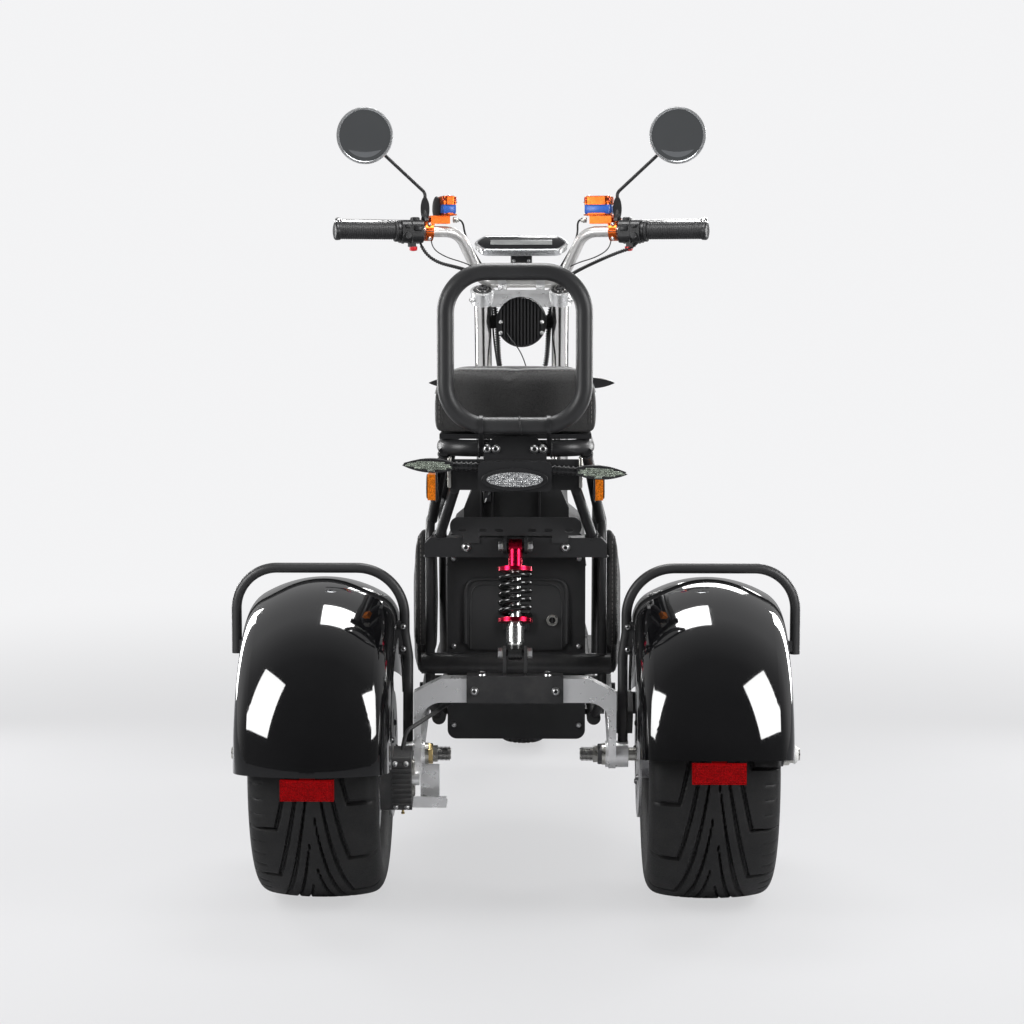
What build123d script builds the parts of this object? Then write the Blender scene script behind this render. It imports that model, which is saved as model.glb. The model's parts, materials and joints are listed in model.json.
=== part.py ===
from build123d import *
import math
import os

# Three-wheeled electric scooter: two rear wheels and one steered front wheel, in millimetres.
# X is to the rider's right, Y is forward and Z is up.  Everything is laid out from the point on
# the ground below the rear axle line; the last lines shift it so that the origin is the centre
# of the footprint.

# ---------------------------------------------------------------- overall layout
WHEELBASE = 1320.0
REAR_TYRE_RADIUS = 238.0
REAR_TYRE_WIDTH = 210.0
REAR_TREAD_WIDTH = 188.0
REAR_WHEEL_X = 320.0
FRONT_TYRE_RADIUS = 229.0
FRONT_TYRE_WIDTH = 110.0
FRONT_TREAD_WIDTH = 96.0

# ---------------------------------------------------------------- wheels
RIM_SEAT_RADIUS = 152.4          # 12 inch bead seat
RIM_FLANGE_HEIGHT = 12.6
RIM_WALL = 6.0
RIM_DROP = 18.0
FLANGE_THICKNESS = 5.0
TYRE_WALL = 12.0
REAR_RIM_WIDTH = 172.0
REAR_DRUM_RADIUS = 108.0
REAR_DRUM_WIDTH = 112.0
REAR_DRUM_EDGE = 10.0            # chamfer round the hub motor's faces
REAR_SPOKES = 10
REAR_NECK_RADIUS = 40.0
FRONT_RIM_WIDTH = 76.0
FRONT_DRUM_RADIUS = 34.0
FRONT_DRUM_WIDTH = 84.0
FRONT_DRUM_EDGE = 4.0
FRONT_SPOKES = 5
SPOKE_HALF_DEPTH = 18.0
SPOKE_THICKNESS = 18.0
RUNNING_CLEARANCE = 0.05         # radial, shaft in hole
DISC_THICKNESS = 4.0
DISC_BORE_CLEARANCE = 4.0
REAR_DISC_RADIUS = 105.0
REAR_DISC_X = 206.0
FRONT_DISC_RADIUS = 100.0
FRONT_DISC_X = 54.0
DISC_GAP = 5.5                   # caliper slot to disc, each side

# ---------------------------------------------------------------- rear axles and swing arm
AXLE_RADIUS = 11.0
AXLE_INNER_X = 108.0
AXLE_CAP_X = 476.0
END_BOLT_RADIUS = 9.5
END_BOLT_LENGTH = 22.0
NUT_RADIUS = 14.5
NUT_LENGTH = 15.0
WASHER_RADIUS = 18.0
CAP_RADIUS = 10.0
ARM_INNER_X = 156.0
ARM_OUTER_X = 168.0
ARM_END_RADIUS = 24.0
CARRIER_RADIUS = 22.0
CARRIER_INNER_X = 151.0
CARRIER_OUTER_X = 189.0
ARM_PIVOT_Y = 300.0
ARM_PIVOT_Z = 300.0
CROSSBAR_BOTTOM = 332.0
CROSSBAR_HEIGHT = 40.0
CROSSBAR_REAR_Y = -42.0
CROSSBAR_DEPTH = 36.0
CROSSBAR_FLAT_HALF = 122.0
ARM_SHOULDER_DROP = 24.0         # the arch falls this much from its flat to its outer corner
ARM_LEG_BOTTOM = 272.0
ARCH_RADIUS = 34.0               # under each corner of the arch
BRACKET_HALF_WIDTH = 80.0
BRACKET_SHEET = 5.0
BRACKET_FOLD = 30.0
BOLT_HEAD_RADIUS = 6.0
BOLT_HEAD_HEIGHT = 4.0
PIVOT_BOLT_RADIUS = 8.0
CALIPER_REACH = 90.0             # from the axle to the middle of a caliper
LEFT_CALIPER_ANGLE = 195.0       # degrees above the forward direction, seen from the right
RIGHT_CALIPER_ANGLE = 40.0
RIGHT_CALIPER = (56.0, 16.0)     # length, and thickness beyond the slot
LEFT_CALIPER = (96.0, 6.0)
CALIPER_HEIGHT = 54.0
CALIPER_FILLET = 8.0
FOOT_X = (-174.0, -115.0)        # bracket under the left carrier
FOOT_Z = (150.0, 168.0)
FOOT_STEM_X = (-160.0, -128.0)
FOOT_HALF_DEPTH = 20.0
FOOT_SHEET = 6.0

# ---------------------------------------------------------------- shock absorber
SHOCK_LOWER = (-22.0, 412.0)     # (y, z) of the lower eye
SHOCK_UPPER = (20.0, 586.0)
SHOCK_EYE_HALF = 11.0
SHOCK_EAR_X = 15.0
SHOCK_EAR_THICKNESS = 5.0
SHOCK_BOLT_RADIUS = 5.0
SHOCK_BOLT_HALF = 28.0
EYE_RADIUS = 12.0
COLLAR_RADIUS = 29.0
COLLAR_THICKNESS = 7.0
DAMPER_RADIUS = 12.0
DAMPER_ROD_RADIUS = 9.0
CLEVIS_RADIUS = 15.0
CLEVIS_SPAN = (18.0, 44.0)       # along the shock absorber, from its lower eye
SPRING_RADIUS = 24.0
SPRING_WIRE_RADIUS = 4.6
SPRING_TURNS = 5
SPRING_SPAN = (58.0, 136.0)      # along the shock absorber, from its lower eye

# ---------------------------------------------------------------- mudguards and their hoops
GUARD_RADIUS = 297.0
GUARD_HALF_WIDTH = 124.0
GUARD_CROWN_RADIUS = 195.0
GUARD_SHOULDER_RADIUS = 52.0
GUARD_WALL = 4.0
GUARD_SKIRT_RADIUS = 195.0
GUARD_FRONT_ANGLE = 22.0         # above the horizontal, ahead of the axle
GUARD_REAR_ANGLE = 3.8           # above the horizontal, behind the axle
RIGHT_GUARD_TURN = 5.5           # the right guard sits turned a little forward
REFLECTOR_SIZE = (84.0, 33.0, 10.0)
REFLECTOR_TAB = (24.0, 16.0, 5.0)
REFLECTOR_GAP = 3.0              # below the guard's edge
HOOP_TUBE_RADIUS = 8.5
HOOP_Y = 20.0
HOOP_TOP_Z = 549.0
HOOP_INNER_X = 186.0
HOOP_OUTER_X = 468.0
HOOP_OUTER_END_Z = 405.0
HOOP_INNER_BEND = 80.0
HOOP_OUTER_BEND = 68.0
HOOP_LEG_X = 180.0               # lower leg, outboard of the swing arm
HOOP_LEG_TOP_Z = 400.0
HOOP_KNEE_Z = 440.0
HOOP_LEG_BEND = 40.0
STAY_THICKNESS = 4.0
STAY_WIDTH = 24.0
LUG_HALF_DEPTH = 7.0
INNER_LUG_Z = (404.0, 460.0)
OUTER_LUG_Z = (410.0, 428.0)
LUG_BOLT_RADIUS = 4.5

# ---------------------------------------------------------------- frame
RAIL_X = 134.0
RAIL_Z = 275.0
RAIL_RADIUS = 12.0
RAIL_REAR_Y = 128.0
RAIL_FRONT_Y = 930.0
RAIL_BEND = 95.0
CROSS_ROD_RADIUS = 10.0
DECK_ROD_Y = (760.0, 900.0)
CASE_LUG_Y = (210.0, 470.0)
CASE_LUG_HALF = (20.0, 5.0)
UPRIGHT_RADIUS = 8.0
UPRIGHT_Y = 100.0
UPRIGHT_X = 147.0
UPRIGHT_FOOT_RISE = 34.0
UPPER_RAIL_Z = 620.0
UPPER_RAIL_FRONT_Y = 575.0
LOOP_FRONT_SLOPE = 60.0
POST_RADIUS = 9.0
REAR_POST_TOP_Y = 6.0
FRONT_POST_Y = (500.0, 425.0)
REAR_STRUT_HEAD = (96.0, -32.0, 698.0)
REAR_STRUT_FOOT = (133.0, 80.0, 586.0)
CROSS_TUBE_RADIUS = 18.0
CROSS_TUBE_Z = 375.0
CROSS_TUBE_HALF = 162.0
BEAM_BOTTOM = 563.0
BEAM_TOP = 596.0
BEAM_HALF = 154.0
BEAM_CHAMFER = 10.0
BEAM_REAR_Y = 58.0
BEAM_BOLTS_X = (22.0, 84.0)
SEAT_LOOP_RADIUS = 14.0
SEAT_LOOP_X = 118.0
SEAT_LOOP_Z = 752.0
SEAT_LOOP_REAR_Y = -10.0
SEAT_LOOP_FRONT_Y = 470.0
SEAT_LOOP_BEND = 55.0

# ---------------------------------------------------------------- steering geometry
RAKE = 25.0
FORK_OFFSET = 40.0               # fork legs ahead of the steering axis
LEG_X = 80.0
SLIDER_RADIUS = 21.5
SLIDER_TOP = 330.0
SLIDER_FOOT = 26.0               # below the axle, along the leg
FORK_TUBE_RADIUS = 17.5
FORK_TUBE_TOP = 862.0
FORK_CAP_RADIUS = 13.0
FORK_CAP_HEIGHT = 6.0
STEM_RADIUS = 14.0
HEAD_TUBE_RADIUS = 24.0
LOWER_CLAMP = (415.0, 446.0)     # heights along the steering axis, from the front axle
HEAD_TUBE = (447.0, 612.0)
UPPER_CLAMP = (613.0, 640.0)
CLAMP_RING_RADIUS = 30.0
TOP_CLAMP_THICKNESS = 26.0
TOP_RING_RADIUS = 24.0
TOP_ARCH_HALF = 62.0
TOP_ARCH_Z = (31.0, 66.0)        # above the axis of the lamp
TOP_ARCH_Y = (-14.0, -8.0, 16.0) # ribs, web and front, from the middle of the clamp
TOP_ARCH_RIB = 8.0
RISER_X = (30.0, 48.0)
RISER_HALF_DEPTH = 16.0
RISER_ROOF = 14.0                # above the middle of the bar
FRONT_AXLE_RADIUS = 8.0
FRONT_NUT_RADIUS = 13.0
FRONT_NUT_LENGTH = 10.0
FRONT_GUARD_RADIUS = 256.0
FRONT_GUARD_HALF_WIDTH = 57.4
FRONT_GUARD_CROWN_RADIUS = 80.0
FRONT_GUARD_SHOULDER_RADIUS = 22.0
FRONT_GUARD_SKIRT_RADIUS = 212.0
FRONT_GUARD_WALL = 2.4
FRONT_GUARD_FRONT_ANGLE = 52.0
FRONT_GUARD_REAR_ANGLE = 18.0
FRONT_CALIPER = (48.0, 56.0, 26.0, 9.0)  # length, height, outer and inner cheek
FRONT_CALIPER_SHARE = 0.88       # of the disc's radius
FRONT_CALIPER_RISE = 20.0        # above the axle
FRONT_CALIPER_ARM = (12.0, 8.0)  # half width and thickness
FRONT_STAY_RADIUS = 8.0
FRONT_STAY_THICKNESS = 3.0
FRONT_STAY_FOOT = (14.0, 30.0)    # from the front axle: ahead and up
FRONT_STAY_HEADS = ((-125.0, 190.0), (90.0, 205.0))

# ---------------------------------------------------------------- body pieces
CASE_HALF_WIDTH = 119.0
CASE_REAR_Y = 130.0
CASE_FRONT_Y = 565.0
CASE_BOTTOM = 238.0
CASE_TOP = 690.0
CASE_SHOULDER_Z = (588.0, 612.0, 640.0)
CASE_NECK_HALF = 90.0
CASE_TOP_HALF = 68.0
CASE_LOWER_FILLET = 16.0
CASE_UPPER_FILLET = 8.0
PANEL_SIZE = (174.0, 124.0)
PANEL_MIDDLE_Z = 456.0
PANEL_RISE = 3.0
PANEL_CORNER = 16.0
HANDLE_RADIUS = 6.0
HANDLE_Y = (300.0, 400.0)
HANDLE_HEIGHT = 26.0
DECK_HALF_WIDTH = 166.0
DECK_FRONT_Y = 960.0
DECK_THICKNESS = 10.0
DECK_CORNER = 30.0
DECK_GAP = 14.0
DECK_SEAT = 1.0                  # the rails let into the underside of the deck
COVER_THICKNESS = 22.0
COVER_TOP = 612.0                # at the rear
COVER_FRONT_TOP = 545.0
COVER_BOTTOM = 335.0
COVER_TOP_ROLL = 70.0            # height over which the top edge rolls in
COVER_END_ROLL = 55.0

# ---------------------------------------------------------------- rear of the seat
GRAB_BAR_Y = -54.0
GRAB_BAR_RADIUS = 14.0
GRAB_BAR_BOTTOM = 778.0
GRAB_BAR_TOP = 1056.0
GRAB_BAR_HALF = 127.0
GRAB_BAR_LOWER_BEND = 66.0
GRAB_BAR_UPPER_BEND = 68.0
BRACKET_PLATE_Z = (684.0, 735.0, 772.0)
BRACKET_PLATE_HALF = (105.0, 52.0, 34.0)
BRACKET_PLATE_THICKNESS = 3.0
BRACKET_PLATE_BOLTS_X = (32.0, 46.0)
GRAB_LUG_X = (52.0, 58.0)
LAMP_HALF_WIDTH = 60.0
LAMP_Z = (685.0, 734.0)
LAMP_DEPTH = 40.0
LAMP_FILLET = 10.0
LENS_Z = 705.0
LENS_SIZE = (46.0, 12.0)         # half width and half height of the oval
LENS_RIM = 6.0
LENS_RISE = 8.0
SIGNAL_Z = 722.0
SIGNAL_Y = -46.0
SIGNAL_STALK = 42.0
SIGNAL_LENGTH = 82.0
SIGNAL_HEIGHT = 22.0
SIGNAL_DEPTH = 30.0
SIGNAL_DROOP = 1.0
SIGNAL_TILT = 2.3
SIGNAL_NECK_SHARE = 0.27         # neck radius over the leaf's height
SIGNAL_RIB = (1.35, 0.5, 1.3)    # rib radius, rib length and pitch over the neck's radius
SIDE_REFLECTOR_X = (131.0, 146.0)
SIDE_REFLECTOR_Y = (6.0, 54.0)
SIDE_REFLECTOR_Z = (664.0, 707.0)
HOLDER_Z = (600.0, 631.0)
HOLDER_HALF = 111.0
HOLDER_THICKNESS = 3.0
HOLDER_CORNER = 14.0
HOLDER_TAB_X = 75.0
HOLDER_TAB_WIDTH = 28.0
HOLDER_TAB_DROP = 9.0
SLOT_X = (28.0, 55.0, 90.0)
SLOT_Z = 609.0
SLOT_SIZE = (14.0, 6.0)

# ---------------------------------------------------------------- seat
SEAT_GAP = 0.5
SEAT_PAN_THICKNESS = 8.0
SEAT_PAN_HALF_WIDTH = 126.0
SEAT_HALF_WIDTH = 137.0
SEAT_SHOULDER = 56.0
SEAT_LOWER_EDGE = 14.0
SEAT_REAR_Y = -8.0
SEAT_FRONT_Y = 515.0
SEAT_BACK_TOP = 890.0
SEAT_DIP_TOP = 822.0
SEAT_NOSE_TOP = 842.0
SEAT_HINGE_Y = 505.0
SEAT_HINGE_Z = 750.0
SEAT_HINGE_PIN_RADIUS = 4.0
SEAT_HINGE_LUG_X = (40.0, 46.0)
KNUCKLE_RADIUS = 9.0
KNUCKLE_GAP = 2.0

# ---------------------------------------------------------------- handlebar and its parts
BAR_RADIUS = 11.1
BAR_AHEAD = 60.0                 # middle of the bar ahead of the steering axis
BAR_LIFT = 10.0                  # middle of the bar above the top clamp
BAR_FLAT_HALF = 80.0
BAR_RISE_X = 128.0
BAR_RISE_BACK = 56.0
BAR_RISE_UP = 102.3
BAR_END_X = 368.0
BAR_END_BACK = 129.6
BAR_BENDS = (34.0, 46.0)
GRIP_RADIUS = 16.0
GRIP_LENGTH = 118.0
GRIP_FLANGE = (2.0, 6.0)         # rise and length of the end flange
SWITCH_X = 202.0
SWITCH_SIZE = (50.0, 46.0, 44.0)
SWITCH_CORNER = 14.0
SWITCH_COLLAR = (21.0, 6.0)
BUTTON_SIZE = (14.0, 8.0, 14.0)
MASTER_X = 181.0
MASTER_CLAMP = (19.0, 16.0)      # radius and width of the clamp
MASTER_LIFT = 16.0               # underside of the master above the middle of the bar
MASTER_BODY_HEIGHT = 16.0
TANK_HEIGHT = 22.0
TANK_CAP_HEIGHT = 16.0
TANK_CAP_OVERHANG = 2.0
RIGHT_TANK = (52.0, 32.0, -2.0)  # along the bar, across the bar, inboard of the clamp
LEFT_TANK = (26.0, 50.0, 18.0)
MASTER_BODY_DEPTH = (-9.0, 15.0)
MASTER_NECK_BEYOND = 8.0         # the neck's end beyond the lever's pivot
MASTER_NECK_HEIGHT = (-4.0, 12.0)
MASTER_NECK_ALONG = (-6.0, 12.0)
TANK_SETBACK = 2.0
LEVER_LIFT = 20.0
LEVER_AHEAD = (34.0, 58.0, 30.0) # ahead of the bar at the pivot, the knee and the tip
LEVER_KNEE_X = 226.0
LEVER_RADIUS = 5.0
LEVER_BEND = 24.0
LEVER_BALL = 8.0
MIRROR_RADIUS = 55.0
MIRROR_X = 314.0
MIRROR_Y = 872.0
MIRROR_Z = 1321.0
MIRROR_DEPTH = 14.0
MIRROR_RIM = 4.0
MIRROR_GLASS = 1.5
STEM_WIRE_RADIUS = 3.4
STEM_BEND = 14.0
STEM_OUTBOARD = 14.0             # stem foot outboard of the master's clamp
STEM_FOOT_LIFT = 20.0
STEM_KNEE_LIFT = 78.0
BLADE_SIZE = (18.0, 50.0, 7.0)
HEADLIGHT_RADIUS = 50.0
HEADLIGHT_DROP = 52.0            # axis of the lamp below the middle of the top clamp
HEADLIGHT_SETBACK = 9.0          # rear of the lamp behind the middle of the top clamp
HEADLIGHT_LENGTH = 126.0
HEADLIGHT_FIN_DEPTH = 16.0
HEADLIGHT_FIN = (1.8, 7.0)       # half thickness and pitch
HEADLIGHT_BEZEL = (2.0, 6.0, 8.0)
LAMP_GAP = 2.0
LAMP_TAB_SIZE = (8.0, 28.0)
LAMP_TAB_Y = 48.0                # ahead of the rear of the lamp
DISPLAY_BACK = 35.6              # behind the middle of the bar
DISPLAY_UP = 75.0
DISPLAY_TILT = 32.0
DISPLAY_SADDLE = 5.5             # the post's saddle above the top of the bar
DISPLAY_HALF = (98.0, 78.0, 36.0)
DISPLAY_DEPTH = 18.0
DISPLAY_CORNER = 12.0
DISPLAY_POST = (22.0, 12.0, 12.0)  # half width, thickness, and how far ahead of the panel's middle
FRONT_SIGNAL_STALK = 16.0
FRONT_SIGNAL_HEIGHT = 650.0      # along the steering axis
CABLE_RADIUS = 4.0
HOSE_RADIUS = 3.5

REAR_AXLE = Vector(0, 0, REAR_TYRE_RADIUS)
REAR_CENTRE = (REAR_AXLE.Y, REAR_AXLE.Z)
FRONT_AXLE = Vector(0, WHEELBASE, FRONT_TYRE_RADIUS)
FRONT_CENTRE = (FRONT_AXLE.Y, FRONT_AXLE.Z)
RAKE_SIN = math.sin(math.radians(RAKE))
RAKE_COS = math.cos(math.radians(RAKE))
STEERING_FOOT = FRONT_AXLE - Vector(0, RAKE_COS, RAKE_SIN) * FORK_OFFSET
STEERING = Plane(origin=STEERING_FOOT, x_dir=(1, 0, 0), z_dir=(0, -RAKE_SIN, RAKE_COS))
TOP_CLAMP = STEERING.from_local_coords(
    Vector(0, FORK_OFFSET, FORK_TUBE_TOP - TOP_CLAMP_THICKNESS / 2)
)
BAR_CENTRE = STEERING.from_local_coords(Vector(0, BAR_AHEAD, FORK_TUBE_TOP + BAR_LIFT))
LAMP_REAR = TOP_CLAMP - Vector(0, HEADLIGHT_SETBACK, HEADLIGHT_DROP)
GUARD_INNER_X = REAR_WHEEL_X - GUARD_HALF_WIDTH
GUARD_OUTER_X = REAR_WHEEL_X + GUARD_HALF_WIDTH
SEAT_PAN_Z = SEAT_LOOP_Z + SEAT_LOOP_RADIUS + SEAT_GAP
SEAT_BASE_Z = SEAT_PAN_Z + SEAT_PAN_THICKNESS
BRACKET_FACE_Y = SEAT_LOOP_REAR_Y - SEAT_LOOP_RADIUS
DISPLAY_CENTRE = BAR_CENTRE + Vector(0, -DISPLAY_BACK, DISPLAY_UP)


# ================================================================ shape helpers
def rod(start, end, radius):
    """Round bar between two points."""
    start, end = Vector(*start), Vector(*end)
    return extrude(Plane(origin=start, z_dir=end - start) * Circle(radius), (end - start).length)


def bent_tube(points, radius, bends):
    """Round bar along straight runs joined by tangent arcs; one bend radius for each corner."""
    path = FilletPolyline(*points, radius=bends)
    return sweep(Plane(origin=path @ 0, z_dir=path % 0) * Circle(radius), path=path)


def block(x_range, y_range, z_range):
    """Box between two limits on each axis."""
    low = Vector(x_range[0], y_range[0], z_range[0])
    high = Vector(x_range[1], y_range[1], z_range[1])
    size = high - low
    return Pos(*((low + high) * 0.5)) * Box(size.X, size.Y, size.Z)


def x_cylinder(radius, x_range, centre=(0, 0)):
    """Cylinder along X between two X values; centre is (y, z)."""
    return rod((x_range[0], *centre), (x_range[1], *centre), radius)


def side_plate(outline, x_range):
    """Plate with a sketch drawn as (y, z), spread along X."""
    plane = Plane(origin=(x_range[0], 0, 0), x_dir=(0, 1, 0), z_dir=(1, 0, 0))
    return extrude(plane * outline, x_range[1] - x_range[0])


def rear_plate(outline, y_range):
    """Plate with a sketch drawn as (x, z), spread along Y."""
    plane = Plane(origin=(0, y_range[1], 0), x_dir=(1, 0, 0), z_dir=(0, -1, 0))
    return extrude(plane * outline, y_range[1] - y_range[0])


def link(start, start_radius, end, end_radius):
    """Sketch of a round-ended bar, tapering between two circles."""
    circles = Pos(*start) * Circle(start_radius) + Pos(*end) * Circle(end_radius)
    return make_hull(circles.edges())


def bolt_head(x, z, rear_y):
    """Round bolt head standing out backwards from a face at rear_y."""
    start = (x, rear_y + 1, z)
    return rod(start, (x, rear_y - BOLT_HEAD_HEIGHT, z), BOLT_HEAD_RADIUS)


def mirrored(part):
    """The same piece on the other side of the median plane."""
    return mirror(part, about=Plane.YZ)


def both_sides(part):
    """A piece and its mirror image, as one node of separate solids."""
    return Part() + [part, mirrored(part)]


# ================================================================ wheels
def tyre(radius, width, tread_width, rim_width):
    """Hollow carcass, open towards the rim, turned about X."""
    bead = rim_width / 2 - FLANGE_THICKNESS
    flange = RIM_SEAT_RADIUS + RIM_FLANGE_HEIGHT
    belly = RIM_SEAT_RADIUS + 0.5 * (radius - RIM_SEAT_RADIUS)
    drop = 0.045 * width
    shoulder = (tread_width / 2, radius - drop)
    inner_shoulder = (shoulder[0] - TYRE_WALL, shoulder[1] - TYRE_WALL)
    outer_half = [
        Line((bead, RIM_SEAT_RADIUS), (bead, flange)),
        ThreePointArc((bead, flange), (width / 2, belly), shoulder),
    ]
    crown = ThreePointArc(shoulder, (0, radius), (-shoulder[0], shoulder[1]))
    inner_half = [
        Line((bead, RIM_SEAT_RADIUS), (bead - TYRE_WALL, RIM_SEAT_RADIUS)),
        Line((bead - TYRE_WALL, RIM_SEAT_RADIUS), (bead - TYRE_WALL, flange)),
        ThreePointArc((bead - TYRE_WALL, flange), (width / 2 - TYRE_WALL, belly), inner_shoulder),
    ]
    inner_crown = ThreePointArc(
        inner_shoulder, (0, radius - TYRE_WALL), (-inner_shoulder[0], inner_shoulder[1])
    )
    half = outer_half + inner_half
    edges = half + [crown, inner_crown] + [mirror(edge, about=Plane.YZ).edge() for edge in half]
    return revolve(make_face(edges), Axis.X, 360)


def drum(radius, width, edge):
    """Hub drum with a chamfer round each face."""
    half = width / 2
    right = [(half - edge, radius), (half, radius - edge)]
    left = [(-x, r) for x, r in reversed(right)]
    outline = Polyline((half, 0), *reversed(right), *reversed(left), (-half, 0), close=True)
    return revolve(make_face(outline), Axis.X, 360)


def rim(rim_width, hub, spokes, bore_radius):
    """Barrel with flanges, a central drum (radius, width, edge), and spokes between them."""
    half = rim_width / 2
    flange = RIM_SEAT_RADIUS + RIM_FLANGE_HEIGHT
    well = RIM_SEAT_RADIUS - RIM_DROP
    seat_end = half - 0.17 * rim_width
    well_end = half - 0.24 * rim_width
    right = [
        (well_end, well),
        (seat_end, RIM_SEAT_RADIUS),
        (half - FLANGE_THICKNESS, RIM_SEAT_RADIUS),
        (half - FLANGE_THICKNESS, flange),
        (half, flange),
        (half, RIM_SEAT_RADIUS - RIM_WALL),
        (seat_end, RIM_SEAT_RADIUS - RIM_WALL),
        (well_end, well - RIM_WALL),
    ]
    left = [(-x, r) for x, r in reversed(right)]
    wheel = revolve(make_face(Polyline(*right, *left, close=True)), Axis.X, 360) + drum(*hub)
    spoke = block(
        (-SPOKE_HALF_DEPTH, SPOKE_HALF_DEPTH),
        (-SPOKE_THICKNESS / 2, SPOKE_THICKNESS / 2),
        (hub[0] / 2, well - RIM_WALL / 2),
    )
    wheel += [Rot(X=360 / spokes * i) * spoke for i in range(spokes)]
    return wheel - x_cylinder(bore_radius, (-rim_width, rim_width))


def brake_disc(radius, inner_radius, bore_radius):
    """Flat ring with round windows, centred on X = 0."""
    half = DISC_THICKNESS / 2
    disc = x_cylinder(radius, (-half, half)) - x_cylinder(bore_radius, (-half, half))
    window_radius = 0.16 * radius
    pitch_radius = (radius + inner_radius) / 2 - 0.12 * radius
    windows = [
        Rot(X=60 * i) * x_cylinder(window_radius, (-half, half), (0, pitch_radius)) for i in range(6)
    ]
    return disc - windows


def rear_wheel():
    """Right rear wheel's tyre, rim and disc, in place."""
    bore = AXLE_RADIUS + RUNNING_CLEARANCE
    disc_face = REAR_WHEEL_X - REAR_DISC_X - DISC_THICKNESS / 2
    hub_drum = (REAR_DRUM_RADIUS, REAR_DRUM_WIDTH, REAR_DRUM_EDGE)
    neck_range = (-disc_face, -REAR_DRUM_WIDTH / 2)
    rear_rim = rim(REAR_RIM_WIDTH, hub_drum, REAR_SPOKES, bore)
    rear_rim += x_cylinder(REAR_NECK_RADIUS, neck_range) - x_cylinder(bore, neck_range)
    hub = Pos(REAR_WHEEL_X, *REAR_CENTRE)
    disc = brake_disc(REAR_DISC_RADIUS, REAR_NECK_RADIUS, bore + DISC_BORE_CLEARANCE)
    return {
        "tyre": hub * tyre(REAR_TYRE_RADIUS, REAR_TYRE_WIDTH, REAR_TREAD_WIDTH, REAR_RIM_WIDTH),
        "rim": hub * rear_rim,
        "disc": Pos(REAR_DISC_X, *REAR_CENTRE) * disc,
    }


def front_wheel():
    """Front tyre, rim and disc, in place."""
    hub = Pos(0, *FRONT_CENTRE)
    bore = FRONT_AXLE_RADIUS + RUNNING_CLEARANCE
    disc_face = FRONT_DISC_X - DISC_THICKNESS / 2
    hub_drum = (FRONT_DRUM_RADIUS, FRONT_DRUM_WIDTH, FRONT_DRUM_EDGE)
    neck_radius = FRONT_DRUM_RADIUS - FRONT_DRUM_EDGE
    front_rim = rim(FRONT_RIM_WIDTH, hub_drum, FRONT_SPOKES, bore)
    neck = x_cylinder(neck_radius, (-disc_face, 0)) - x_cylinder(bore, (-disc_face, 0))
    disc = brake_disc(FRONT_DISC_RADIUS, FRONT_DRUM_RADIUS, bore + DISC_BORE_CLEARANCE)
    return {
        "tyre": hub * tyre(FRONT_TYRE_RADIUS, FRONT_TYRE_WIDTH, FRONT_TREAD_WIDTH, FRONT_RIM_WIDTH),
        "rim": hub * (front_rim + neck),
        "disc": Pos(-FRONT_DISC_X, *FRONT_CENTRE) * disc,
    }


# ================================================================ rear end
def arm_arch():
    """Right half of the polished arch: a flat bar that slopes down at its corner into a leg."""
    top = CROSSBAR_BOTTOM + CROSSBAR_HEIGHT
    corner = (ARM_OUTER_X, top - ARM_SHOULDER_DROP)
    outline = Polyline(
        (0, top), (CROSSBAR_FLAT_HALF, top), corner, (ARM_OUTER_X, ARM_LEG_BOTTOM),
        (ARM_INNER_X, ARM_LEG_BOTTOM), (ARM_INNER_X, CROSSBAR_BOTTOM), (0, CROSSBAR_BOTTOM), close=True,
    )
    arch = rear_plate(make_face(outline), (CROSSBAR_REAR_Y, CROSSBAR_REAR_Y + CROSSBAR_DEPTH))
    web_low, web_in = CROSSBAR_BOTTOM - ARCH_RADIUS, ARM_INNER_X - ARCH_RADIUS
    web_middle = Pos((ARM_INNER_X + web_in) / 2, (CROSSBAR_BOTTOM + web_low) / 2)
    web = web_middle * Rectangle(ARCH_RADIUS, ARCH_RADIUS)
    web -= Pos(web_in, web_low) * Circle(ARCH_RADIUS)
    return arch + rear_plate(web, (CROSSBAR_REAR_Y, CROSSBAR_REAR_Y + CROSSBAR_DEPTH))


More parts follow.
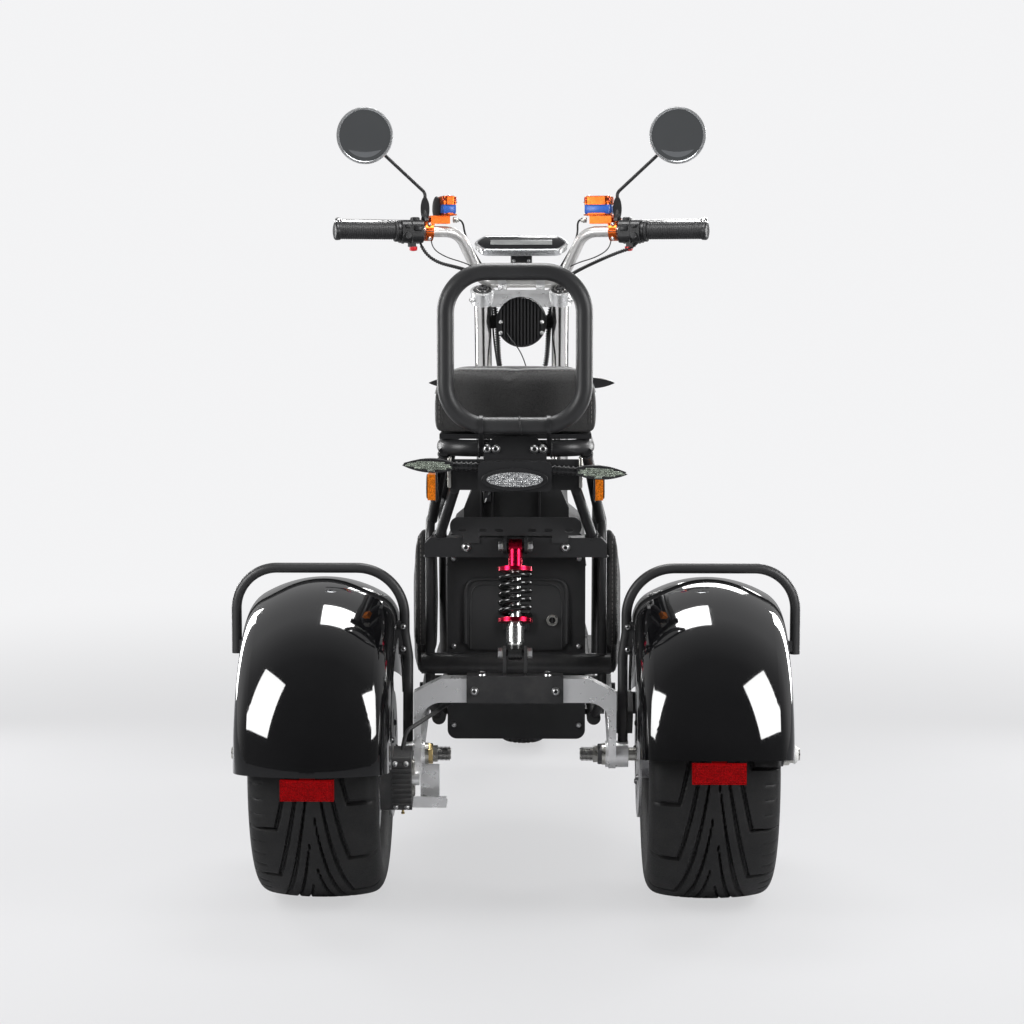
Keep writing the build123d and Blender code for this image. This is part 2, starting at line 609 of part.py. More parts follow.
def swing_arm():
    """Polished arch with a side plate and an axle carrier each side, and a foot on the left."""
    plate = (ARM_INNER_X, ARM_OUTER_X)
    leg_top = (CROSSBAR_REAR_Y + CROSSBAR_DEPTH / 2, CROSSBAR_BOTTOM)
    half = arm_arch()
    half += side_plate(link(REAR_CENTRE, ARM_END_RADIUS, leg_top, CROSSBAR_DEPTH / 2), plate)
    half += side_plate(
        link(REAR_CENTRE, ARM_END_RADIUS, (ARM_PIVOT_Y, ARM_PIVOT_Z), ARM_END_RADIUS), plate
    )
    half += x_cylinder(CARRIER_RADIUS, (CARRIER_INNER_X, CARRIER_OUTER_X), REAR_CENTRE)
    half -= x_cylinder(PIVOT_BOLT_RADIUS, plate, (ARM_PIVOT_Y, ARM_PIVOT_Z))
    depth = (-FOOT_HALF_DEPTH, FOOT_HALF_DEPTH)
    stem_depth = (FOOT_HALF_DEPTH - FOOT_SHEET, FOOT_HALF_DEPTH)
    stem = block(FOOT_STEM_X, stem_depth, (FOOT_Z[0], REAR_AXLE.Z - CARRIER_RADIUS))
    stem += block((FOOT_STEM_X[0], -CARRIER_INNER_X), stem_depth, (FOOT_Z[0], REAR_AXLE.Z))
    shelf = block(FOOT_X, depth, (FOOT_Z[0], FOOT_Z[0] + FOOT_SHEET))
    lip = block(FOOT_X, (-FOOT_HALF_DEPTH, FOOT_SHEET - FOOT_HALF_DEPTH), FOOT_Z)
    arm = half + mirrored(half) + [stem, shelf, lip]
    bore = x_cylinder(AXLE_RADIUS, (-CARRIER_OUTER_X, CARRIER_OUTER_X), REAR_CENTRE)
    for side, angle in ((1, RIGHT_CALIPER_ANGLE), (-1, LEFT_CALIPER_ANGLE)):
        ear = side_plate(
            link(REAR_CENTRE, ARM_END_RADIUS, caliper_centre(angle), BOLT_HEAD_RADIUS * 2), plate
        )
        arm += ear if side > 0 else mirrored(ear)
    return arm - bore


def swing_arm_bracket():
    """Black steel plate on the arch, folded over its top, with the shock absorber's ears."""
    rear, sheet = CROSSBAR_REAR_Y, BRACKET_SHEET
    top = CROSSBAR_BOTTOM + CROSSBAR_HEIGHT
    span = (-BRACKET_HALF_WIDTH, BRACKET_HALF_WIDTH)
    plate = block(span, (rear - sheet, rear), (CROSSBAR_BOTTOM, top + sheet))
    plate += block(span, (rear - sheet, rear + BRACKET_FOLD), (top, top + sheet))
    ear = side_plate(
        link((SHOCK_LOWER[0], top + EYE_RADIUS), EYE_RADIUS, SHOCK_LOWER, EYE_RADIUS),
        (SHOCK_EAR_X, SHOCK_EAR_X + SHOCK_EAR_THICKNESS),
    )
    bolt = x_cylinder(SHOCK_BOLT_RADIUS, (-SHOCK_BOLT_HALF, SHOCK_BOLT_HALF), SHOCK_LOWER)
    face_bolts = [
        bolt_head(x, CROSSBAR_BOTTOM + CROSSBAR_HEIGHT / 2, rear - sheet)
        for x in (-BRACKET_HALF_WIDTH * 0.84, BRACKET_HALF_WIDTH * 0.84)
    ]
    top_bolts = [
        rod((x, rear + sheet, top), (x, rear + sheet, top + sheet + BOLT_HEAD_RADIUS), BOLT_HEAD_RADIUS)
        for x in (-BRACKET_HALF_WIDTH * 0.68, BRACKET_HALF_WIDTH * 0.68)
    ]
    bar_room = block(span, (rear, rear + BRACKET_FOLD), (CROSSBAR_BOTTOM, top))
    ears = (Part() + [ear, mirrored(ear)]) - bar_room
    return Part() + [plate, ears, bolt, *face_bolts, *top_bolts]


def shock_plane():
    """Local frame of the shock absorber, Z from its lower to its upper eye."""
    lower = Vector(0, *SHOCK_LOWER)
    upper = Vector(0, *SHOCK_UPPER)
    return Plane(origin=lower, x_dir=(1, 0, 0), z_dir=upper - lower)


def shock_length():
    """Distance between the eyes."""
    return (Vector(*SHOCK_UPPER) - Vector(*SHOCK_LOWER)).length


def turned(stretches):
    """Round body along Z from (radius, start, end) stretches."""
    return Part() + [Pos(0, 0, start) * extrude(Circle(r), end - start) for r, start, end in stretches]


def shock_eye():
    """Eye of the shock absorber without its hole."""
    return x_cylinder(EYE_RADIUS, (-SHOCK_EYE_HALF, SHOCK_EYE_HALF))


def shock_rod():
    """Bright damper: lower eye, clevis and the rod inside the spring."""
    low, high = SPRING_SPAN
    body = turned([
        (DAMPER_RADIUS, EYE_RADIUS / 2, CLEVIS_SPAN[0]),
        (CLEVIS_RADIUS, *CLEVIS_SPAN),
        (DAMPER_RADIUS, CLEVIS_SPAN[1], low - COLLAR_THICKNESS),
        (DAMPER_ROD_RADIUS, low - COLLAR_THICKNESS, high),
    ])
    bore = x_cylinder(SHOCK_BOLT_RADIUS, (-SHOCK_EYE_HALF, SHOCK_EYE_HALF))
    return shock_plane().location * ((body + shock_eye()) - bore)


def shock_absorber():
    """Red upper eye and neck, and a red collar above and below the spring."""
    low, high = SPRING_SPAN
    length = shock_length()
    upper = turned([
        (COLLAR_RADIUS, high, high + COLLAR_THICKNESS),
        (DAMPER_RADIUS, high + COLLAR_THICKNESS, length - EYE_RADIUS / 2),
    ])
    bore = Pos(0, 0, length) * x_cylinder(SHOCK_BOLT_RADIUS, (-SHOCK_EYE_HALF, SHOCK_EYE_HALF))
    upper = (upper + Pos(0, 0, length) * shock_eye()) - bore
    ring = Circle(COLLAR_RADIUS) - Circle(DAMPER_ROD_RADIUS)
    lower = Pos(0, 0, low - COLLAR_THICKNESS) * extrude(ring, COLLAR_THICKNESS)
    return shock_plane().location * (Part() + [upper, lower])


def shock_spring():
    """Coil spring between the two collars."""
    low = SPRING_SPAN[0] + SPRING_WIRE_RADIUS
    height = SPRING_SPAN[1] - SPRING_WIRE_RADIUS - low
    coil = Helix(pitch=height / SPRING_TURNS, height=height, radius=SPRING_RADIUS)
    section = Plane(origin=coil @ 0, z_dir=coil % 0) * Circle(SPRING_WIRE_RADIUS)
    return shock_plane().location * (Pos(0, 0, low) * sweep(section, path=coil, is_frenet=True))


# ================================================================ mudguards
def guard_section(half_width, radius, skirt_radius, crown_radius, shoulder_radius):
    """Half-section curve of a mudguard: a wide crown arc, a shoulder arc and an upright side."""
    crown_centre = radius - crown_radius
    reach = crown_radius - shoulder_radius
    across = half_width - shoulder_radius
    rise = math.sqrt(reach**2 - across**2)
    join = (across * crown_radius / reach, crown_centre + rise * crown_radius / reach)
    side = (half_width, crown_centre + rise)
    join_turn = math.atan2(across, rise)
    middle_turn = (join_turn + math.radians(90)) / 2
    middle = (
        across + shoulder_radius * math.sin(middle_turn),
        crown_centre + rise + shoulder_radius * math.cos(middle_turn),
    )
    crown_middle = (
        crown_radius * math.sin(join_turn / 2),
        crown_centre + crown_radius * math.cos(join_turn / 2),
    )
    return [
        ThreePointArc((0, radius), crown_middle, join),
        ThreePointArc(join, middle, side),
        Line(side, (half_width, skirt_radius)),
    ]


def mudguard(half_width, radii, wall, front_angle, rear_angle):
    """Arched shell turned about X; radii are crown, skirt, crown arc and shoulder arc."""
    radius, skirt_radius, crown_radius, shoulder_radius = radii
    outer = guard_section(half_width, radius, skirt_radius, crown_radius, shoulder_radius)
    inner = guard_section(
        half_width - wall, radius - wall, skirt_radius, crown_radius - wall, shoulder_radius - wall
    )
    hem = Line((half_width, skirt_radius), (half_width - wall, skirt_radius))
    half = outer + inner + [hem]
    section = make_face(half + [mirror(edge, about=Plane.YZ).edge() for edge in half])
    return Rot(X=front_angle) * revolve(section, Axis.X, 180 - front_angle - rear_angle)


def rear_guard(turn):
    """Right rear mudguard, turned forward about the axle."""
    radii = (GUARD_RADIUS, GUARD_SKIRT_RADIUS, GUARD_CROWN_RADIUS, GUARD_SHOULDER_RADIUS)
    shell = mudguard(GUARD_HALF_WIDTH, radii, GUARD_WALL, GUARD_FRONT_ANGLE, GUARD_REAR_ANGLE)
    return Pos(REAR_WHEEL_X, *REAR_CENTRE) * (Rot(X=-turn) * shell)


def rear_reflector(turn):
    """Right red reflector under the rear edge of the mudguard, on a tab up inside it."""
    width, height, depth = REFLECTOR_SIZE
    tab_width, tab_rise, tab_thickness = REFLECTOR_TAB
    inside = GUARD_RADIUS - GUARD_WALL
    edge_z = inside * math.sin(math.radians(GUARD_REAR_ANGLE))
    top = edge_z - REFLECTOR_GAP
    face_y = -(inside * math.cos(math.radians(GUARD_REAR_ANGLE)) + GUARD_WALL)
    plate = block((-width / 2, width / 2), (face_y, face_y + depth), (top - height, top))
    tab_y = face_y + GUARD_WALL
    tab_z = (top - height / 2, edge_z + tab_rise)
    tab = block((-tab_width / 2, tab_width / 2), (tab_y, tab_y + tab_thickness), tab_z)
    placed = Pos(REAR_WHEEL_X, *REAR_CENTRE) * (Rot(X=-turn) * (plate + tab))
    return placed - rear_guard(turn)


def guard_hoop():
    """Right tube over the mudguard with its lugs and bolts, and the outer stay down to the axle."""
    path = [
        (HOOP_LEG_X, 0, REAR_AXLE.Z + CARRIER_RADIUS / 2),
        (HOOP_LEG_X, HOOP_Y, HOOP_LEG_TOP_Z),
        (HOOP_INNER_X, HOOP_Y, HOOP_KNEE_Z),
        (HOOP_INNER_X, HOOP_Y, HOOP_TOP_Z),
        (HOOP_OUTER_X, HOOP_Y, HOOP_TOP_Z),
        (HOOP_OUTER_X, HOOP_Y, HOOP_OUTER_END_Z),
    ]
    hoop = bent_tube(
        path, HOOP_TUBE_RADIUS,
        [HOOP_LEG_BEND, HOOP_LEG_BEND, HOOP_INNER_BEND, HOOP_OUTER_BEND],
    )
    lug = (HOOP_Y - LUG_HALF_DEPTH, HOOP_Y + LUG_HALF_DEPTH)
    hoop += block((HOOP_INNER_X, GUARD_INNER_X), lug, INNER_LUG_Z)
    hoop += block((GUARD_OUTER_X, HOOP_OUTER_X), lug, OUTER_LUG_Z)
    hoop -= x_cylinder(CARRIER_RADIUS, (CARRIER_INNER_X, CARRIER_OUTER_X), REAR_CENTRE)
    bolt_x = (HOOP_LEG_X + GUARD_INNER_X) / 2
    bolts = [
        rod((bolt_x, lug[0] + 1, z), (bolt_x, lug[0] - BOLT_HEAD_HEIGHT, z), LUG_BOLT_RADIUS)
        for z in (INNER_LUG_Z[0] + 2 * LUG_BOLT_RADIUS, INNER_LUG_Z[1] - 2 * LUG_BOLT_RADIUS)
    ]
    stay_x = (GUARD_OUTER_X, GUARD_OUTER_X + STAY_THICKNESS)
    outer_stay = side_plate(
        link(REAR_CENTRE, CAP_RADIUS * 2, (HOOP_Y, OUTER_LUG_Z[0]), STAY_WIDTH / 2), stay_x
    )
    outer_stay -= x_cylinder(AXLE_RADIUS, stay_x, REAR_CENTRE)
    return Part() + [hoop, outer_stay, *bolts]


def rear_axle():
    """Right stub axle: end bolt, inner nut and washers, outer nut and round cap."""
    side_out = GUARD_OUTER_X + STAY_THICKNESS
    nut_start = AXLE_INNER_X + END_BOLT_LENGTH
    washer_start = nut_start + NUT_LENGTH
    end_bolt = x_cylinder(END_BOLT_RADIUS, (AXLE_INNER_X, nut_start), REAR_CENTRE)
    axle = x_cylinder(AXLE_RADIUS, (nut_start, AXLE_CAP_X - CAP_RADIUS), REAR_CENTRE)
    nut_plane = Plane(origin=(nut_start, *REAR_CENTRE), x_dir=(0, 1, 0), z_dir=(1, 0, 0))
    nut = extrude(nut_plane * RegularPolygon(NUT_RADIUS, 6), NUT_LENGTH)
    washer = x_cylinder(WASHER_RADIUS, (washer_start, CARRIER_INNER_X), REAR_CENTRE)
    outer_nut = x_cylinder(NUT_RADIUS, (side_out, AXLE_CAP_X - CAP_RADIUS), REAR_CENTRE)
    cap = x_cylinder(CAP_RADIUS, (AXLE_CAP_X - CAP_RADIUS, AXLE_CAP_X), REAR_CENTRE)
    return Part() + [end_bolt, axle, nut, washer, outer_nut, cap]


def caliper_centre(angle):
    """Middle of a rear caliper as (y, z), at an angle about the axle."""
    turn = math.radians(angle)
    return (
        REAR_AXLE.Y + CALIPER_REACH * math.cos(turn),
        REAR_AXLE.Z + CALIPER_REACH * math.sin(turn),
    )


def rear_caliper(angle, length, cheek):
    """Right brake caliper at an angle about the axle: a slotted block over the edge of the disc."""
    slot_half = DISC_THICKNESS / 2 + DISC_GAP
    inner, outer = ARM_OUTER_X, REAR_DISC_X + slot_half + cheek
    reach = (CALIPER_REACH - CALIPER_HEIGHT / 2, CALIPER_REACH + CALIPER_HEIGHT / 2)
    along = (-length / 2, length / 2)
    body = block((inner, outer), reach, along)
    body = fillet(body.edges().filter_by(Axis.X), CALIPER_FILLET)
    slot = block(
        (REAR_DISC_X - slot_half, REAR_DISC_X + slot_half),
        (reach[0], REAR_DISC_RADIUS + DISC_GAP), along,
    )
    caliper = Pos(0, *REAR_CENTRE) * (Rot(X=angle) * (body - slot))
    leg = rod(
        (HOOP_LEG_X, 0, REAR_AXLE.Z), (HOOP_LEG_X, HOOP_Y, HOOP_LEG_TOP_Z), HOOP_TUBE_RADIUS + DISC_GAP / 2
    )
    return caliper - leg


def brake_hose():
    """Left brake hose, from the case down under the arch to the caliper."""
    hose = bent_tube(
        [
            (-112, CASE_REAR_Y + 2, 300), (-113, 75, 309), (-121, 20, 315), (-133, -34, 314),
            (-152, -66, 306), (-178, -84, 292), (-187, -94, 246),
        ],
        HOSE_RADIUS, [90.0, 80.0, 50.0, 28.0, 22.0],
    )
    return hose - battery_case()


def rear_calipers():
    """Both rear calipers, with the left one's hose."""
    left = mirrored(rear_caliper(LEFT_CALIPER_ANGLE, *LEFT_CALIPER))
    return Part() + [rear_caliper(RIGHT_CALIPER_ANGLE, *RIGHT_CALIPER), left, brake_hose()]


# ================================================================ frame
def frame_rails():
    """Head tube, the two rails that run down from it and under the deck, and their cross pieces."""
    middle = (HEAD_TUBE[0] + HEAD_TUBE[1]) / 2
    head_centre = STEERING.from_local_coords(Vector(0, 0, middle))
    joint = (HEAD_TUBE_RADIUS * 0.75, head_centre.Y - 6, head_centre.Z + 10)
    rail = bent_tube(
        [(RAIL_X, RAIL_REAR_Y, RAIL_Z), (RAIL_X, RAIL_FRONT_Y, RAIL_Z), joint], RAIL_RADIUS, [RAIL_BEND]
    )
    case_rod_y = CASE_FRONT_Y + 2 * CROSS_ROD_RADIUS + 2
    bars = [
        rod((-RAIL_X, y, RAIL_Z), (RAIL_X, y, RAIL_Z), CROSS_ROD_RADIUS) for y in (case_rod_y, *DECK_ROD_Y)
    ]
    lug_half_length, lug_half_height = CASE_LUG_HALF
    lugs = [
        block(
            (CASE_HALF_WIDTH, RAIL_X), (y - lug_half_length, y + lug_half_length),
            (RAIL_Z - lug_half_height, RAIL_Z + lug_half_height),
        )
        for y in CASE_LUG_Y
    ]
    pivot = (ARM_PIVOT_Y, ARM_PIVOT_Z)
    pivot_lug = side_plate(
        link(pivot, 2.6 * PIVOT_BOLT_RADIUS, (ARM_PIVOT_Y, RAIL_Z), 3 * PIVOT_BOLT_RADIUS),
        (RAIL_X, ARM_INNER_X),
    )
    pivot_bolt = x_cylinder(PIVOT_BOLT_RADIUS, (RAIL_X, ARM_OUTER_X + PIVOT_BOLT_RADIUS), pivot)
    half = Part() + [rail, pivot_lug, pivot_bolt, *lugs]
    length = HEAD_TUBE[1] - HEAD_TUBE[0]
    head = extrude(Plane.XY.offset(HEAD_TUBE[0]) * Circle(HEAD_TUBE_RADIUS), length)
    frame = Part() + [half, mirrored(half), *bars, STEERING.location * head]
    bore_start = HEAD_TUBE[0] - HEAD_TUBE_RADIUS
    bore = extrude(
        Plane.XY.offset(bore_start) * Circle(STEM_RADIUS + RUNNING_CLEARANCE),
        length + 2 * HEAD_TUBE_RADIUS,
    )
    return frame - STEERING.location * bore


def rear_post_ends():
    """Foot and head of the right rear seat post."""
    foot = Vector(UPRIGHT_X - 3, UPRIGHT_Y + 20, UPPER_RAIL_Z)
    return foot, Vector(SEAT_LOOP_X, REAR_POST_TOP_Y, SEAT_LOOP_Z - SEAT_LOOP_RADIUS / 2)


def frame_sides():
    """Side loops beside the battery case, the seat posts and struts, the cross tube and the beam."""
    foot_z = RAIL_Z + UPRIGHT_FOOT_RISE
    loop = bent_tube(
        [
            (UPRIGHT_X, UPRIGHT_Y, foot_z - 4),
            (UPRIGHT_X, UPRIGHT_Y, UPPER_RAIL_Z),
            (UPRIGHT_X, UPPER_RAIL_FRONT_Y, UPPER_RAIL_Z),
            (UPRIGHT_X, UPPER_RAIL_FRONT_Y + LOOP_FRONT_SLOPE, RAIL_Z + RAIL_RADIUS - 6),
        ],
        UPRIGHT_RADIUS, [40.0, 60.0],
    )
    foot = rod((UPRIGHT_X, UPRIGHT_Y, foot_z), (RAIL_X, RAIL_REAR_Y + RAIL_RADIUS, RAIL_Z), UPRIGHT_RADIUS)
    rear_foot, rear_head = rear_post_ends()
    front_foot_y, front_head_y = FRONT_POST_Y
    posts = [
        rod(rear_foot, rear_head, POST_RADIUS),
        rod(
            (rear_foot.X, front_foot_y, UPPER_RAIL_Z), (rear_head.X, front_head_y, rear_head.Z), POST_RADIUS
        ),
    ]
    half = Part() + [loop, foot, *posts]
    tube_reach = (-CROSS_TUBE_HALF, CROSS_TUBE_HALF)
    cross_tube = x_cylinder(CROSS_TUBE_RADIUS, tube_reach, (UPRIGHT_Y, CROSS_TUBE_Z))
    beam_front = UPRIGHT_Y - UPRIGHT_RADIUS / 2
    beam = block((-BEAM_HALF, BEAM_HALF), (BEAM_REAR_Y, beam_front), (BEAM_BOTTOM, BEAM_TOP))
    beam = chamfer(beam.edges().filter_by(Axis.Y).sort_by(Axis.Z)[-2:], BEAM_CHAMFER)
    bolts = [
        bolt_head(side * x, (BEAM_BOTTOM + BEAM_TOP) / 2, BEAM_REAR_Y)
        for x in BEAM_BOLTS_X
        for side in (-1, 1)
    ]
    ear = side_plate(
        link((BEAM_REAR_Y + EYE_RADIUS, SHOCK_UPPER[1]), EYE_RADIUS + 1, SHOCK_UPPER, EYE_RADIUS + 1),
        (SHOCK_EAR_X, SHOCK_EAR_X + SHOCK_EAR_THICKNESS),
    )
    bolt = x_cylinder(SHOCK_BOLT_RADIUS, (-SHOCK_BOLT_HALF, SHOCK_BOLT_HALF), SHOCK_UPPER)
    strut = rod(REAR_STRUT_HEAD, REAR_STRUT_FOOT, POST_RADIUS)
    behind_bracket = (REAR_STRUT_HEAD[1] - 2 * POST_RADIUS, BRACKET_FACE_Y)
    strut -= block((0, BEAM_HALF), behind_bracket, (BEAM_TOP, SEAT_LOOP_Z))
    return Part() + [
        half, mirrored(half), strut, mirrored(strut), cross_tube, beam, ear, mirrored(ear), bolt, *bolts
    ]


def seat_loop():
    """Closed tube under the seat, with the hinge lugs and pin ahead of it."""
    x, z = SEAT_LOOP_X, SEAT_LOOP_Z
    rear, front = SEAT_LOOP_REAR_Y, SEAT_LOOP_FRONT_Y
    half = bent_tube(
        [(0, rear, z), (x, rear, z), (x, front, z), (0, front, z)],
        SEAT_LOOP_RADIUS, [SEAT_LOOP_BEND, SEAT_LOOP_BEND],
    )
    lug_foot = (front + SEAT_LOOP_RADIUS / 2, z)
    lug = side_plate(
        link(lug_foot, KNUCKLE_RADIUS, (SEAT_HINGE_Y, SEAT_HINGE_Z), KNUCKLE_RADIUS - 1), SEAT_HINGE_LUG_X
    )
    pin_half = SEAT_HINGE_LUG_X[1]
    pin = x_cylinder(SEAT_HINGE_PIN_RADIUS, (-pin_half, pin_half), (SEAT_HINGE_Y, SEAT_HINGE_Z))
    return Part() + [half, mirrored(half), lug, mirrored(lug), pin]


# ================================================================ body pieces
def battery_case():
    """Closed case under the seat, with a raised panel on its back and a carrying handle on top."""
    half = [
        (CASE_HALF_WIDTH, CASE_BOTTOM), (CASE_HALF_WIDTH, CASE_SHOULDER_Z[0]),
        (CASE_NECK_HALF, CASE_SHOULDER_Z[1]), (CASE_NECK_HALF, CASE_SHOULDER_Z[2]),
        (CASE_TOP_HALF, CASE_TOP),
    ]
    outline = Polyline(*half, *[(-x, z) for x, z in reversed(half)], close=True)
    case = rear_plate(make_face(outline), (CASE_REAR_Y, CASE_FRONT_Y))
    case = fillet(case.edges().filter_by(Axis.Y).sort_by(Axis.Z)[:2], CASE_LOWER_FILLET)
    case = fillet(case.edges().filter_by(Axis.Y).sort_by(Axis.Z)[-2:], CASE_UPPER_FILLET)
    panel = Pos(0, PANEL_MIDDLE_Z) * RectangleRounded(*PANEL_SIZE, PANEL_CORNER)
    case += rear_plate(panel, (CASE_REAR_Y - PANEL_RISE, CASE_REAR_Y))
    foot, top = CASE_TOP - 2, CASE_TOP + HANDLE_HEIGHT
    near, far = HANDLE_Y
    handle = bent_tube(
        [(0, near, foot), (0, near, top), (0, far, top), (0, far, foot)],
        HANDLE_RADIUS, [2 * HANDLE_RADIUS, 2 * HANDLE_RADIUS],
    )
    return case + handle


def rolled_edge(low, high, roll_low, roll_high, inner, outer):
    """Profile (along, out) whose outer face curves in to the inner face at both ends."""
    return make_face([
        Line((low, inner), (high, inner)),
        Spline(
            (high, inner), (high - roll_high, outer), tangents=((-0.35, 1.0), (-1.0, 0.0)),
        ),
        Line((high - roll_high, outer), (low + roll_low, outer)),
        Spline(
            (low + roll_low, outer), (low, inner), tangents=((-1.0, 0.0), (-0.35, -1.0)),
        ),
    ])


def side_cover():
    """Right padded cover beside the frame's side loop, its face curved in at every edge."""
    rear, front = UPRIGHT_Y, UPPER_RAIL_FRONT_Y
    notch_z = COVER_BOTTOM + 65
    outline = make_face(FilletPolyline(
        (rear + 2, notch_z), (rear - 4, COVER_TOP), (front - 10, COVER_FRONT_TOP),
        (front + 40, notch_z + 20),
        (front - 10, COVER_BOTTOM), (rear + 110, COVER_BOTTOM), (rear + 60, notch_z),
        radius=[16.0, 30.0, 30.0, 30.0, 30.0, 30.0, 30.0], close=True,
    ))
    inner = UPRIGHT_X + UPRIGHT_RADIUS
    outer = inner + COVER_THICKNESS
    plate = side_plate(outline, (inner, outer))
    upright = rolled_edge(COVER_BOTTOM - 1, COVER_TOP + 1, 40, COVER_TOP_ROLL, inner, outer)
    # the profile is drawn as (z, x): the plane's X axis points up and its Y axis points out
    slope = (COVER_TOP - COVER_FRONT_TOP) / (front - rear)
    front_view = Plane(origin=(0, rear - 30, 0), x_dir=(0, slope, 1), z_dir=(0, 1, -slope))
    upright_solid = extrude(front_view * upright, front - rear + 100)
    along = rolled_edge(rear - 5, front + 41, COVER_END_ROLL, COVER_END_ROLL, inner, outer)
    top_view = Plane(origin=(0, 0, COVER_TOP + 10), x_dir=(0, 1, 0), z_dir=(0, 0, -1))
    along_solid = extrude(top_view * along, COVER_TOP - COVER_BOTTOM + 20)
    return plate & upright_solid & along_solid


def floor_board():
    """Flat deck on the rails, between the battery case and the front, with rounded corners."""
    rear = CASE_FRONT_Y + DECK_GAP
    middle = (rear + DECK_FRONT_Y) / 2
    outline = RectangleRounded(2 * DECK_HALF_WIDTH, DECK_FRONT_Y - rear, DECK_CORNER)
    return extrude(Pos(0, middle, RAIL_Z + RAIL_RADIUS - DECK_SEAT) * outline, DECK_THICKNESS)


def rear_bracket():
    """Plate behind the seat loop, with lugs for the grab bar and wings for the tail lamp's wiring."""
    low, shelf, top = BRACKET_PLATE_Z
    wing_half, plate_half, crown_half = BRACKET_PLATE_HALF
    outline = make_face(Polyline(
        (-wing_half, low), (wing_half, low), (wing_half, shelf), (plate_half, shelf),
        (plate_half, SEAT_LOOP_Z), (crown_half, top), (-crown_half, top), (-plate_half, SEAT_LOOP_Z),
        (-plate_half, shelf), (-wing_half, shelf), close=True,
    ))
    plate = rear_plate(outline, (BRACKET_FACE_Y - BRACKET_PLATE_THICKNESS, BRACKET_FACE_Y))
    bar = (GRAB_BAR_Y, GRAB_BAR_BOTTOM + GRAB_BAR_RADIUS)
    lug_foot = (BRACKET_FACE_Y + 2, SEAT_LOOP_Z + 10)
    lug = side_plate(link(lug_foot, 10, bar, GRAB_BAR_RADIUS + 3), GRAB_LUG_X)
    reach = (-GRAB_LUG_X[1], GRAB_LUG_X[1])
    lugs = (lug + mirrored(lug)) - x_cylinder(GRAB_BAR_RADIUS, reach, bar)
    lugs -= x_cylinder(SEAT_LOOP_RADIUS, reach, (SEAT_LOOP_REAR_Y, SEAT_LOOP_Z))
    bolt_y = BRACKET_FACE_Y - BRACKET_PLATE_THICKNESS
    bolts = [bolt_head(side * x, SEAT_LOOP_Z, bolt_y) for x in BRACKET_PLATE_BOLTS_X for side in (-1, 1)]
    return Part() + [plate, lugs, *bolts]


def grab_bar():
    """Closed upright hoop behind the seat."""
    x = GRAB_BAR_HALF - GRAB_BAR_RADIUS
    low, high = GRAB_BAR_BOTTOM + GRAB_BAR_RADIUS, GRAB_BAR_TOP - GRAB_BAR_RADIUS
    half = bent_tube(
        [(0, GRAB_BAR_Y, low), (x, GRAB_BAR_Y, low), (x, GRAB_BAR_Y, high), (0, GRAB_BAR_Y, high)],
        GRAB_BAR_RADIUS, [GRAB_BAR_LOWER_BEND, GRAB_BAR_UPPER_BEND],
    )
    return half + mirrored(half)


def tail_lamp():
    """Housing with an oval rim around the lens."""
    front = BRACKET_FACE_Y - BRACKET_PLATE_THICKNESS
    rear = front - LAMP_DEPTH
    body = block((-LAMP_HALF_WIDTH, LAMP_HALF_WIDTH), (rear, front), LAMP_Z)
    body = fillet(body.edges().filter_by(Axis.Y), LAMP_FILLET)
    half_width, half_height = LENS_SIZE
    ring = Ellipse(half_width + LENS_RIM, half_height + LENS_RIM) - Ellipse(half_width, half_height)
    return body + rear_plate(Pos(0, LENS_Z) * ring, (rear - LENS_RIM, rear))


def tail_lamp_lens():
    """Oval lens inside the tail lamp's rim."""
    rear = BRACKET_FACE_Y - BRACKET_PLATE_THICKNESS - LAMP_DEPTH
    return rear_plate(Pos(0, LENS_Z) * Ellipse(*LENS_SIZE), (rear - LENS_RISE, rear))


def signal(root, stalk_length, droop):
    """Right turn signal on a ribbed stalk: a pointed flat leaf pointing outwards."""
    neck = SIGNAL_HEIGHT * SIGNAL_NECK_SHARE
    rib_radius, rib_length, pitch = [neck * share for share in SIGNAL_RIB]
    stalk = x_cylinder(neck, (0, stalk_length + neck))
    starts = [rib_length + i * pitch for i in range(int(stalk_length // pitch))]
    stalk += [x_cylinder(rib_radius, (start, start + rib_length)) for start in starts]
    middle = SIGNAL_LENGTH * 0.45
    profile = make_face([
        ThreePointArc((0, -neck), (middle, -SIGNAL_HEIGHT / 2), (SIGNAL_LENGTH, 0)),
        ThreePointArc((SIGNAL_LENGTH, 0), (middle, SIGNAL_HEIGHT / 2), (0, neck)),
        Line((0, neck), (0, -neck)),
    ])
    leaf = Pos(stalk_length, 0, 0) * rear_plate(profile, (-SIGNAL_DEPTH / 2, SIGNAL_DEPTH / 2))
    return Pos(*root) * (Rot(Y=droop) * (stalk + leaf))


def rear_signals():
    """Pair of signals on stalks beside the tail lamp, the pair a little askew."""
    pair = both_sides(signal((LAMP_HALF_WIDTH, SIGNAL_Y, 0), SIGNAL_STALK, SIGNAL_DROOP))
    return Pos(0, 0, SIGNAL_Z) * (Rot(Y=SIGNAL_TILT) * pair) - tail_lamp()


def side_reflectors():
    """Pair of amber reflectors on the rear seat posts, facing outwards."""
    return both_sides(block(SIDE_REFLECTOR_X, SIDE_REFLECTOR_Y, SIDE_REFLECTOR_Z)) - frame_sides()


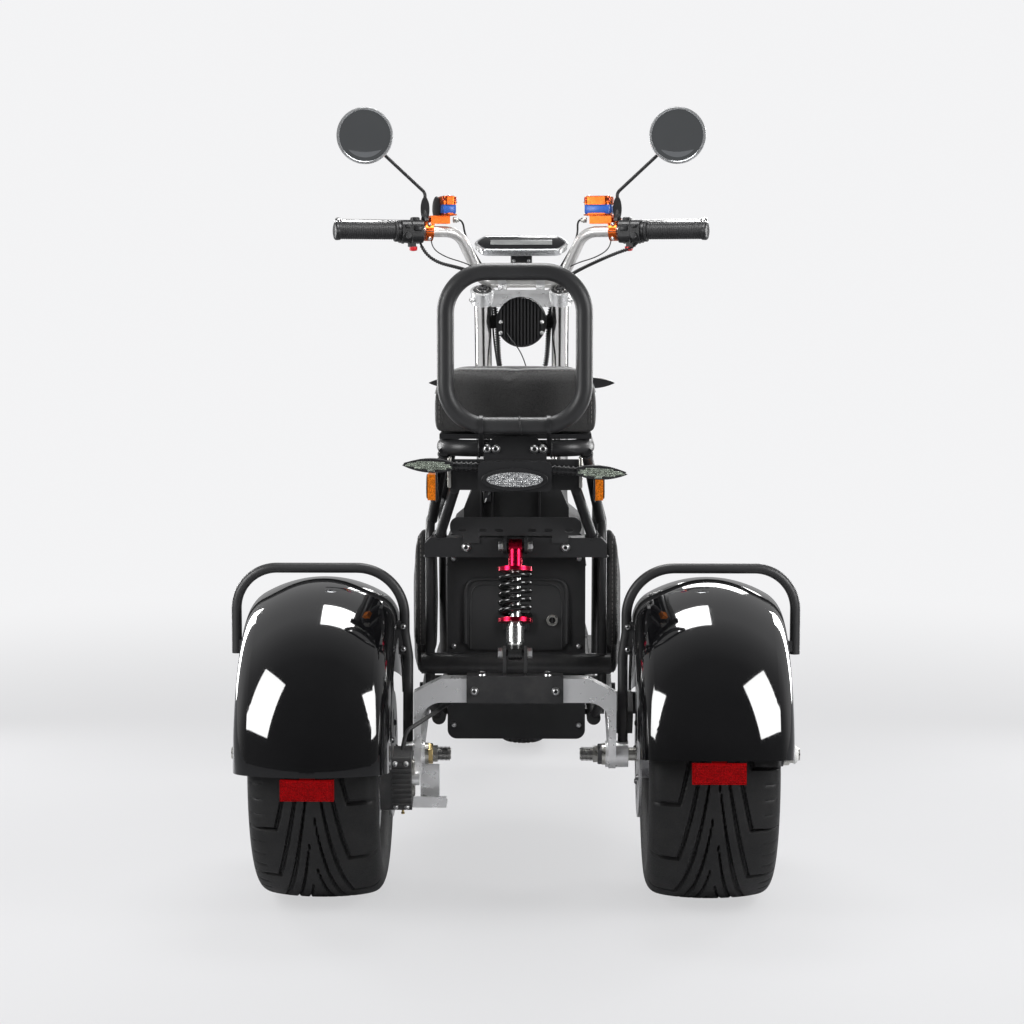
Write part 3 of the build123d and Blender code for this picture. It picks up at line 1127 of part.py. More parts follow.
def plate_holder():
    """Sheet above the beam with a row of slots, rounded corners and two tabs down its face."""
    low, high = HOLDER_Z
    sheet = Pos(0, (low + high) / 2) * RectangleRounded(2 * HOLDER_HALF, high - low, HOLDER_CORNER)
    tab_low = BEAM_TOP - HOLDER_TAB_DROP
    tab_height = low + HOLDER_CORNER - tab_low
    tabs = [
        Pos(x, tab_low + tab_height / 2) * Rectangle(HOLDER_TAB_WIDTH, tab_height)
        for x in (-HOLDER_TAB_X, HOLDER_TAB_X)
    ]
    slots = [Pos(side * x, SLOT_Z) * SlotOverall(*SLOT_SIZE) for x in SLOT_X for side in (-1, 1)]
    return rear_plate((sheet + tabs) - slots, (BEAM_REAR_Y - HOLDER_THICKNESS, BEAM_REAR_Y))


# ================================================================ seat
def seat_pan():
    """Plastic base of the seat with its hinge knuckle."""
    pan = block(
        (-SEAT_PAN_HALF_WIDTH, SEAT_PAN_HALF_WIDTH), (SEAT_REAR_Y + 12, SEAT_HINGE_Y + 4),
        (SEAT_PAN_Z, SEAT_BASE_Z),
    )
    half = SEAT_HINGE_LUG_X[0] - KNUCKLE_GAP
    hinge = (SEAT_HINGE_Y, SEAT_HINGE_Z)
    knuckle = side_plate(link(hinge, KNUCKLE_RADIUS, (SEAT_HINGE_Y - 2, SEAT_PAN_Z + 2), 6), (-half, half))
    return pan + knuckle - x_cylinder(SEAT_HINGE_PIN_RADIUS + RUNNING_CLEARANCE, (-half, half), hinge)


def seat_cushion():
    """Padded saddle with a raised back: a side profile cut to a round-shouldered front profile."""
    base, rear, front = SEAT_BASE_Z, SEAT_REAR_Y, SEAT_FRONT_Y
    back_foot = (rear, SEAT_BACK_TOP - 30)
    back_end = (rear + 70, SEAT_BACK_TOP - 22)
    dip_end = (front - 85, SEAT_NOSE_TOP)
    nose = (front, base + 14)
    side = make_face([
        Line((rear, base), back_foot),
        ThreePointArc(back_foot, (rear + 26, SEAT_BACK_TOP), back_end),
        ThreePointArc(back_end, ((back_end[0] + dip_end[0]) / 2, SEAT_DIP_TOP), dip_end),
        ThreePointArc(dip_end, (front - 15, SEAT_NOSE_TOP - 16), nose),
        Line(nose, (front, base)),
        Line((front, base), (rear, base)),
    ])
    cushion = side_plate(side, (-SEAT_HALF_WIDTH, SEAT_HALF_WIDTH))
    height = SEAT_BACK_TOP - base
    view = Plane(origin=(0, front + 10, base), x_dir=(1, 0, 0), z_dir=(0, -1, 0))
    arch = Pos(0, height / 2) * RectangleRounded(2 * SEAT_HALF_WIDTH, height, SEAT_LOWER_EDGE)
    arch &= Pos(0, height / 2 - SEAT_SHOULDER) * RectangleRounded(
        2 * SEAT_HALF_WIDTH, height + 2 * SEAT_SHOULDER, SEAT_SHOULDER
    )
    return cushion & extrude(view * arch, front - rear + 20)


# ================================================================ fork and front end
def leg(radius, low, high):
    """Right fork leg's cylinder between two heights along the steering axis."""
    return Pos(LEG_X, FORK_OFFSET, low) * extrude(Circle(radius), high - low)


def clamp_arch():
    """Upright web between the fork tubes, arched over the lamp, with a rib along the arch and the top."""
    low, high = TOP_ARCH_Z
    web = Pos(0, (low + high) / 2) * Rectangle(2 * TOP_ARCH_HALF, high - low)
    rib = web & Circle(HEADLIGHT_RADIUS + LAMP_GAP + TOP_ARCH_RIB)
    rib += Pos(0, high - TOP_ARCH_RIB / 2) * Rectangle(2 * TOP_ARCH_HALF, TOP_ARCH_RIB)
    near, recess, far = [TOP_CLAMP.Y + ahead for ahead in TOP_ARCH_Y]
    height = Pos(0, LAMP_REAR.Z)
    return rear_plate(height * rib, (near, far)) + rear_plate(height * web, (recess, far))


def top_clamp():
    """Arched casting across the fork tubes with a ring round each and the bar's risers."""
    low = FORK_TUBE_TOP - TOP_CLAMP_THICKNESS
    rings = [extrude(Pos(x, FORK_OFFSET, low) * Circle(TOP_RING_RADIUS), TOP_CLAMP_THICKNESS)
             for x in (-LEG_X, LEG_X)]
    roof = FORK_TUBE_TOP + BAR_LIFT + RISER_ROOF
    riser = block(RISER_X, (BAR_AHEAD - RISER_HALF_DEPTH, BAR_AHEAD + RISER_HALF_DEPTH), (low, roof))
    clamp = STEERING.location * (Part() + [*rings, riser, mirrored(riser)])
    clamp += clamp_arch()
    lamp_room = rod(
        LAMP_REAR - Vector(0, HEADLIGHT_LENGTH, 0), LAMP_REAR + Vector(0, HEADLIGHT_LENGTH, 0),
        HEADLIGHT_RADIUS + LAMP_GAP,
    )
    bar_room = x_cylinder(BAR_RADIUS, (-TOP_ARCH_HALF, TOP_ARCH_HALF), (BAR_CENTRE.Y, BAR_CENTRE.Z))
    return clamp - lamp_room - bar_room


def fork_clamps():
    """Lower clamp with the steering stem, upper clamp, and the arched top clamp."""
    rings = [Pos(LEG_X, FORK_OFFSET) * Circle(CLAMP_RING_RADIUS), Circle(CLAMP_RING_RADIUS)]
    rings.append(Pos(-LEG_X, FORK_OFFSET) * Circle(CLAMP_RING_RADIUS))
    outline = make_hull((Sketch() + rings).edges())
    plates = [
        Pos(0, 0, low) * extrude(outline, high - low) for low, high in (LOWER_CLAMP, UPPER_CLAMP)
    ]
    stem_length = UPPER_CLAMP[1] + FORK_CAP_HEIGHT - LOWER_CLAMP[0]
    stem = Pos(0, 0, LOWER_CLAMP[0]) * extrude(Circle(STEM_RADIUS), stem_length)
    lower = STEERING.location * (Part() + [*plates, stem])
    legs = both_sides(leg(FORK_TUBE_RADIUS, SLIDER_TOP, FORK_TUBE_TOP + BAR_LIFT))
    return (lower + top_clamp()) - STEERING.location * legs


def fork_tubes():
    """Pair of bright fork tubes with caps."""
    tube = leg(FORK_TUBE_RADIUS, SLIDER_TOP, FORK_TUBE_TOP)
    tube += leg(FORK_CAP_RADIUS, FORK_TUBE_TOP, FORK_TUBE_TOP + FORK_CAP_HEIGHT)
    return STEERING.location * both_sides(tube)


def fork_sliders():
    """Pair of lower fork legs with axle bosses."""
    inner, outer = LEG_X - SLIDER_RADIUS, LEG_X + SLIDER_RADIUS + 2
    slider = leg(SLIDER_RADIUS, -SLIDER_FOOT, SLIDER_TOP)
    slider += x_cylinder(SLIDER_RADIUS, (inner, outer), (FORK_OFFSET, 0))
    slider -= x_cylinder(FRONT_AXLE_RADIUS, (inner - SLIDER_RADIUS, outer + 1), (FORK_OFFSET, 0))
    return STEERING.location * both_sides(slider)


def front_axle():
    """Front wheel spindle with a nut at each end."""
    face = LEG_X + SLIDER_RADIUS + 2
    nut_end = face + FRONT_NUT_LENGTH
    nut = x_cylinder(FRONT_NUT_RADIUS, (face, nut_end), FRONT_CENTRE)
    spindle = x_cylinder(FRONT_AXLE_RADIUS, (-nut_end - 4, nut_end + 4), FRONT_CENTRE)
    return Part() + [spindle, nut, mirrored(nut)]


def front_caliper():
    """Caliper behind the left fork leg, slotted for the disc, on an arm to the leg."""
    length, height, outer_cheek, inner_cheek = FRONT_CALIPER
    y_mid = FRONT_AXLE.Y - FRONT_CALIPER_SHARE * FRONT_DISC_RADIUS
    z_mid = FRONT_AXLE.Z + FRONT_CALIPER_RISE
    y_range, z_range = (y_mid - length / 2, y_mid + length / 2), (z_mid - height / 2, z_mid + height / 2)
    half = DISC_THICKNESS / 2 + DISC_GAP
    body = block((-FRONT_DISC_X - outer_cheek, -FRONT_DISC_X + half + inner_cheek), y_range, z_range)
    slot = block(
        (-FRONT_DISC_X - half, -FRONT_DISC_X + half),
        (FRONT_AXLE.Y - FRONT_DISC_RADIUS - DISC_GAP, y_range[1]), z_range,
    )
    arm_half, arm_thickness = FRONT_CALIPER_ARM
    arm_head = (FRONT_AXLE.Y - FORK_OFFSET, z_mid + FORK_OFFSET)
    arm = side_plate(
        link((y_mid, z_mid), arm_half, arm_head, arm_half),
        (-FRONT_DISC_X - outer_cheek, -FRONT_DISC_X - outer_cheek + arm_thickness),
    )
    return ((body - slot) + arm) - fork_sliders()


def front_guard():
    """Narrow mudguard over the front tyre with its stays to the fork legs."""
    radii = (
        FRONT_GUARD_RADIUS, FRONT_GUARD_SKIRT_RADIUS, FRONT_GUARD_CROWN_RADIUS, FRONT_GUARD_SHOULDER_RADIUS,
    )
    shell = mudguard(
        FRONT_GUARD_HALF_WIDTH, radii, FRONT_GUARD_WALL, FRONT_GUARD_FRONT_ANGLE, FRONT_GUARD_REAR_ANGLE
    )
    width = (FRONT_GUARD_HALF_WIDTH, FRONT_GUARD_HALF_WIDTH + FRONT_STAY_THICKNESS)
    stay = Part() + [
        side_plate(link(FRONT_STAY_FOOT, FRONT_STAY_RADIUS, head, FRONT_STAY_RADIUS), width)
        for head in FRONT_STAY_HEADS
    ]
    guard = Pos(0, *FRONT_CENTRE) * (shell + stay + mirrored(stay))
    return guard - fork_sliders()


# ================================================================ handlebar and controls
def bar_corners():
    """Corners of the right half of the handlebar: middle, start of the rise, its top, and the end."""
    middle = BAR_CENTRE
    return [
        middle,
        middle + Vector(BAR_FLAT_HALF, 0, 0),
        middle + Vector(BAR_RISE_X, -BAR_RISE_BACK, BAR_RISE_UP),
        middle + Vector(BAR_END_X, -BAR_END_BACK, BAR_RISE_UP),
    ]


def grip_plane(x):
    """Frame on the right grip's axis where it crosses a given X: X ahead, Y up, Z outwards."""
    start, end = bar_corners()[2:]
    direction = (end - start).normalized()
    origin = start + direction * ((x - start.X) / direction.X)
    return Plane(origin=origin, x_dir=Vector(0, 0, 1).cross(direction), z_dir=direction)


def handlebar():
    """High bar with swept-back ends."""
    half = bent_tube(bar_corners(), BAR_RADIUS, list(BAR_BENDS))
    return half + mirrored(half)


def grips():
    """Pair of rubber grips over the ends of the bar, each with a round end."""
    rise, length = GRIP_FLANGE
    plane = grip_plane(BAR_END_X - GRIP_LENGTH)
    grip = extrude(Circle(GRIP_RADIUS) - Circle(BAR_RADIUS), GRIP_LENGTH)
    grip += Pos(0, 0, GRIP_LENGTH) * extrude(Circle(GRIP_RADIUS + rise), length)
    return both_sides((plane.location * grip) - handlebar())


def switch_housings():
    """Pair of control housings inboard of the grips, each with a button below."""
    depth, height, length = SWITCH_SIZE
    collar_radius, collar_length = SWITCH_COLLAR
    body = extrude(RectangleRounded(depth, height, SWITCH_CORNER), length)
    body += Pos(0, 0, length) * extrude(Circle(collar_radius), collar_length)
    button_depth, button_height, button_length = BUTTON_SIZE
    button_place = Pos(-depth * 0.2, -height / 2, length / 2)
    button = button_place * Box(button_depth, 2 * button_height, button_length)
    bore = extrude(Circle(BAR_RADIUS), length + collar_length)
    return both_sides(grip_plane(SWITCH_X).location * ((body + button) - bore))


def master_frame():
    """Frame above the inner end of the right control cluster, level with the bar."""
    return grip_plane(MASTER_X)


def brake_master(tank_size):
    """Right clamp with its master cylinder, neck to the lever, reservoir and cap."""
    radius, width = MASTER_CLAMP
    along, across, inboard = tank_size
    clamp = extrude(Circle(radius), width)
    body_top = MASTER_LIFT + MASTER_BODY_HEIGHT
    body_end = -inboard - along + MASTER_CLAMP[1] / 2
    body = block(MASTER_BODY_DEPTH, (MASTER_LIFT, body_top), (body_end, width / 4))
    neck_height = [MASTER_LIFT + rise for rise in MASTER_NECK_HEIGHT]
    neck = block((0, LEVER_AHEAD[0] + MASTER_NECK_BEYOND), neck_height, MASTER_NECK_ALONG)
    tank_middle = -inboard - along / 2
    tank_top = body_top + TANK_HEIGHT
    tank = Pos(-TANK_SETBACK, body_top, tank_middle) * upright_pad(across, along, TANK_HEIGHT)
    overhang = 2 * TANK_CAP_OVERHANG
    lid = upright_pad(across + overhang, along + overhang, TANK_CAP_HEIGHT)
    cap = Pos(-TANK_SETBACK, tank_top, tank_middle) * lid
    bore = Pos(0, 0, -2 * width) * extrude(Circle(BAR_RADIUS), 4 * width)
    return grip_plane(MASTER_X).location * ((Part() + [clamp, body, neck, tank, cap]) - bore)


def upright_pad(across, along, height):
    """Rounded block standing on the local X-Z plane."""
    plane = Plane(origin=(0, 0, 0), x_dir=(1, 0, 0), z_dir=(0, 1, 0))
    return extrude(plane * RectangleRounded(across, along, min(across, along) * 0.3), height)


def brake_masters():
    """Master cylinders of both brakes; the left reservoir sits across the bar."""
    pair = Part() + [brake_master(RIGHT_TANK), mirrored(brake_master(LEFT_TANK))]
    return pair - handlebar()


def brake_levers():
    """Pair of levers ahead of the grips, ending in balls."""
    pivot_ahead, knee_ahead, tip_ahead = LEVER_AHEAD
    knee_out = LEVER_KNEE_X - MASTER_X
    tip_out = BAR_END_X - MASTER_X
    lever = bent_tube(
        [
            (pivot_ahead, LEVER_LIFT, 0), (knee_ahead, LEVER_LIFT, knee_out),
            (tip_ahead, LEVER_LIFT, tip_out),
        ],
        LEVER_RADIUS, [LEVER_BEND],
    )
    lever += Pos(tip_ahead, LEVER_LIFT, tip_out) * Sphere(LEVER_BALL)
    return both_sides(grip_plane(MASTER_X).location * lever) - brake_masters()


def mirror_plane():
    """Frame at the centre of the right mirror, Z out of the reflecting face, towards the rider."""
    return Plane(origin=(MIRROR_X, MIRROR_Y, MIRROR_Z), x_dir=(1, 0, 0), z_dir=(-0.12, -1, 0.02))


def mirrors():
    """Pair of round mirror heads on bent stems, each with an oval blade at its foot."""
    base = grip_plane(MASTER_X)
    foot = base.from_local_coords(Vector(0, STEM_FOOT_LIFT, STEM_OUTBOARD))
    knee = base.from_local_coords(Vector(0, STEM_KNEE_LIFT, STEM_OUTBOARD))
    head_back = mirror_plane().from_local_coords(Vector(0, 0, -MIRROR_DEPTH))
    stem = bent_tube([foot, knee, head_back], STEM_WIRE_RADIUS, [STEM_BEND])
    width, height, thickness = BLADE_SIZE
    blade_centre = base.from_local_coords(Vector(0, STEM_FOOT_LIFT + height / 2, STEM_OUTBOARD))
    blade_plane = Plane(origin=blade_centre, x_dir=(1, 0, 0), z_dir=(0, -1, 0))
    blade = extrude(blade_plane * Ellipse(width / 2, height / 2), thickness / 2, both=True)
    head = mirror_plane().location * extrude(Circle(MIRROR_RADIUS), -MIRROR_DEPTH)
    return both_sides(Part() + [stem, blade, head]) - brake_masters()


def mirror_glasses():
    """Pair of mirror glasses on the heads."""
    return both_sides(mirror_plane().location * extrude(Circle(MIRROR_RADIUS - MIRROR_RIM), MIRROR_GLASS))


def display():
    """Six-sided instrument panel, tilted towards the rider, on its post."""
    tilt = math.radians(DISPLAY_TILT)
    plane = Plane(origin=DISPLAY_CENTRE, x_dir=(1, 0, 0), z_dir=(0, -math.sin(tilt), math.cos(tilt)))
    wide, narrow, half_height = DISPLAY_HALF
    outline = make_face(FilletPolyline(
        (-wide, 0), (-narrow, half_height), (narrow, half_height), (wide, 0), (narrow, -half_height),
        (-narrow, -half_height), radius=[DISPLAY_CORNER] * 6, close=True,
    ))
    panel = plane.location * extrude(outline, -DISPLAY_DEPTH)
    half, thickness, ahead = DISPLAY_POST
    post_y = DISPLAY_CENTRE.Y + ahead
    post_top = DISPLAY_CENTRE.Z - DISPLAY_DEPTH / 2
    post = block((-half, half), (post_y, post_y + thickness), (BAR_CENTRE.Z, post_top))
    saddle_z = (BAR_CENTRE.Z, BAR_CENTRE.Z + BAR_RADIUS + DISPLAY_SADDLE)
    saddle = block((-half, half), (post_y, BAR_CENTRE.Y + BAR_RADIUS), saddle_z)
    return (panel + post + saddle) - handlebar()


def headlight():
    """Round lamp between the fork legs with vertical cooling fins behind and its side brackets."""
    start = Plane(origin=LAMP_REAR, x_dir=(1, 0, 0), z_dir=(0, 1, 0))
    rim_rise, rim_width, rim_length = HEADLIGHT_BEZEL
    shell_start = HEADLIGHT_FIN_DEPTH - 2
    shell_length = HEADLIGHT_LENGTH - shell_start - rim_length
    body = extrude(start.offset(shell_start) * Circle(HEADLIGHT_RADIUS), shell_length)
    ring = Circle(HEADLIGHT_RADIUS + rim_rise) - Circle(HEADLIGHT_RADIUS - rim_width)
    body += extrude(start.offset(HEADLIGHT_LENGTH - rim_length) * ring, rim_length)
    round_bar = extrude(start * Circle(HEADLIGHT_RADIUS), HEADLIGHT_FIN_DEPTH)
    half_thickness, pitch = HEADLIGHT_FIN
    count = int(HEADLIGHT_RADIUS // pitch)
    y_range = (LAMP_REAR.Y, LAMP_REAR.Y + HEADLIGHT_FIN_DEPTH)
    z_range = (LAMP_REAR.Z - HEADLIGHT_RADIUS, LAMP_REAR.Z + HEADLIGHT_RADIUS)
    fins = [
        block((i * pitch - half_thickness, i * pitch + half_thickness), y_range, z_range) & round_bar
        for i in range(-count + 1, count)
    ]
    thickness, height = LAMP_TAB_SIZE
    tab_y = LAMP_REAR.Y + LAMP_TAB_Y
    tab_z = (LAMP_REAR.Z - height / 2, LAMP_REAR.Z + height / 2)
    tab = block((HEADLIGHT_RADIUS - rim_width, LEG_X), (tab_y, tab_y + thickness), tab_z)
    lamp = Part() + [body, *fins, tab, mirrored(tab)]
    return lamp - STEERING.location * both_sides(leg(FORK_TUBE_RADIUS, SLIDER_TOP, FORK_TUBE_TOP))


def headlight_lens():
    """Lens at the front of the lamp."""
    rim_width, rim_length = HEADLIGHT_BEZEL[1:]
    start = Plane(origin=LAMP_REAR, x_dir=(1, 0, 0), z_dir=(0, 1, 0)).offset(HEADLIGHT_LENGTH - rim_length)
    return extrude(start * Circle(HEADLIGHT_RADIUS - rim_width), rim_length * 0.6)


def front_signals():
    """Pair of signals on stalks at the sides of the fork legs."""
    root = STEERING.from_local_coords(Vector(LEG_X + FORK_TUBE_RADIUS, FORK_OFFSET, FRONT_SIGNAL_HEIGHT))
    return both_sides(signal(root, FRONT_SIGNAL_STALK, 0.0))


def control_cables():
    """Wrapped cables from each control housing, behind the lamp, to the upper clamp."""
    cable = bent_tube(
        [
            (222, 886, 1108), (210, 868, 1080), (172, 862, 1058), (120, 884, 1038), (76, 918, 1006),
            (54, 930, 955), (50, 946, 900), (46, 978, 850), (40, 1008, 806),
        ],
        CABLE_RADIUS, [18.0, 36.0, 60.0, 50.0, 50.0, 80.0, 80.0],
    )
    return both_sides(cable)


# ================================================================ assembly
def build_nodes():
    """Every node by name."""
    nodes = {
        "frame_rails": frame_rails(),
        "frame_sides": frame_sides() - frame_rails() - seat_loop(),
        "seat_loop": seat_loop(),
        "floor_board": floor_board() - frame_sides() - frame_rails(),
        "battery_case": battery_case(),
        "side_cover_right": side_cover(),
        "side_cover_left": mirrored(side_cover()),
        "rear_bracket": rear_bracket(),
        "grab_bar": grab_bar(),
        "tail_lamp": tail_lamp(),
        "tail_lamp_lens": tail_lamp_lens(),
        "rear_signals": rear_signals(),
        "side_reflectors": side_reflectors(),
        "plate_holder": plate_holder(),
        "swing_arm": swing_arm(),
        "swing_arm_bracket": swing_arm_bracket(),
        "shock_absorber": shock_absorber(),
        "shock_rod": shock_rod(),
        "shock_spring": shock_spring(),
        "rear_axles": both_sides(rear_axle()),
        "rear_calipers": rear_calipers(),
        "mudguard_right": rear_guard(RIGHT_GUARD_TURN),
        "mudguard_left": mirrored(rear_guard(0)),
        "guard_hoop_right": guard_hoop(),
        "guard_hoop_left": mirrored(guard_hoop()),
        "rear_reflectors": Part() + [rear_reflector(RIGHT_GUARD_TURN), mirrored(rear_reflector(0))],
        "seat_pan": seat_pan(),
        "seat_cushion": seat_cushion(),
        "fork_clamps": fork_clamps(),
        "fork_tubes": fork_tubes(),
        "fork_sliders": fork_sliders(),
        "front_axle": front_axle(),
        "front_caliper": front_caliper(),
        "front_mudguard": front_guard(),
        "handlebar": handlebar(),
        "grips": grips(),
        "switch_housings": switch_housings(),
        "brake_masters": brake_masters(),
        "brake_levers": brake_levers(),
        "mirrors": mirrors(),
        "mirror_glasses": mirror_glasses(),
        "display": display(),
        "headlight": headlight(),
        "headlight_lens": headlight_lens(),
        "front_signals": front_signals(),
        "control_cables": control_cables() - switch_housings(),
    }
    for piece, shape in rear_wheel().items():
        nodes[f"rear_{piece}_right"] = shape
        nodes[f"rear_{piece}_left"] = mirrored(shape)
    for piece, shape in front_wheel().items():
        nodes[f"front_{piece}"] = shape
    return nodes


NODES = build_nodes()
FOOTPRINT = Compound(children=[Compound(shape.wrapped) for shape in NODES.values()]).bounding_box()
SHIFT = Pos(0, -FOOTPRINT.center().Y, 0)
os.makedirs("parts", exist_ok=True)
for name, shape in NODES.items():
    export_step(SHIFT * shape, f"parts/{name}.step")
print("shift along Y:", round(-FOOTPRINT.center().Y, 4))
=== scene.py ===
# %% [markdown]
# # A three-wheeled electric scooter, dressed for its portrait
#
# The solid model comes from a CAD program and is already true to size. Here it gets what makes it look
# real: rubber with a tread, leather that bulges between its seams, painted tubes, polished castings, bolts
# and cables. The solids are a fixed frame: we never move them. We either give one a better finish, or hide
# it and put a richer piece in exactly the same place.

# %% Load the solid model
import bpy
import json
import math
from mathutils import Matrix, Vector


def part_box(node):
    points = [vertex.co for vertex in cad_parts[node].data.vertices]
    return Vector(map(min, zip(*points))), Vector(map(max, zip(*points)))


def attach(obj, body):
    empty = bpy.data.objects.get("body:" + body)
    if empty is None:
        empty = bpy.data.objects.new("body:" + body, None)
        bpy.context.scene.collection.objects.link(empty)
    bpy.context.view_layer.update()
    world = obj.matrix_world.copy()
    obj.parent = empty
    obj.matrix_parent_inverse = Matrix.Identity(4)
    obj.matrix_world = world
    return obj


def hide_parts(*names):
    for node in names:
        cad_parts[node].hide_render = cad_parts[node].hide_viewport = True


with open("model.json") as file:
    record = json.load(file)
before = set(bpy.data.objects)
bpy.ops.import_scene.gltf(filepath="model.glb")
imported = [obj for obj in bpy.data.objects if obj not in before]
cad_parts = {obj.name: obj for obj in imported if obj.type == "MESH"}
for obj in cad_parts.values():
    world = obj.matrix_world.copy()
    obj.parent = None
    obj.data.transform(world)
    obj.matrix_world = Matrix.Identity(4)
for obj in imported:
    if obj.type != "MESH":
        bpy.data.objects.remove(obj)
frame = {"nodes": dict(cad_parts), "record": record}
bpy.ops.object.select_all(action="DESELECT")
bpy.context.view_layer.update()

# %% [markdown]
# ## One ruler for every piece
#
# Everything on a vehicle is measured from the rear axle, because that is where a workshop would hang its
# plumb line. `at` takes millimetres to the right, ahead and up from the point on the ground under the
# middle of the rear axle, and gives back metres in the model's own frame. Most pieces come in pairs, so
# `SIDES` and `BOTH` hold the sign of each side.

# %% A ruler from the rear axle
SIDES = ((-1, "left"), (1, "right"))
BOTH = (-1, 1)
hub_low, hub_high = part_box("rear_tyre_right")
AXLE_Y = (hub_low.y + hub_high.y) / 2
AXLE_Z = (hub_low.z + hub_high.z) / 2 * 1000
WHEEL_X = (hub_low.x + hub_high.x) / 2 * 1000


def at(right, ahead, up):
    """Millimetres from the ground under the rear axle to metres in the model's frame."""
    return Vector((right / 1000, ahead / 1000 + AXLE_Y, up / 1000))


def mm(size):
    """Millimetres to metres."""
    return size / 1000


front_low, front_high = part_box("front_tyre")
FRONT_Y = ((front_low.y + front_high.y) / 2 - AXLE_Y) * 1000
FRONT_Z = (front_low.z + front_high.z) / 2 * 1000
print("rear wheels", round(WHEEL_X), "mm out and", round(AXLE_Z), "up; front wheel", round(FRONT_Y), "ahead")

# %% [markdown]
# ## The camera
#
# We look from behind, from about the height of the handlebar, with a long lens. A long lens from far away
# keeps the near wheels and the far handlebar close to their true sizes, which is how a catalogue shows a
# vehicle. The camera comes early, so that every piece can be judged from the right spot as it is made.

# %% Set the camera behind the scooter
CAMERA_DOWN = math.radians(5.47)
CAMERA_ASIDE = math.radians(0.83)
bpy.ops.object.camera_add(location=at(50, -3830, 1012))
camera = bpy.context.object
camera.name = "portrait_camera"
camera.rotation_euler = (math.pi / 2 - CAMERA_DOWN, 0, CAMERA_ASIDE)
camera.data.lens = 81.46
camera.data.sensor_width = 36
camera.data.clip_end = 50
bpy.context.scene.camera = camera
print("camera at", [round(value, 2) for value in camera.location])

# %% [markdown]
# ## Small habits that keep the work tidy
#
# Edit-mode tools act on whatever is selected, so each step starts by choosing one object and clearing the
# rest. `edit_all` opens a whole piece, and `select_faces` picks faces by a rule about their place and
# direction, as the hand would pick them with a click. `settle` ends every piece the same way: its place
# goes into the mesh, its shading is smoothed up to an angle, and it gets its finish, its name and the body
# of the scooter that it moves with.

# %% Helpers for choosing, editing and finishing
finishes = {}


def only(piece):
    """Select one object and make it the active one."""
    if bpy.context.object and bpy.context.object.mode != "OBJECT":
        bpy.ops.object.mode_set(mode="OBJECT")
    bpy.ops.object.select_all(action="DESELECT")
    piece.select_set(True)
    bpy.context.view_layer.objects.active = piece
    return piece


def edit_all(piece):
    """Edit mode on one object, with everything selected."""
    only(piece)
    bpy.ops.object.mode_set(mode="EDIT")
    bpy.ops.mesh.select_all(action="SELECT")


def leave_edit(merge=0.0, inside=None):
    """Back to object mode, after merging near points and turning all faces out, or in, where asked."""
    if inside is not None:
        bpy.ops.mesh.select_all(action="SELECT")
    if merge:
        bpy.ops.mesh.remove_doubles(threshold=merge)
    if inside is not None:
        bpy.ops.mesh.normals_make_consistent(inside=inside)
    bpy.ops.object.mode_set(mode="OBJECT")


def select_faces(piece, wanted):
    """Edit mode on one object, with only the faces selected for which wanted(centre, normal) is true."""
    only(piece)
    bpy.ops.object.mode_set(mode="EDIT")
    bpy.ops.mesh.select_mode(type="FACE")
    bpy.ops.mesh.select_all(action="DESELECT")
    bpy.ops.object.mode_set(mode="OBJECT")
    for face in piece.data.polygons:
        face.select = bool(wanted(face.center, face.normal))
    bpy.ops.object.mode_set(mode="EDIT")


def apply(piece, kind, **settings):
    """Put a modifier on a piece with its settings and apply it at once."""
    modifier = piece.modifiers.new("step", kind)
    for label, value in settings.items():
        setattr(modifier, label, value)
    only(piece)
    bpy.ops.object.modifier_apply(modifier="step")
    return piece


def moved_by(piece, *steps):
    """Move a piece's mesh by matrices, the last one first."""
    whole = Matrix.Identity(4)
    for step in steps:
        whole = whole @ step
    piece.data.transform(whole)
    return piece


def join(pieces):
    """Join several objects into the first one."""
    only(pieces[0])
    for piece in pieces[1:]:
        piece.select_set(True)
    if len(pieces) > 1:
        bpy.ops.object.join()
    return pieces[0]


def dressed(piece, name, finish, body):
    """Finish, name and body for a piece."""
    piece.name = name
    piece.data.name = name
    piece.data.materials.clear()
    piece.data.materials.append(finishes[finish])
    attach(piece, body)
    return piece


def settle(piece, name, finish, body="chassis", angle=35):
    """Place goes into the mesh; smooth shading up to an angle; then finish, name and body."""
    only(piece)
    bpy.ops.object.transform_apply(location=True, rotation=True, scale=True)
    bpy.ops.object.shade_smooth_by_angle(angle=math.radians(angle))
    return dressed(piece, name, finish, body)


def turn_towards(direction):
    """Rotation that turns the Z axis towards a direction."""
    return Vector(direction).to_track_quat("Z", "Y").to_matrix().to_4x4()


def copies(pattern, spots):
    """One object holding a copy of the pattern at every spot (place, direction); the pattern goes."""
    made = []
    for place, direction in spots:
        only(pattern)
        bpy.ops.object.duplicate()
        twin = bpy.context.object
        twin.matrix_world = Matrix.Translation(place) @ turn_towards(direction) @ pattern.matrix_world
        made.append(twin)
    bpy.data.objects.remove(pattern)
    return join(made)


def put(piece, place, direction, name, finish, body="chassis", angle=35):
    """One piece made round the origin, turned towards a direction and put at a place."""
    return settle(copies(piece, [(place, direction)]), name, finish, body, angle)


def curve(name, kind, points, radii=()):
    """Curve object through control points in metres, with a radius at each point where given."""
    line = bpy.data.curves.new(name, "CURVE")
    line.dimensions = "3D"
    spline = line.splines.new(kind)
    spline.points.add(len(points) - 1)
    for knot, point in zip(spline.points, points):
        knot.co = (*point, 1)
    for knot, radius in zip(spline.points, radii):
        knot.radius = radius
    piece = bpy.data.objects.new(name, line)
    bpy.context.collection.objects.link(piece)
    return piece, line, spline


def as_mesh(piece):
    """Turn a curve object into a mesh object."""
    only(piece)
    bpy.ops.object.convert(target="MESH")
    return bpy.context.object


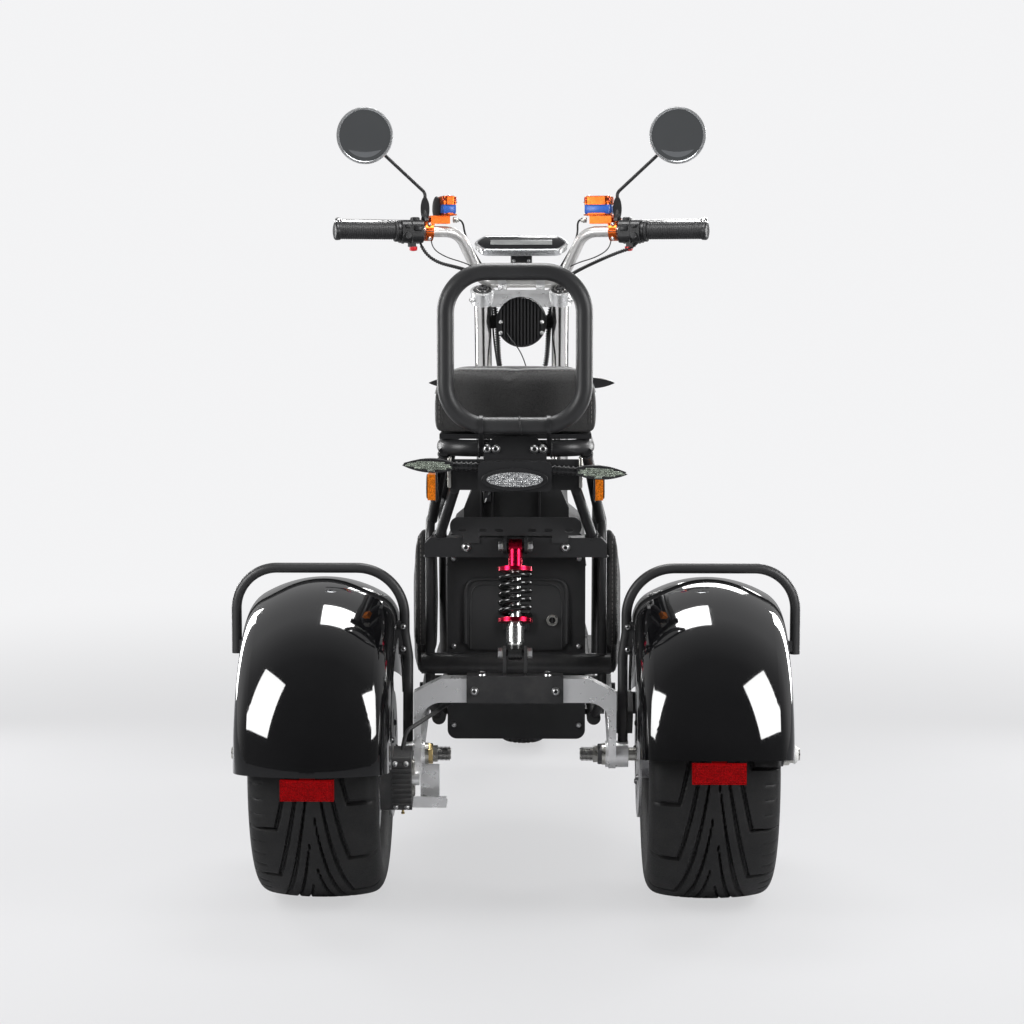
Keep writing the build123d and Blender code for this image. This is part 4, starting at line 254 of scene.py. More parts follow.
def tube(points, radius, sides=3, closed=False, resolution=8):
    """Smooth round tube through a NURBS line of control points, as a mesh."""
    piece, line, spline = curve("tube", "NURBS", points)
    spline.order_u = 3
    spline.use_endpoint_u = not closed
    spline.use_cyclic_u = closed
    spline.resolution_u = resolution
    line.bevel_depth = radius
    line.bevel_resolution = sides
    line.use_fill_caps = True
    return as_mesh(piece)

# %% [markdown]
# ## Finishes from small building blocks
#
# No surface on a vehicle is one flat colour. Paint has a fine skin and rubs thin along edges, castings are
# cloudy, rubber turns grey where dust sits. These effects come back on many parts, so each is a node group:
# a small machine with named inputs and outputs that is built once and used in many finishes. A group only
# puts out colours, masks and heights. The shader itself stays in the finish, with its plain numbers set on
# it.

# %% Helpers for node groups
FLOAT = "NodeSocketFloat"
COLOUR = "NodeSocketColor"
RGBA = {"data_type": "RGBA"}
TIMES = {"operation": "MULTIPLY"}


def opaque(value):
    """A colour of three numbers gets a fourth; plain numbers stay as they are."""
    return (*value, 1) if isinstance(value, tuple) and len(value) == 3 else value


def new_group(name, inputs, outputs):
    """Node group with float or colour inputs (name, default) and outputs (name, kind)."""
    group = bpy.data.node_groups.new(name, "ShaderNodeTree")
    for label, value in inputs:
        kind = COLOUR if isinstance(value, tuple) else FLOAT
        socket = group.interface.new_socket(name=label, in_out="INPUT", socket_type=kind)
        socket.default_value = opaque(value)
    for label, kind in outputs:
        group.interface.new_socket(name=label, in_out="OUTPUT", socket_type=kind)
    return group, group.nodes.new("NodeGroupInput"), group.nodes.new("NodeGroupOutput")


def node(tree, kind, settings=(), **values):
    """A shader node of one kind, with its properties set and numbers put on its named inputs."""
    made = tree.nodes.new("ShaderNode" + kind)
    for label, value in dict(settings).items():
        setattr(made, label, value)
    for label, value in values.items():
        made.inputs[label.replace("_", " ")].default_value = opaque(value)
    return made


def wire(tree, *joints):
    """Join sockets: each joint is a node and its output, then a node and its input."""
    for source, out, target, into in joints:
        tree.links.new(source.outputs[out], target.inputs[into])


def cloudy(tree, low, high, **numbers):
    """Noise in the object's own metres, and the part of it between two limits spread over 0 to 1."""
    place = node(tree, "TexCoord")
    cloud = node(tree, "TexNoise", **numbers)
    spread = node(tree, "MapRange", From_Min=low, From_Max=high)
    wire(tree, (place, "Object", cloud, "Vector"), (cloud, "Fac", spread, "Value"))
    return place, cloud, spread

# %% [markdown]
# ### Speckle and two tones
#
# The commonest effect is cloudy noise, sampled in the object's own metres so that it has a true scale.
# `speckle` gives a value between a low and a high limit, for roughness, and the raw height, for a bump.
# `two_tones` mixes two close colours by a slow cloud, so that a large panel is never quite even.

# %% Node groups: speckle and two tones
speckle, inside, outside = new_group(
    "speckle", [("Scale", 60.0), ("Detail", 3.0), ("Low", 0.3), ("High", 0.5)],
    [("Value", FLOAT), ("Height", FLOAT)],
)
place, cloud, spread = cloudy(speckle, 0.35, 0.65)
wire(
    speckle, (inside, "Scale", cloud, "Scale"), (inside, "Detail", cloud, "Detail"),
    (inside, "Low", spread, "To Min"), (inside, "High", spread, "To Max"),
    (spread, "Result", outside, "Value"), (cloud, "Fac", outside, "Height"),
)

two_tones, inside, outside = new_group(
    "two_tones", [("First", (0.02, 0.02, 0.02)), ("Second", (0.03, 0.03, 0.03)), ("Scale", 8.0)],
    [("Color", COLOUR)],
)
place, cloud, spread = cloudy(two_tones, 0.35, 0.65, Detail=5.0)
blend = node(two_tones, "Mix", RGBA)
wire(
    two_tones, (inside, "Scale", cloud, "Scale"), (spread, "Result", blend, "Factor"),
    (inside, "First", blend, "A"), (inside, "Second", blend, "B"), (blend, "Result", outside, "Color"),
)
print("groups", speckle.name, two_tones.name)

# %% [markdown]
# ### Rubbed edges
#
# Paint and plating wear first where hands, boots and stones reach: along edges. The Bevel node gives the
# direction that a surface would have if its edges were rounded. Where that differs from the true direction
# we are near an edge, and some noise breaks the line up so that the wear looks earned.

# %% Node group: rubbed edges
rubbed_edges, inside, outside = new_group(
    "rubbed_edges", [("Reach", 0.002), ("Amount", 0.5)], [("Mask", FLOAT)],
)
rounded = node(rubbed_edges, "Bevel", {"samples": 4})
true_way = node(rubbed_edges, "NewGeometry")
likeness = node(rubbed_edges, "VectorMath", {"operation": "DOT_PRODUCT"})
near_edge = node(rubbed_edges, "MapRange", From_Min=0.985, From_Max=0.86)
place, cloud, patches = cloudy(rubbed_edges, 0.45, 0.62, Scale=90.0, Detail=4.0)
broken = node(rubbed_edges, "Math", TIMES)
scaled = node(rubbed_edges, "Math", TIMES)
wire(
    rubbed_edges, (inside, "Reach", rounded, "Radius"), (rounded, "Normal", likeness, 0),
    (true_way, "Normal", likeness, 1), (likeness, "Value", near_edge, "Value"),
    (near_edge, "Result", broken, 0), (patches, "Result", broken, 1), (broken, "Value", scaled, 0),
    (inside, "Amount", scaled, 1), (scaled, "Value", outside, "Mask"),
)

# %% [markdown]
# ### Road dust
#
# Dust settles on what faces up and thickens towards the ground. The group mixes a dust colour over any base
# colour by height alone, broken into patches by a cloud.

# %% Node group: road dust
road_dust, inside, outside = new_group(
    "road_dust",
    [("Color", (0.02, 0.02, 0.02)), ("Dust", (0.16, 0.15, 0.14)), ("Amount", 0.3), ("Top", 0.5)],
    [("Color", COLOUR), ("Mask", FLOAT)],
)
place, cloud, patches = cloudy(road_dust, 0.4, 0.72, Scale=26.0, Detail=6.0, Roughness=0.65)
split = node(road_dust, "SeparateXYZ")
low_down = node(road_dust, "MapRange", To_Min=1.0, To_Max=0.0)
settled = node(road_dust, "Math", TIMES)
scaled = node(road_dust, "Math", TIMES)
blend = node(road_dust, "Mix", RGBA)
wire(
    road_dust, (place, "Object", split, "Vector"), (split, "Z", low_down, "Value"),
    (inside, "Top", low_down, "From Max"), (low_down, "Result", settled, 0),
    (patches, "Result", settled, 1), (settled, "Value", scaled, 0), (inside, "Amount", scaled, 1),
    (scaled, "Value", blend, "Factor"), (inside, "Color", blend, "A"), (inside, "Dust", blend, "B"),
    (blend, "Result", outside, "Color"), (scaled, "Value", outside, "Mask"),
)

# %% [markdown]
# ### Leather grain
#
# Leather is a field of small rounded cells with creases between them, and slower folds under that.
# Voronoi's distance to the edge of a cell is small in the creases, which gives both the height and a mask for
# painted shade in them.

# %% Node group: leather grain
leather_grain, inside, outside = new_group(
    "leather_grain", [("Cells", 650.0), ("Folds", 38.0)], [("Height", FLOAT), ("Crease", FLOAT)],
)
FOLD_WEIGHT = 1.6
place = node(leather_grain, "TexCoord")
wobble = node(leather_grain, "TexNoise", Scale=160.0, Detail=2.0)
sway = node(leather_grain, "VectorMath", {"operation": "SCALE"}, Scale=0.004)
moved = node(leather_grain, "VectorMath", {"operation": "ADD"})
cells = node(leather_grain, "TexVoronoi", {"feature": "DISTANCE_TO_EDGE"})
rounded = node(leather_grain, "MapRange", {"interpolation_type": "SMOOTHSTEP"}, From_Max=0.28)
folds = node(leather_grain, "TexNoise", Detail=3.0)
weight = node(leather_grain, "Math", {"operation": "MULTIPLY_ADD"})
weight.inputs[1].default_value = FOLD_WEIGHT
crease = node(leather_grain, "Math", {"operation": "SUBTRACT"})
crease.inputs[0].default_value = 1.0
wire(
    leather_grain, (place, "Object", wobble, "Vector"), (wobble, "Color", sway, 0),
    (place, "Object", moved, 0), (sway, "Vector", moved, 1), (moved, "Vector", cells, "Vector"),
    (inside, "Cells", cells, "Scale"), (cells, "Distance", rounded, "Value"),
    (place, "Object", folds, "Vector"), (inside, "Folds", folds, "Scale"), (folds, "Fac", weight, 0),
    (rounded, "Result", weight, 2), (weight, "Value", outside, "Height"), (rounded, "Result", crease, 1),
    (crease, "Value", outside, "Crease"),
)

# %% [markdown]
# ### Brushed lines
#
# A ground or brushed metal has fine scratches in one direction. Noise that is squeezed on two axes and
# stretched on the third draws them.

# %% Node group: brushed lines
brushed_lines, inside, outside = new_group(
    "brushed_lines", [("Along_X", 1.0), ("Along_Y", 0.05), ("Along_Z", 1.0), ("Low", 0.2), ("High", 0.4)],
    [("Value", FLOAT), ("Height", FLOAT)],
)
place = node(brushed_lines, "TexCoord")
stretch = node(brushed_lines, "CombineXYZ")
squeezed = node(brushed_lines, "VectorMath", TIMES)
cloud = node(brushed_lines, "TexNoise", Scale=700.0, Detail=4.0)
spread = node(brushed_lines, "MapRange", From_Min=0.3, From_Max=0.7)
for axis in "XYZ":
    wire(brushed_lines, (inside, "Along_" + axis, stretch, axis))
wire(
    brushed_lines, (place, "Object", squeezed, 0), (stretch, "Vector", squeezed, 1),
    (squeezed, "Vector", cloud, "Vector"), (cloud, "Fac", spread, "Value"),
    (inside, "Low", spread, "To Min"), (inside, "High", spread, "To Max"),
    (spread, "Result", outside, "Value"), (cloud, "Fac", outside, "Height"),
)
print("all groups:", [group.name for group in bpy.data.node_groups])

# %% [markdown]
# ## From groups to finishes
#
# A finish is a Principled shader whose plain numbers are set on it, with groups feeding what changes over the
# surface. `coat` makes the shader, `use` puts a group in the finish with its own values, and `bump` turns a
# height into a slope of the surface of a stated depth. `hazed` gives a surface its cloudy roughness and
# `toned` its two close tones, and `finish_of` is the whole recipe that most finishes share.

# %% Helpers for finishes
def coat(name, colour, roughness, metallic=0.0, **numbers):
    """A finish with its shader's plain numbers set; gives back its tree and its shader."""
    finish = bpy.data.materials.new(name)
    finish.use_nodes = True
    shader = finish.node_tree.nodes["Principled BSDF"]
    shader.inputs["Base Color"].default_value = opaque(colour)
    shader.inputs["Roughness"].default_value = roughness
    shader.inputs["Metallic"].default_value = metallic
    for label, value in numbers.items():
        shader.inputs[label.replace("_", " ")].default_value = opaque(value)
    finishes[name] = finish
    return finish.node_tree, shader


def use(tree, group, **values):
    """One of the groups, placed in a finish with its own values."""
    placed = tree.nodes.new("ShaderNodeGroup")
    placed.node_tree = group
    for label, value in values.items():
        placed.inputs[label].default_value = opaque(value)
    return placed


def bump(tree, shader, source, out, depth, strength=1.0):
    """Bump of a depth in metres from a node's height."""
    slope = node(tree, "Bump", Strength=strength, Distance=depth)
    wire(tree, (source, out, slope, "Height"), (slope, "Normal", shader, "Normal"))


def worn(tree, shader, under, bare, reach, amount):
    """Base colour that turns to a bare colour along rubbed edges."""
    edges = use(tree, rubbed_edges, Reach=reach, Amount=amount)
    blend = node(tree, "Mix", RGBA, B=bare)
    wire(
        tree, (edges, "Mask", blend, "Factor"), (under, "Color", blend, "A"),
        (blend, "Result", shader, "Base Color"),
    )


def toned(tree, shader, first, second, patches):
    """Base colour that drifts between two close tones."""
    tone = use(tree, two_tones, First=first, Second=second, Scale=patches)
    wire(tree, (tone, "Color", shader, "Base Color"))
    return tone


def hazed(tree, shader, rough, grain, detail):
    """Cloudy roughness between two limits."""
    skin = use(tree, speckle, Scale=grain, Detail=detail, Low=rough[0], High=rough[1])
    wire(tree, (skin, "Value", shader, "Roughness"))
    return skin


def finish_of(name, tones, rough, patches, skin, depth, dust=(), edges=(), metallic=0.0, **numbers):
    """Two tones, cloudy roughness (scale, detail) and a bump; dust and edges where given."""
    first, second = tones
    tree, shader = coat(name, first, rough[0], metallic, **numbers)
    grain = hazed(tree, shader, rough, *skin)
    under = toned(tree, shader, first, second, patches)
    if dust:
        clean = under
        amount, top = dust
        under = use(tree, road_dust, Amount=amount, Top=top)
        wire(tree, (clean, "Color", under, "Color"), (under, "Color", shader, "Base Color"))
    if edges:
        worn(tree, shader, under, *edges)
    bump(tree, shader, grain, "Height", depth)

# %% [markdown]
# ### Painted steel
#
# The frame is powder coated: satin, with the faint orange-peel skin that powder leaves as it melts. The
# guard hoops and the grab bar are smoother. Both rub through to a dark grey along their edges, never to
# bright metal.

# %% Finishes: painted steel
WORN_PAINT = ((0.11, 0.11, 0.115), 0.0014, 0.6)
for name, tones, rough, peel in (
    ("frame_black", ((0.014, 0.014, 0.015), (0.02, 0.02, 0.021)), (0.34, 0.44), 0.00012),
    ("satin_black", ((0.02, 0.02, 0.021), (0.027, 0.027, 0.028)), (0.4, 0.5), 0.00006),
    ("caliper_black", ((0.03, 0.03, 0.031), (0.045, 0.045, 0.046)), (0.42, 0.56), 0.0002),
):
    finish_of(name, tones, rough, 9.0, (420.0, 2.0), peel, (0.35, 0.55), WORN_PAINT, Specular_IOR_Level=0.5)

# %% [markdown]
# ### Gloss black guards
#
# Piano-black plastic: almost no colour of its own, so that everything we see on it is a reflection of the
# room. A clear coat gives the hard edge of those reflections. Very slow, very shallow waves stop the panels
# from looking like glass, and hairline swirls from wiping break up the roughness.

# %% Finish: gloss black
tree, shader = coat(
    "gloss_black", (0.004, 0.004, 0.0045), 0.05, 0.0, Coat_Weight=1.0, Coat_Roughness=0.03, Coat_IOR=1.6,
)
swirls = use(tree, brushed_lines, Along_X=0.25, Along_Y=1.0, Along_Z=0.12, Low=0.035, High=0.085)
waves = use(tree, speckle, Scale=7.0, Detail=1.0)
toned(tree, shader, (0.003, 0.003, 0.0035), (0.006, 0.006, 0.0065), 5.0)
wire(tree, (swirls, "Value", shader, "Roughness"))
bump(tree, shader, waves, "Height", 0.0012, 0.5)

# %% [markdown]
# ### Moulded plastics
#
# The battery case has a fine spark-eroded texture, lamp housings a smoother satin one, and the bezel of the
# display is sprayed silver. They share one recipe with a different grain size and depth.

# %% Finishes: moulded plastics
for name, tones, rough, grain, depth, metallic in (
    ("case_black", ((0.016, 0.016, 0.017), (0.022, 0.022, 0.023)), (0.5, 0.62), 1400.0, 0.0003, 0.0),
    ("lamp_plastic", ((0.014, 0.014, 0.015), (0.02, 0.02, 0.021)), (0.28, 0.42), 900.0, 0.00008, 0.0),
    ("bezel_plastic", ((0.66, 0.67, 0.68), (0.74, 0.75, 0.76)), (0.22, 0.32), 1100.0, 0.00003, 0.85),
    ("button_red", ((0.75, 0.02, 0.03), (0.62, 0.015, 0.02)), (0.3, 0.4), 900.0, 0.00005, 0.0),
    ("tank_blue", ((0.03, 0.1, 0.42), (0.04, 0.13, 0.5)), (0.2, 0.32), 700.0, 0.00004, 0.0),
    ("cap_white", ((0.8, 0.8, 0.78), (0.7, 0.7, 0.68)), (0.3, 0.42), 800.0, 0.00005, 0.0),
):
    bare = tuple(min(1.0, value * 2.2 + 0.02) for value in tones[1])
    finish_of(name, tones, rough, 14.0, (grain, 3.0), depth, (), (bare, 0.0012, 0.5), metallic)

# %% [markdown]
# ### Metals
#
# Polished castings are cloudy: their roughness changes slowly. Turned and drawn parts have lines along
# their length. Anodised parts are coloured metal. In each case the colour is high and the metallic value is
# near 1, and it is the roughness pattern that tells one metal from another.

# %% Finishes: cast and plated metals
BRIGHT = (0.85, 0.85, 0.86)
WORN_ORANGE = (0.9, 0.45, 0.3)
for name, tones, rough, cloud, depth, bare in (
    ("polished_alloy", ((0.84,) * 3, (0.9,) * 3), (0.26, 0.38), 60.0, 0.00008, (0.92,) * 3),
    ("wheel_alloy", ((0.55, 0.55, 0.56), (0.64, 0.64, 0.65)), (0.26, 0.4), 180.0, 0.00012, BRIGHT),
    ("zinc_steel", ((0.62, 0.61, 0.57), (0.5, 0.49, 0.46)), (0.24, 0.4), 130.0, 0.00006, BRIGHT),
    ("brass", ((0.72, 0.55, 0.25), (0.6, 0.45, 0.2)), (0.26, 0.4), 120.0, 0.00006, (0.85, 0.7, 0.4)),
    ("bright_screw", ((0.86,) * 3, (0.76,) * 3), (0.3, 0.42), 200.0, 0.00003, BRIGHT),
    ("dark_steel", ((0.09, 0.09, 0.092), (0.14, 0.14, 0.143)), (0.3, 0.44), 140.0, 0.00006, (0.4,) * 3),
    ("shock_red", ((0.62, 0.01, 0.05), (0.5, 0.008, 0.035)), (0.2, 0.34), 90.0, 0.00004, (0.8, 0.25, 0.3)),
    ("cap_coral", ((0.7, 0.12, 0.08), (0.6, 0.09, 0.06)), (0.3, 0.42), 110.0, 0.00005, (0.8, 0.4, 0.35)),
    ("orange_alloy", ((0.86, 0.17, 0.03), (0.75, 0.12, 0.02)), (0.24, 0.36), 110.0, 0.00005, WORN_ORANGE),
):
    metallic = 0.7 if name == "polished_alloy" else 1.0
    finish_of(name, tones, rough, 20.0, (cloud, 5.0), depth, (), (bare, 0.0012, 0.6), metallic)

# %% [markdown]
# Drawn and turned metals swap the clouds for fine lines, whose direction each row of the table gives.

# %% Finishes: drawn, turned and plated metals
for name, colour, rough, lines, depth, metallic, gloss in (
    ("bar_steel", (0.92, 0.91, 0.89), (0.3, 0.42), (1.0, 0.2, 0.2), 0.00001, 0.75, 0.0),
    ("fork_chrome", (0.9, 0.89, 0.87), (0.08, 0.16), (1.0, 1.0, 0.04), 0.00001, 1.0, 0.0),
    ("lever_alloy", (0.82, 0.82, 0.82), (0.16, 0.28), (0.06, 1.0, 1.0), 0.00002, 1.0, 0.0),
    ("disc_steel", (0.5, 0.5, 0.5), (0.24, 0.42), (1.0, 1.0, 1.0), 0.00004, 1.0, 0.0),
    ("spring_black", (0.008, 0.008, 0.008), (0.12, 0.22), (1.0, 1.0, 1.0), 0.00002, 0.0, 0.35),
    ("rod_steel", (0.82, 0.82, 0.81), (0.2, 0.32), (1.0, 1.0, 1.0), 0.00002, 1.0, 0.0),
):
    tree, shader = coat(name, colour, rough[0], metallic, Coat_Weight=gloss)
    across = dict(zip(("Along_X", "Along_Y", "Along_Z"), lines))
    scratches = use(tree, brushed_lines, Low=rough[0], High=rough[1], **across)
    bright = toned(tree, shader, colour, tuple(value * 0.86 for value in colour), 16.0)
    wire(tree, (scratches, "Value", shader, "Roughness"))
    bump(tree, shader, scratches, "Height", depth)

# %% [markdown]
# The last of these is the damper's rod. It is bright above the clevis and painted black round the lower
# eye, so its colour and its metal change at one height.

# %% Damper rod in two finishes
PAINT_TOP = 0.43
place = node(tree, "TexCoord")
height = node(tree, "SeparateXYZ")
bare = node(tree, "MapRange", From_Min=PAINT_TOP - mm(4), From_Max=PAINT_TOP)
shade = node(tree, "Mix", RGBA, A=(0.015, 0.015, 0.015))
wire(
    tree, (place, "Object", height, 0), (height, "Z", bare, "Value"), (bare, "Result", shade, "Factor"),
    (bright, "Color", shade, "B"), (shade, "Result", shader, "Base Color"),
    (bare, "Result", shader, "Metallic"),
)

# %% [markdown]
# ### Rubber
#
# Tyre rubber is a dull charcoal whose sides hold a little dust. Grips, hoses and the deck mat are the same
# stuff with a finer skin. Rubber has a weak, wide highlight, so its roughness is high and its specular low.

# %% Finishes: rubber
for name, tones, rough, grain, depth, dust in (
    ("tyre_black", ((0.005, 0.005, 0.0053), (0.008, 0.008, 0.0083)), (0.5, 0.66), 520.0, 0.0002, 0.06),
    ("grip_rubber", ((0.022, 0.022, 0.023), (0.03, 0.03, 0.031)), (0.46, 0.6), 900.0, 0.00012, 0.0),
    ("deck_rubber", ((0.024, 0.024, 0.025), (0.035, 0.035, 0.036)), (0.6, 0.75), 700.0, 0.0002, 0.5),
    ("cable_black", ((0.016, 0.016, 0.017), (0.024, 0.024, 0.025)), (0.36, 0.5), 900.0, 0.00006, 0.1),
):
    finish_of(name, tones, rough, 22.0, (grain, 4.0), depth, (dust, 0.48), Specular_IOR_Level=0.4)

# %% [markdown]
# ### Leather and thread
#
# The seat is black leather. Its grain shines a little on top of the cells, and its creases are darkened with
# painted shade. A touch of sheen gives the soft edge light of a hide. Thread is a twisted strand: fine
# slanted waves on a matt colour.

# %% Finishes: leather and thread
for name, first, second in (
    ("seat_leather", (0.024, 0.023, 0.023), (0.034, 0.033, 0.032)),
    ("cover_leather", (0.02, 0.02, 0.021), (0.03, 0.029, 0.029)),
):
    tree, shader = coat(name, first, 0.42, 0.0, Sheen_Weight=0.08, Sheen_Roughness=0.4)
    grain = use(tree, leather_grain)
    tone = toned(tree, shader, first, second, 11.0)
    # This multiply darkens the creases: painted shade.
    shade = node(tree, "Mix", {**RGBA, "blend_type": "MULTIPLY"}, B=(0.45, 0.45, 0.45))
    polish = node(tree, "MapRange", To_Min=0.4, To_Max=0.62)
    wire(
        tree, (grain, "Crease", shade, "Factor"), (tone, "Color", shade, "A"),
        (shade, "Result", shader, "Base Color"), (grain, "Crease", polish, "Value"),
        (polish, "Result", shader, "Roughness"),
    )
    bump(tree, shader, grain, "Height", 0.0005, 0.7)

# The second row is for the seat's crest cord; its pale grey is a painted highlight.
for name, first, second in (
    ("thread_grey", (0.3, 0.28, 0.27), (0.2, 0.19, 0.18)),
    ("piping_painted_highlight", (0.36, 0.36, 0.36), (0.26, 0.26, 0.26)),
):
    tree, shader = coat(name, first, 0.75)
    twist = use(tree, brushed_lines, Along_X=1.0, Along_Y=1.0, Along_Z=0.6, Low=0.65, High=0.85)
    toned(tree, shader, first, second, 300.0)
    wire(tree, (twist, "Value", shader, "Roughness"))
    bump(tree, shader, twist, "Height", 0.0003)

# %% [markdown]
# ### Reflectors and lamps
#
# A reflector is clear coloured plastic over a grid of tiny cube corners. Voronoi cells with flat faces stand
# for them: each cell tips the surface its own way and takes its own colour between a darker and a lighter
# tone, which are painted glints, so the piece sparkles instead of shining evenly. The red and amber
# reflectors also get a faint painted glow.
# The tail lamp's lens is clear over a crumpled mirror, and the signals have the same crystal behind smoked
# glass.

# %% Finishes: reflectors and lamp lenses
# These two settings give the red and amber reflectors a faint painted glow, though they hold no lamp.
RED_PAINTED_GLOW = {"Specular_IOR_Level": 0.05, "Emission_Color": (0.5, 0.0, 0.0), "Emission_Strength": 0.04}
AMBER_PAINTED_GLOW = {"Specular_IOR_Level": 0.15, "Emission_Color": (0.8, 0.25, 0.0), "Emission_Strength": 0.08}
for name, colour, cells, tilt, rough, gloss, painted_glint, numbers in (
    ("red_reflector", (0.2, 0.001, 0.002), 640.0, 0.00005, 0.4, 0.06, 0.0, RED_PAINTED_GLOW),
    ("amber_reflector", (0.65, 0.16, 0.008), 640.0, 0.0001, 0.4, 0.12, 0.0, AMBER_PAINTED_GLOW),
    ("crystal_lens", (0.75, 0.77, 0.79), 330.0, 0.004, 0.08, 1.0, 0.03, {"Metallic": 0.6}),
    ("smoked_lens", (0.34, 0.38, 0.32), 380.0, 0.003, 0.1, 1.0, 0.03, {"Metallic": 0.3}),
    ("headlamp_lens", (0.72, 0.75, 0.78), 90.0, 0.006, 0.06, 1.0, 0.03, {"Metallic": 0.5}),
):
    tree, shader = coat(name, colour, rough, 0.0, Coat_Weight=gloss, Coat_Roughness=0.04, **numbers)
    # Each facet's colour is painted between a darker and a lighter tone: painted glints.
    dim = tuple(value * 0.55 for value in colour)
    lit = tuple(min(1.0, value * 1.5 + painted_glint) for value in colour)
    place = node(tree, "TexCoord")
    facets = node(tree, "TexVoronoi", {"feature": "F1", "distance": "CHEBYCHEV"}, Scale=cells)
    painted_glints = node(tree, "Mix", RGBA, A=dim, B=lit)
    parts = node(tree, "SeparateColor")
    wire(
        tree, (place, "Object", facets, "Vector"), (facets, "Color", parts, "Color"),
        (parts, "Red", painted_glints, "Factor"), (painted_glints, "Result", shader, "Base Color"),
    )
    bump(tree, shader, facets, "Distance", tilt)

# %% [markdown]
# ### Mirror and screen
#
# A mirror is a metal with almost no roughness and a faint cloudy haze from wiping. The display is a dark
# glass over a grey liquid-crystal field.

# %% Finishes: mirror and screen
# The mirror's faint emission is a painted glow that stands in for a brighter reflection.
tree, shader = coat(
    "mirror_glass", (0.5, 0.51, 0.52), 0.03, 1.0, Emission_Color=(0.9, 0.95, 1.0), Emission_Strength=0.055,
)
hazed(tree, shader, (0.02, 0.07), 30.0, 3.0)
toned(tree, shader, (0.48, 0.49, 0.5), (0.56, 0.57, 0.58), 12.0)
tree, shader = coat("screen_grey", (0.2, 0.21, 0.205), 0.4, 0.0, Specular_IOR_Level=0.15)
hazed(tree, shader, (0.16, 0.26), 60.0, 3.0)
toned(tree, shader, (0.15, 0.155, 0.155), (0.2, 0.205, 0.2), 30.0)
tree, shader = coat("dark_glass", (0.01, 0.01, 0.011), 0.2, 0.0, Specular_IOR_Level=0.12)
hazed(tree, shader, (0.06, 0.12), 60.0, 3.0)
print("all finishes:", sorted(finishes))

# %% [markdown]
# ## Dress the solids
#
# Each solid names the slot of the finish it takes in the record that came with the model. Where our finish
# has the same name we use it. A few need a richer one than the slot's name says: calipers, springs, lenses.

# %% Give every solid its finish
other_finish = {"caliper_alloy": "caliper_black", "lamp_lens": "crystal_lens"}
own_finish = {"shock_spring": "spring_black", "shock_rod": "rod_steel", "headlight_lens": "headlamp_lens"}
for subpart in frame["record"]["subparts"]:
    solid = frame["nodes"][subpart["node"]]
    wanted = subpart["material_slot"]
    finish = finishes[own_finish.get(subpart["node"], other_finish.get(wanted, wanted))]
    if not solid.material_slots:
        solid.data.materials.append(finish)
    for holder in solid.material_slots:
        holder.material = finish

# %% [markdown]
# ## Tyres with a cut tread
#
# A tyre is a ring with a soft section. We draw half of its outline as a smooth line, mirror it, and spin it
# round the axle. The tread comes after: each groove starts as a thin point near the middle, runs back and
# outwards, and then turns straight out over the shoulder, where water leaves. Grooves on the left and right
# are half a pitch apart, which keeps the tyre quiet on the real road.
#
# Cutting hundreds of grooves with solid tools would be slow and leave a messy mesh. A fine, even mesh can
# be pressed in like clay instead: each point asks how near it is to the middle of a groove and moves
# inwards. The pattern repeats, so only one pitch is spun and pressed; copies of it, set round the axle,
# close the ring.

# %% Draw a tyre's section and spin one pitch of it
MERGE = 0.00002


def tyre_slice(half_outline, hub, pitches, steps):
    """One pitch of a ring about the X axis, from half a section (across, radius) in millimetres."""
    outline = half_outline + [(-across, radius) for across, radius in reversed(half_outline)]
    points = [(hub.x + across / 1000, hub.y, hub.z - radius / 1000) for across, radius in outline]
    section, _, spline = curve("section", "NURBS", points)
    spline.order_u = 3
    spline.use_cyclic_u = True
    spline.resolution_u = 4
    part = as_mesh(section)
    edit_all(part)
    bpy.ops.mesh.spin(steps=steps, angle=2 * math.pi / pitches, center=hub, axis=(1, 0, 0))
    leave_edit()
    return part

# %% [markdown]
# `press_tread` works on one half at a time. `reach` is how far a point lies from the middle of the tread,
# from 0 to 1 at the tread's edge. Up to four grooves overlap, because each one runs on for nearly three
# pitches.

# %% Press the tread into a slice
def smooth_step(value):
    """0 below 0, 1 above 1, and a soft ramp between."""
    value = max(0.0, min(1.0, value))
    return value * value * (3 - 2 * value)


def channel(distance, half_width):
    """How deep a point lies in a channel: 1 at its middle, 0 outside its soft edge."""
    return smooth_step((half_width + 0.9 - distance) / 1.5)


def press_tread(ring, hub, radius, half_tread, pitches, depth):
    """Move points inwards along curved grooves and short shoulder cuts; sizes in millimetres."""
    pitch = 360 / pitches
    sweep = 2.77 * pitch
    degree = math.radians(1) * radius
    slope = math.atan2(0.56 * half_tread, sweep * degree)
    for point in ring.data.vertices:
        across = (point.co.x - hub.x) * 1000
        arm = Vector((0, point.co.y - hub.y, point.co.z - hub.z))
        reach = abs(across) / half_tread
        if arm.length * 1000 < radius * 0.9 or reach > 1.12:
            continue
        angle = math.degrees(math.atan2(-arm.z, -arm.y)) - (pitch * 0.55 if across < 0 else 0.0)
        deep = 0.0
        for step in range(4):
            along = (angle % pitch) + step * pitch
            if reach < 0.64 and along <= sweep:
                share = along / sweep
                middle = 0.05 + 0.40 * share + 0.16 * share * share
                gap = abs(reach - middle) * half_tread * math.cos(slope)
                deep = max(deep, channel(gap, 0.6 + 2.0 * min(1.0, share * 1.6)))
        past = (angle - sweep) % pitch
        lateral = min(past, pitch - past) * degree
        if reach > 0.58:
            fade = smooth_step((1.1 - reach) / 0.08)
            deep = max(deep, channel(lateral, 2.0 - 0.8 * smooth_step((reach - 0.7) / 0.3)) * fade)
        if reach > 0.78:
            third = abs(((past / pitch) * 4 + 0.5) % 1 - 0.5) * pitch / 4 * degree
            fade = smooth_step((reach - 0.78) / 0.06) * smooth_step((1.08 - reach) / 0.06)
            deep = max(deep, 0.5 * channel(third, 0.7) * fade)
        point.co -= arm.normalized() * mm(depth) * deep


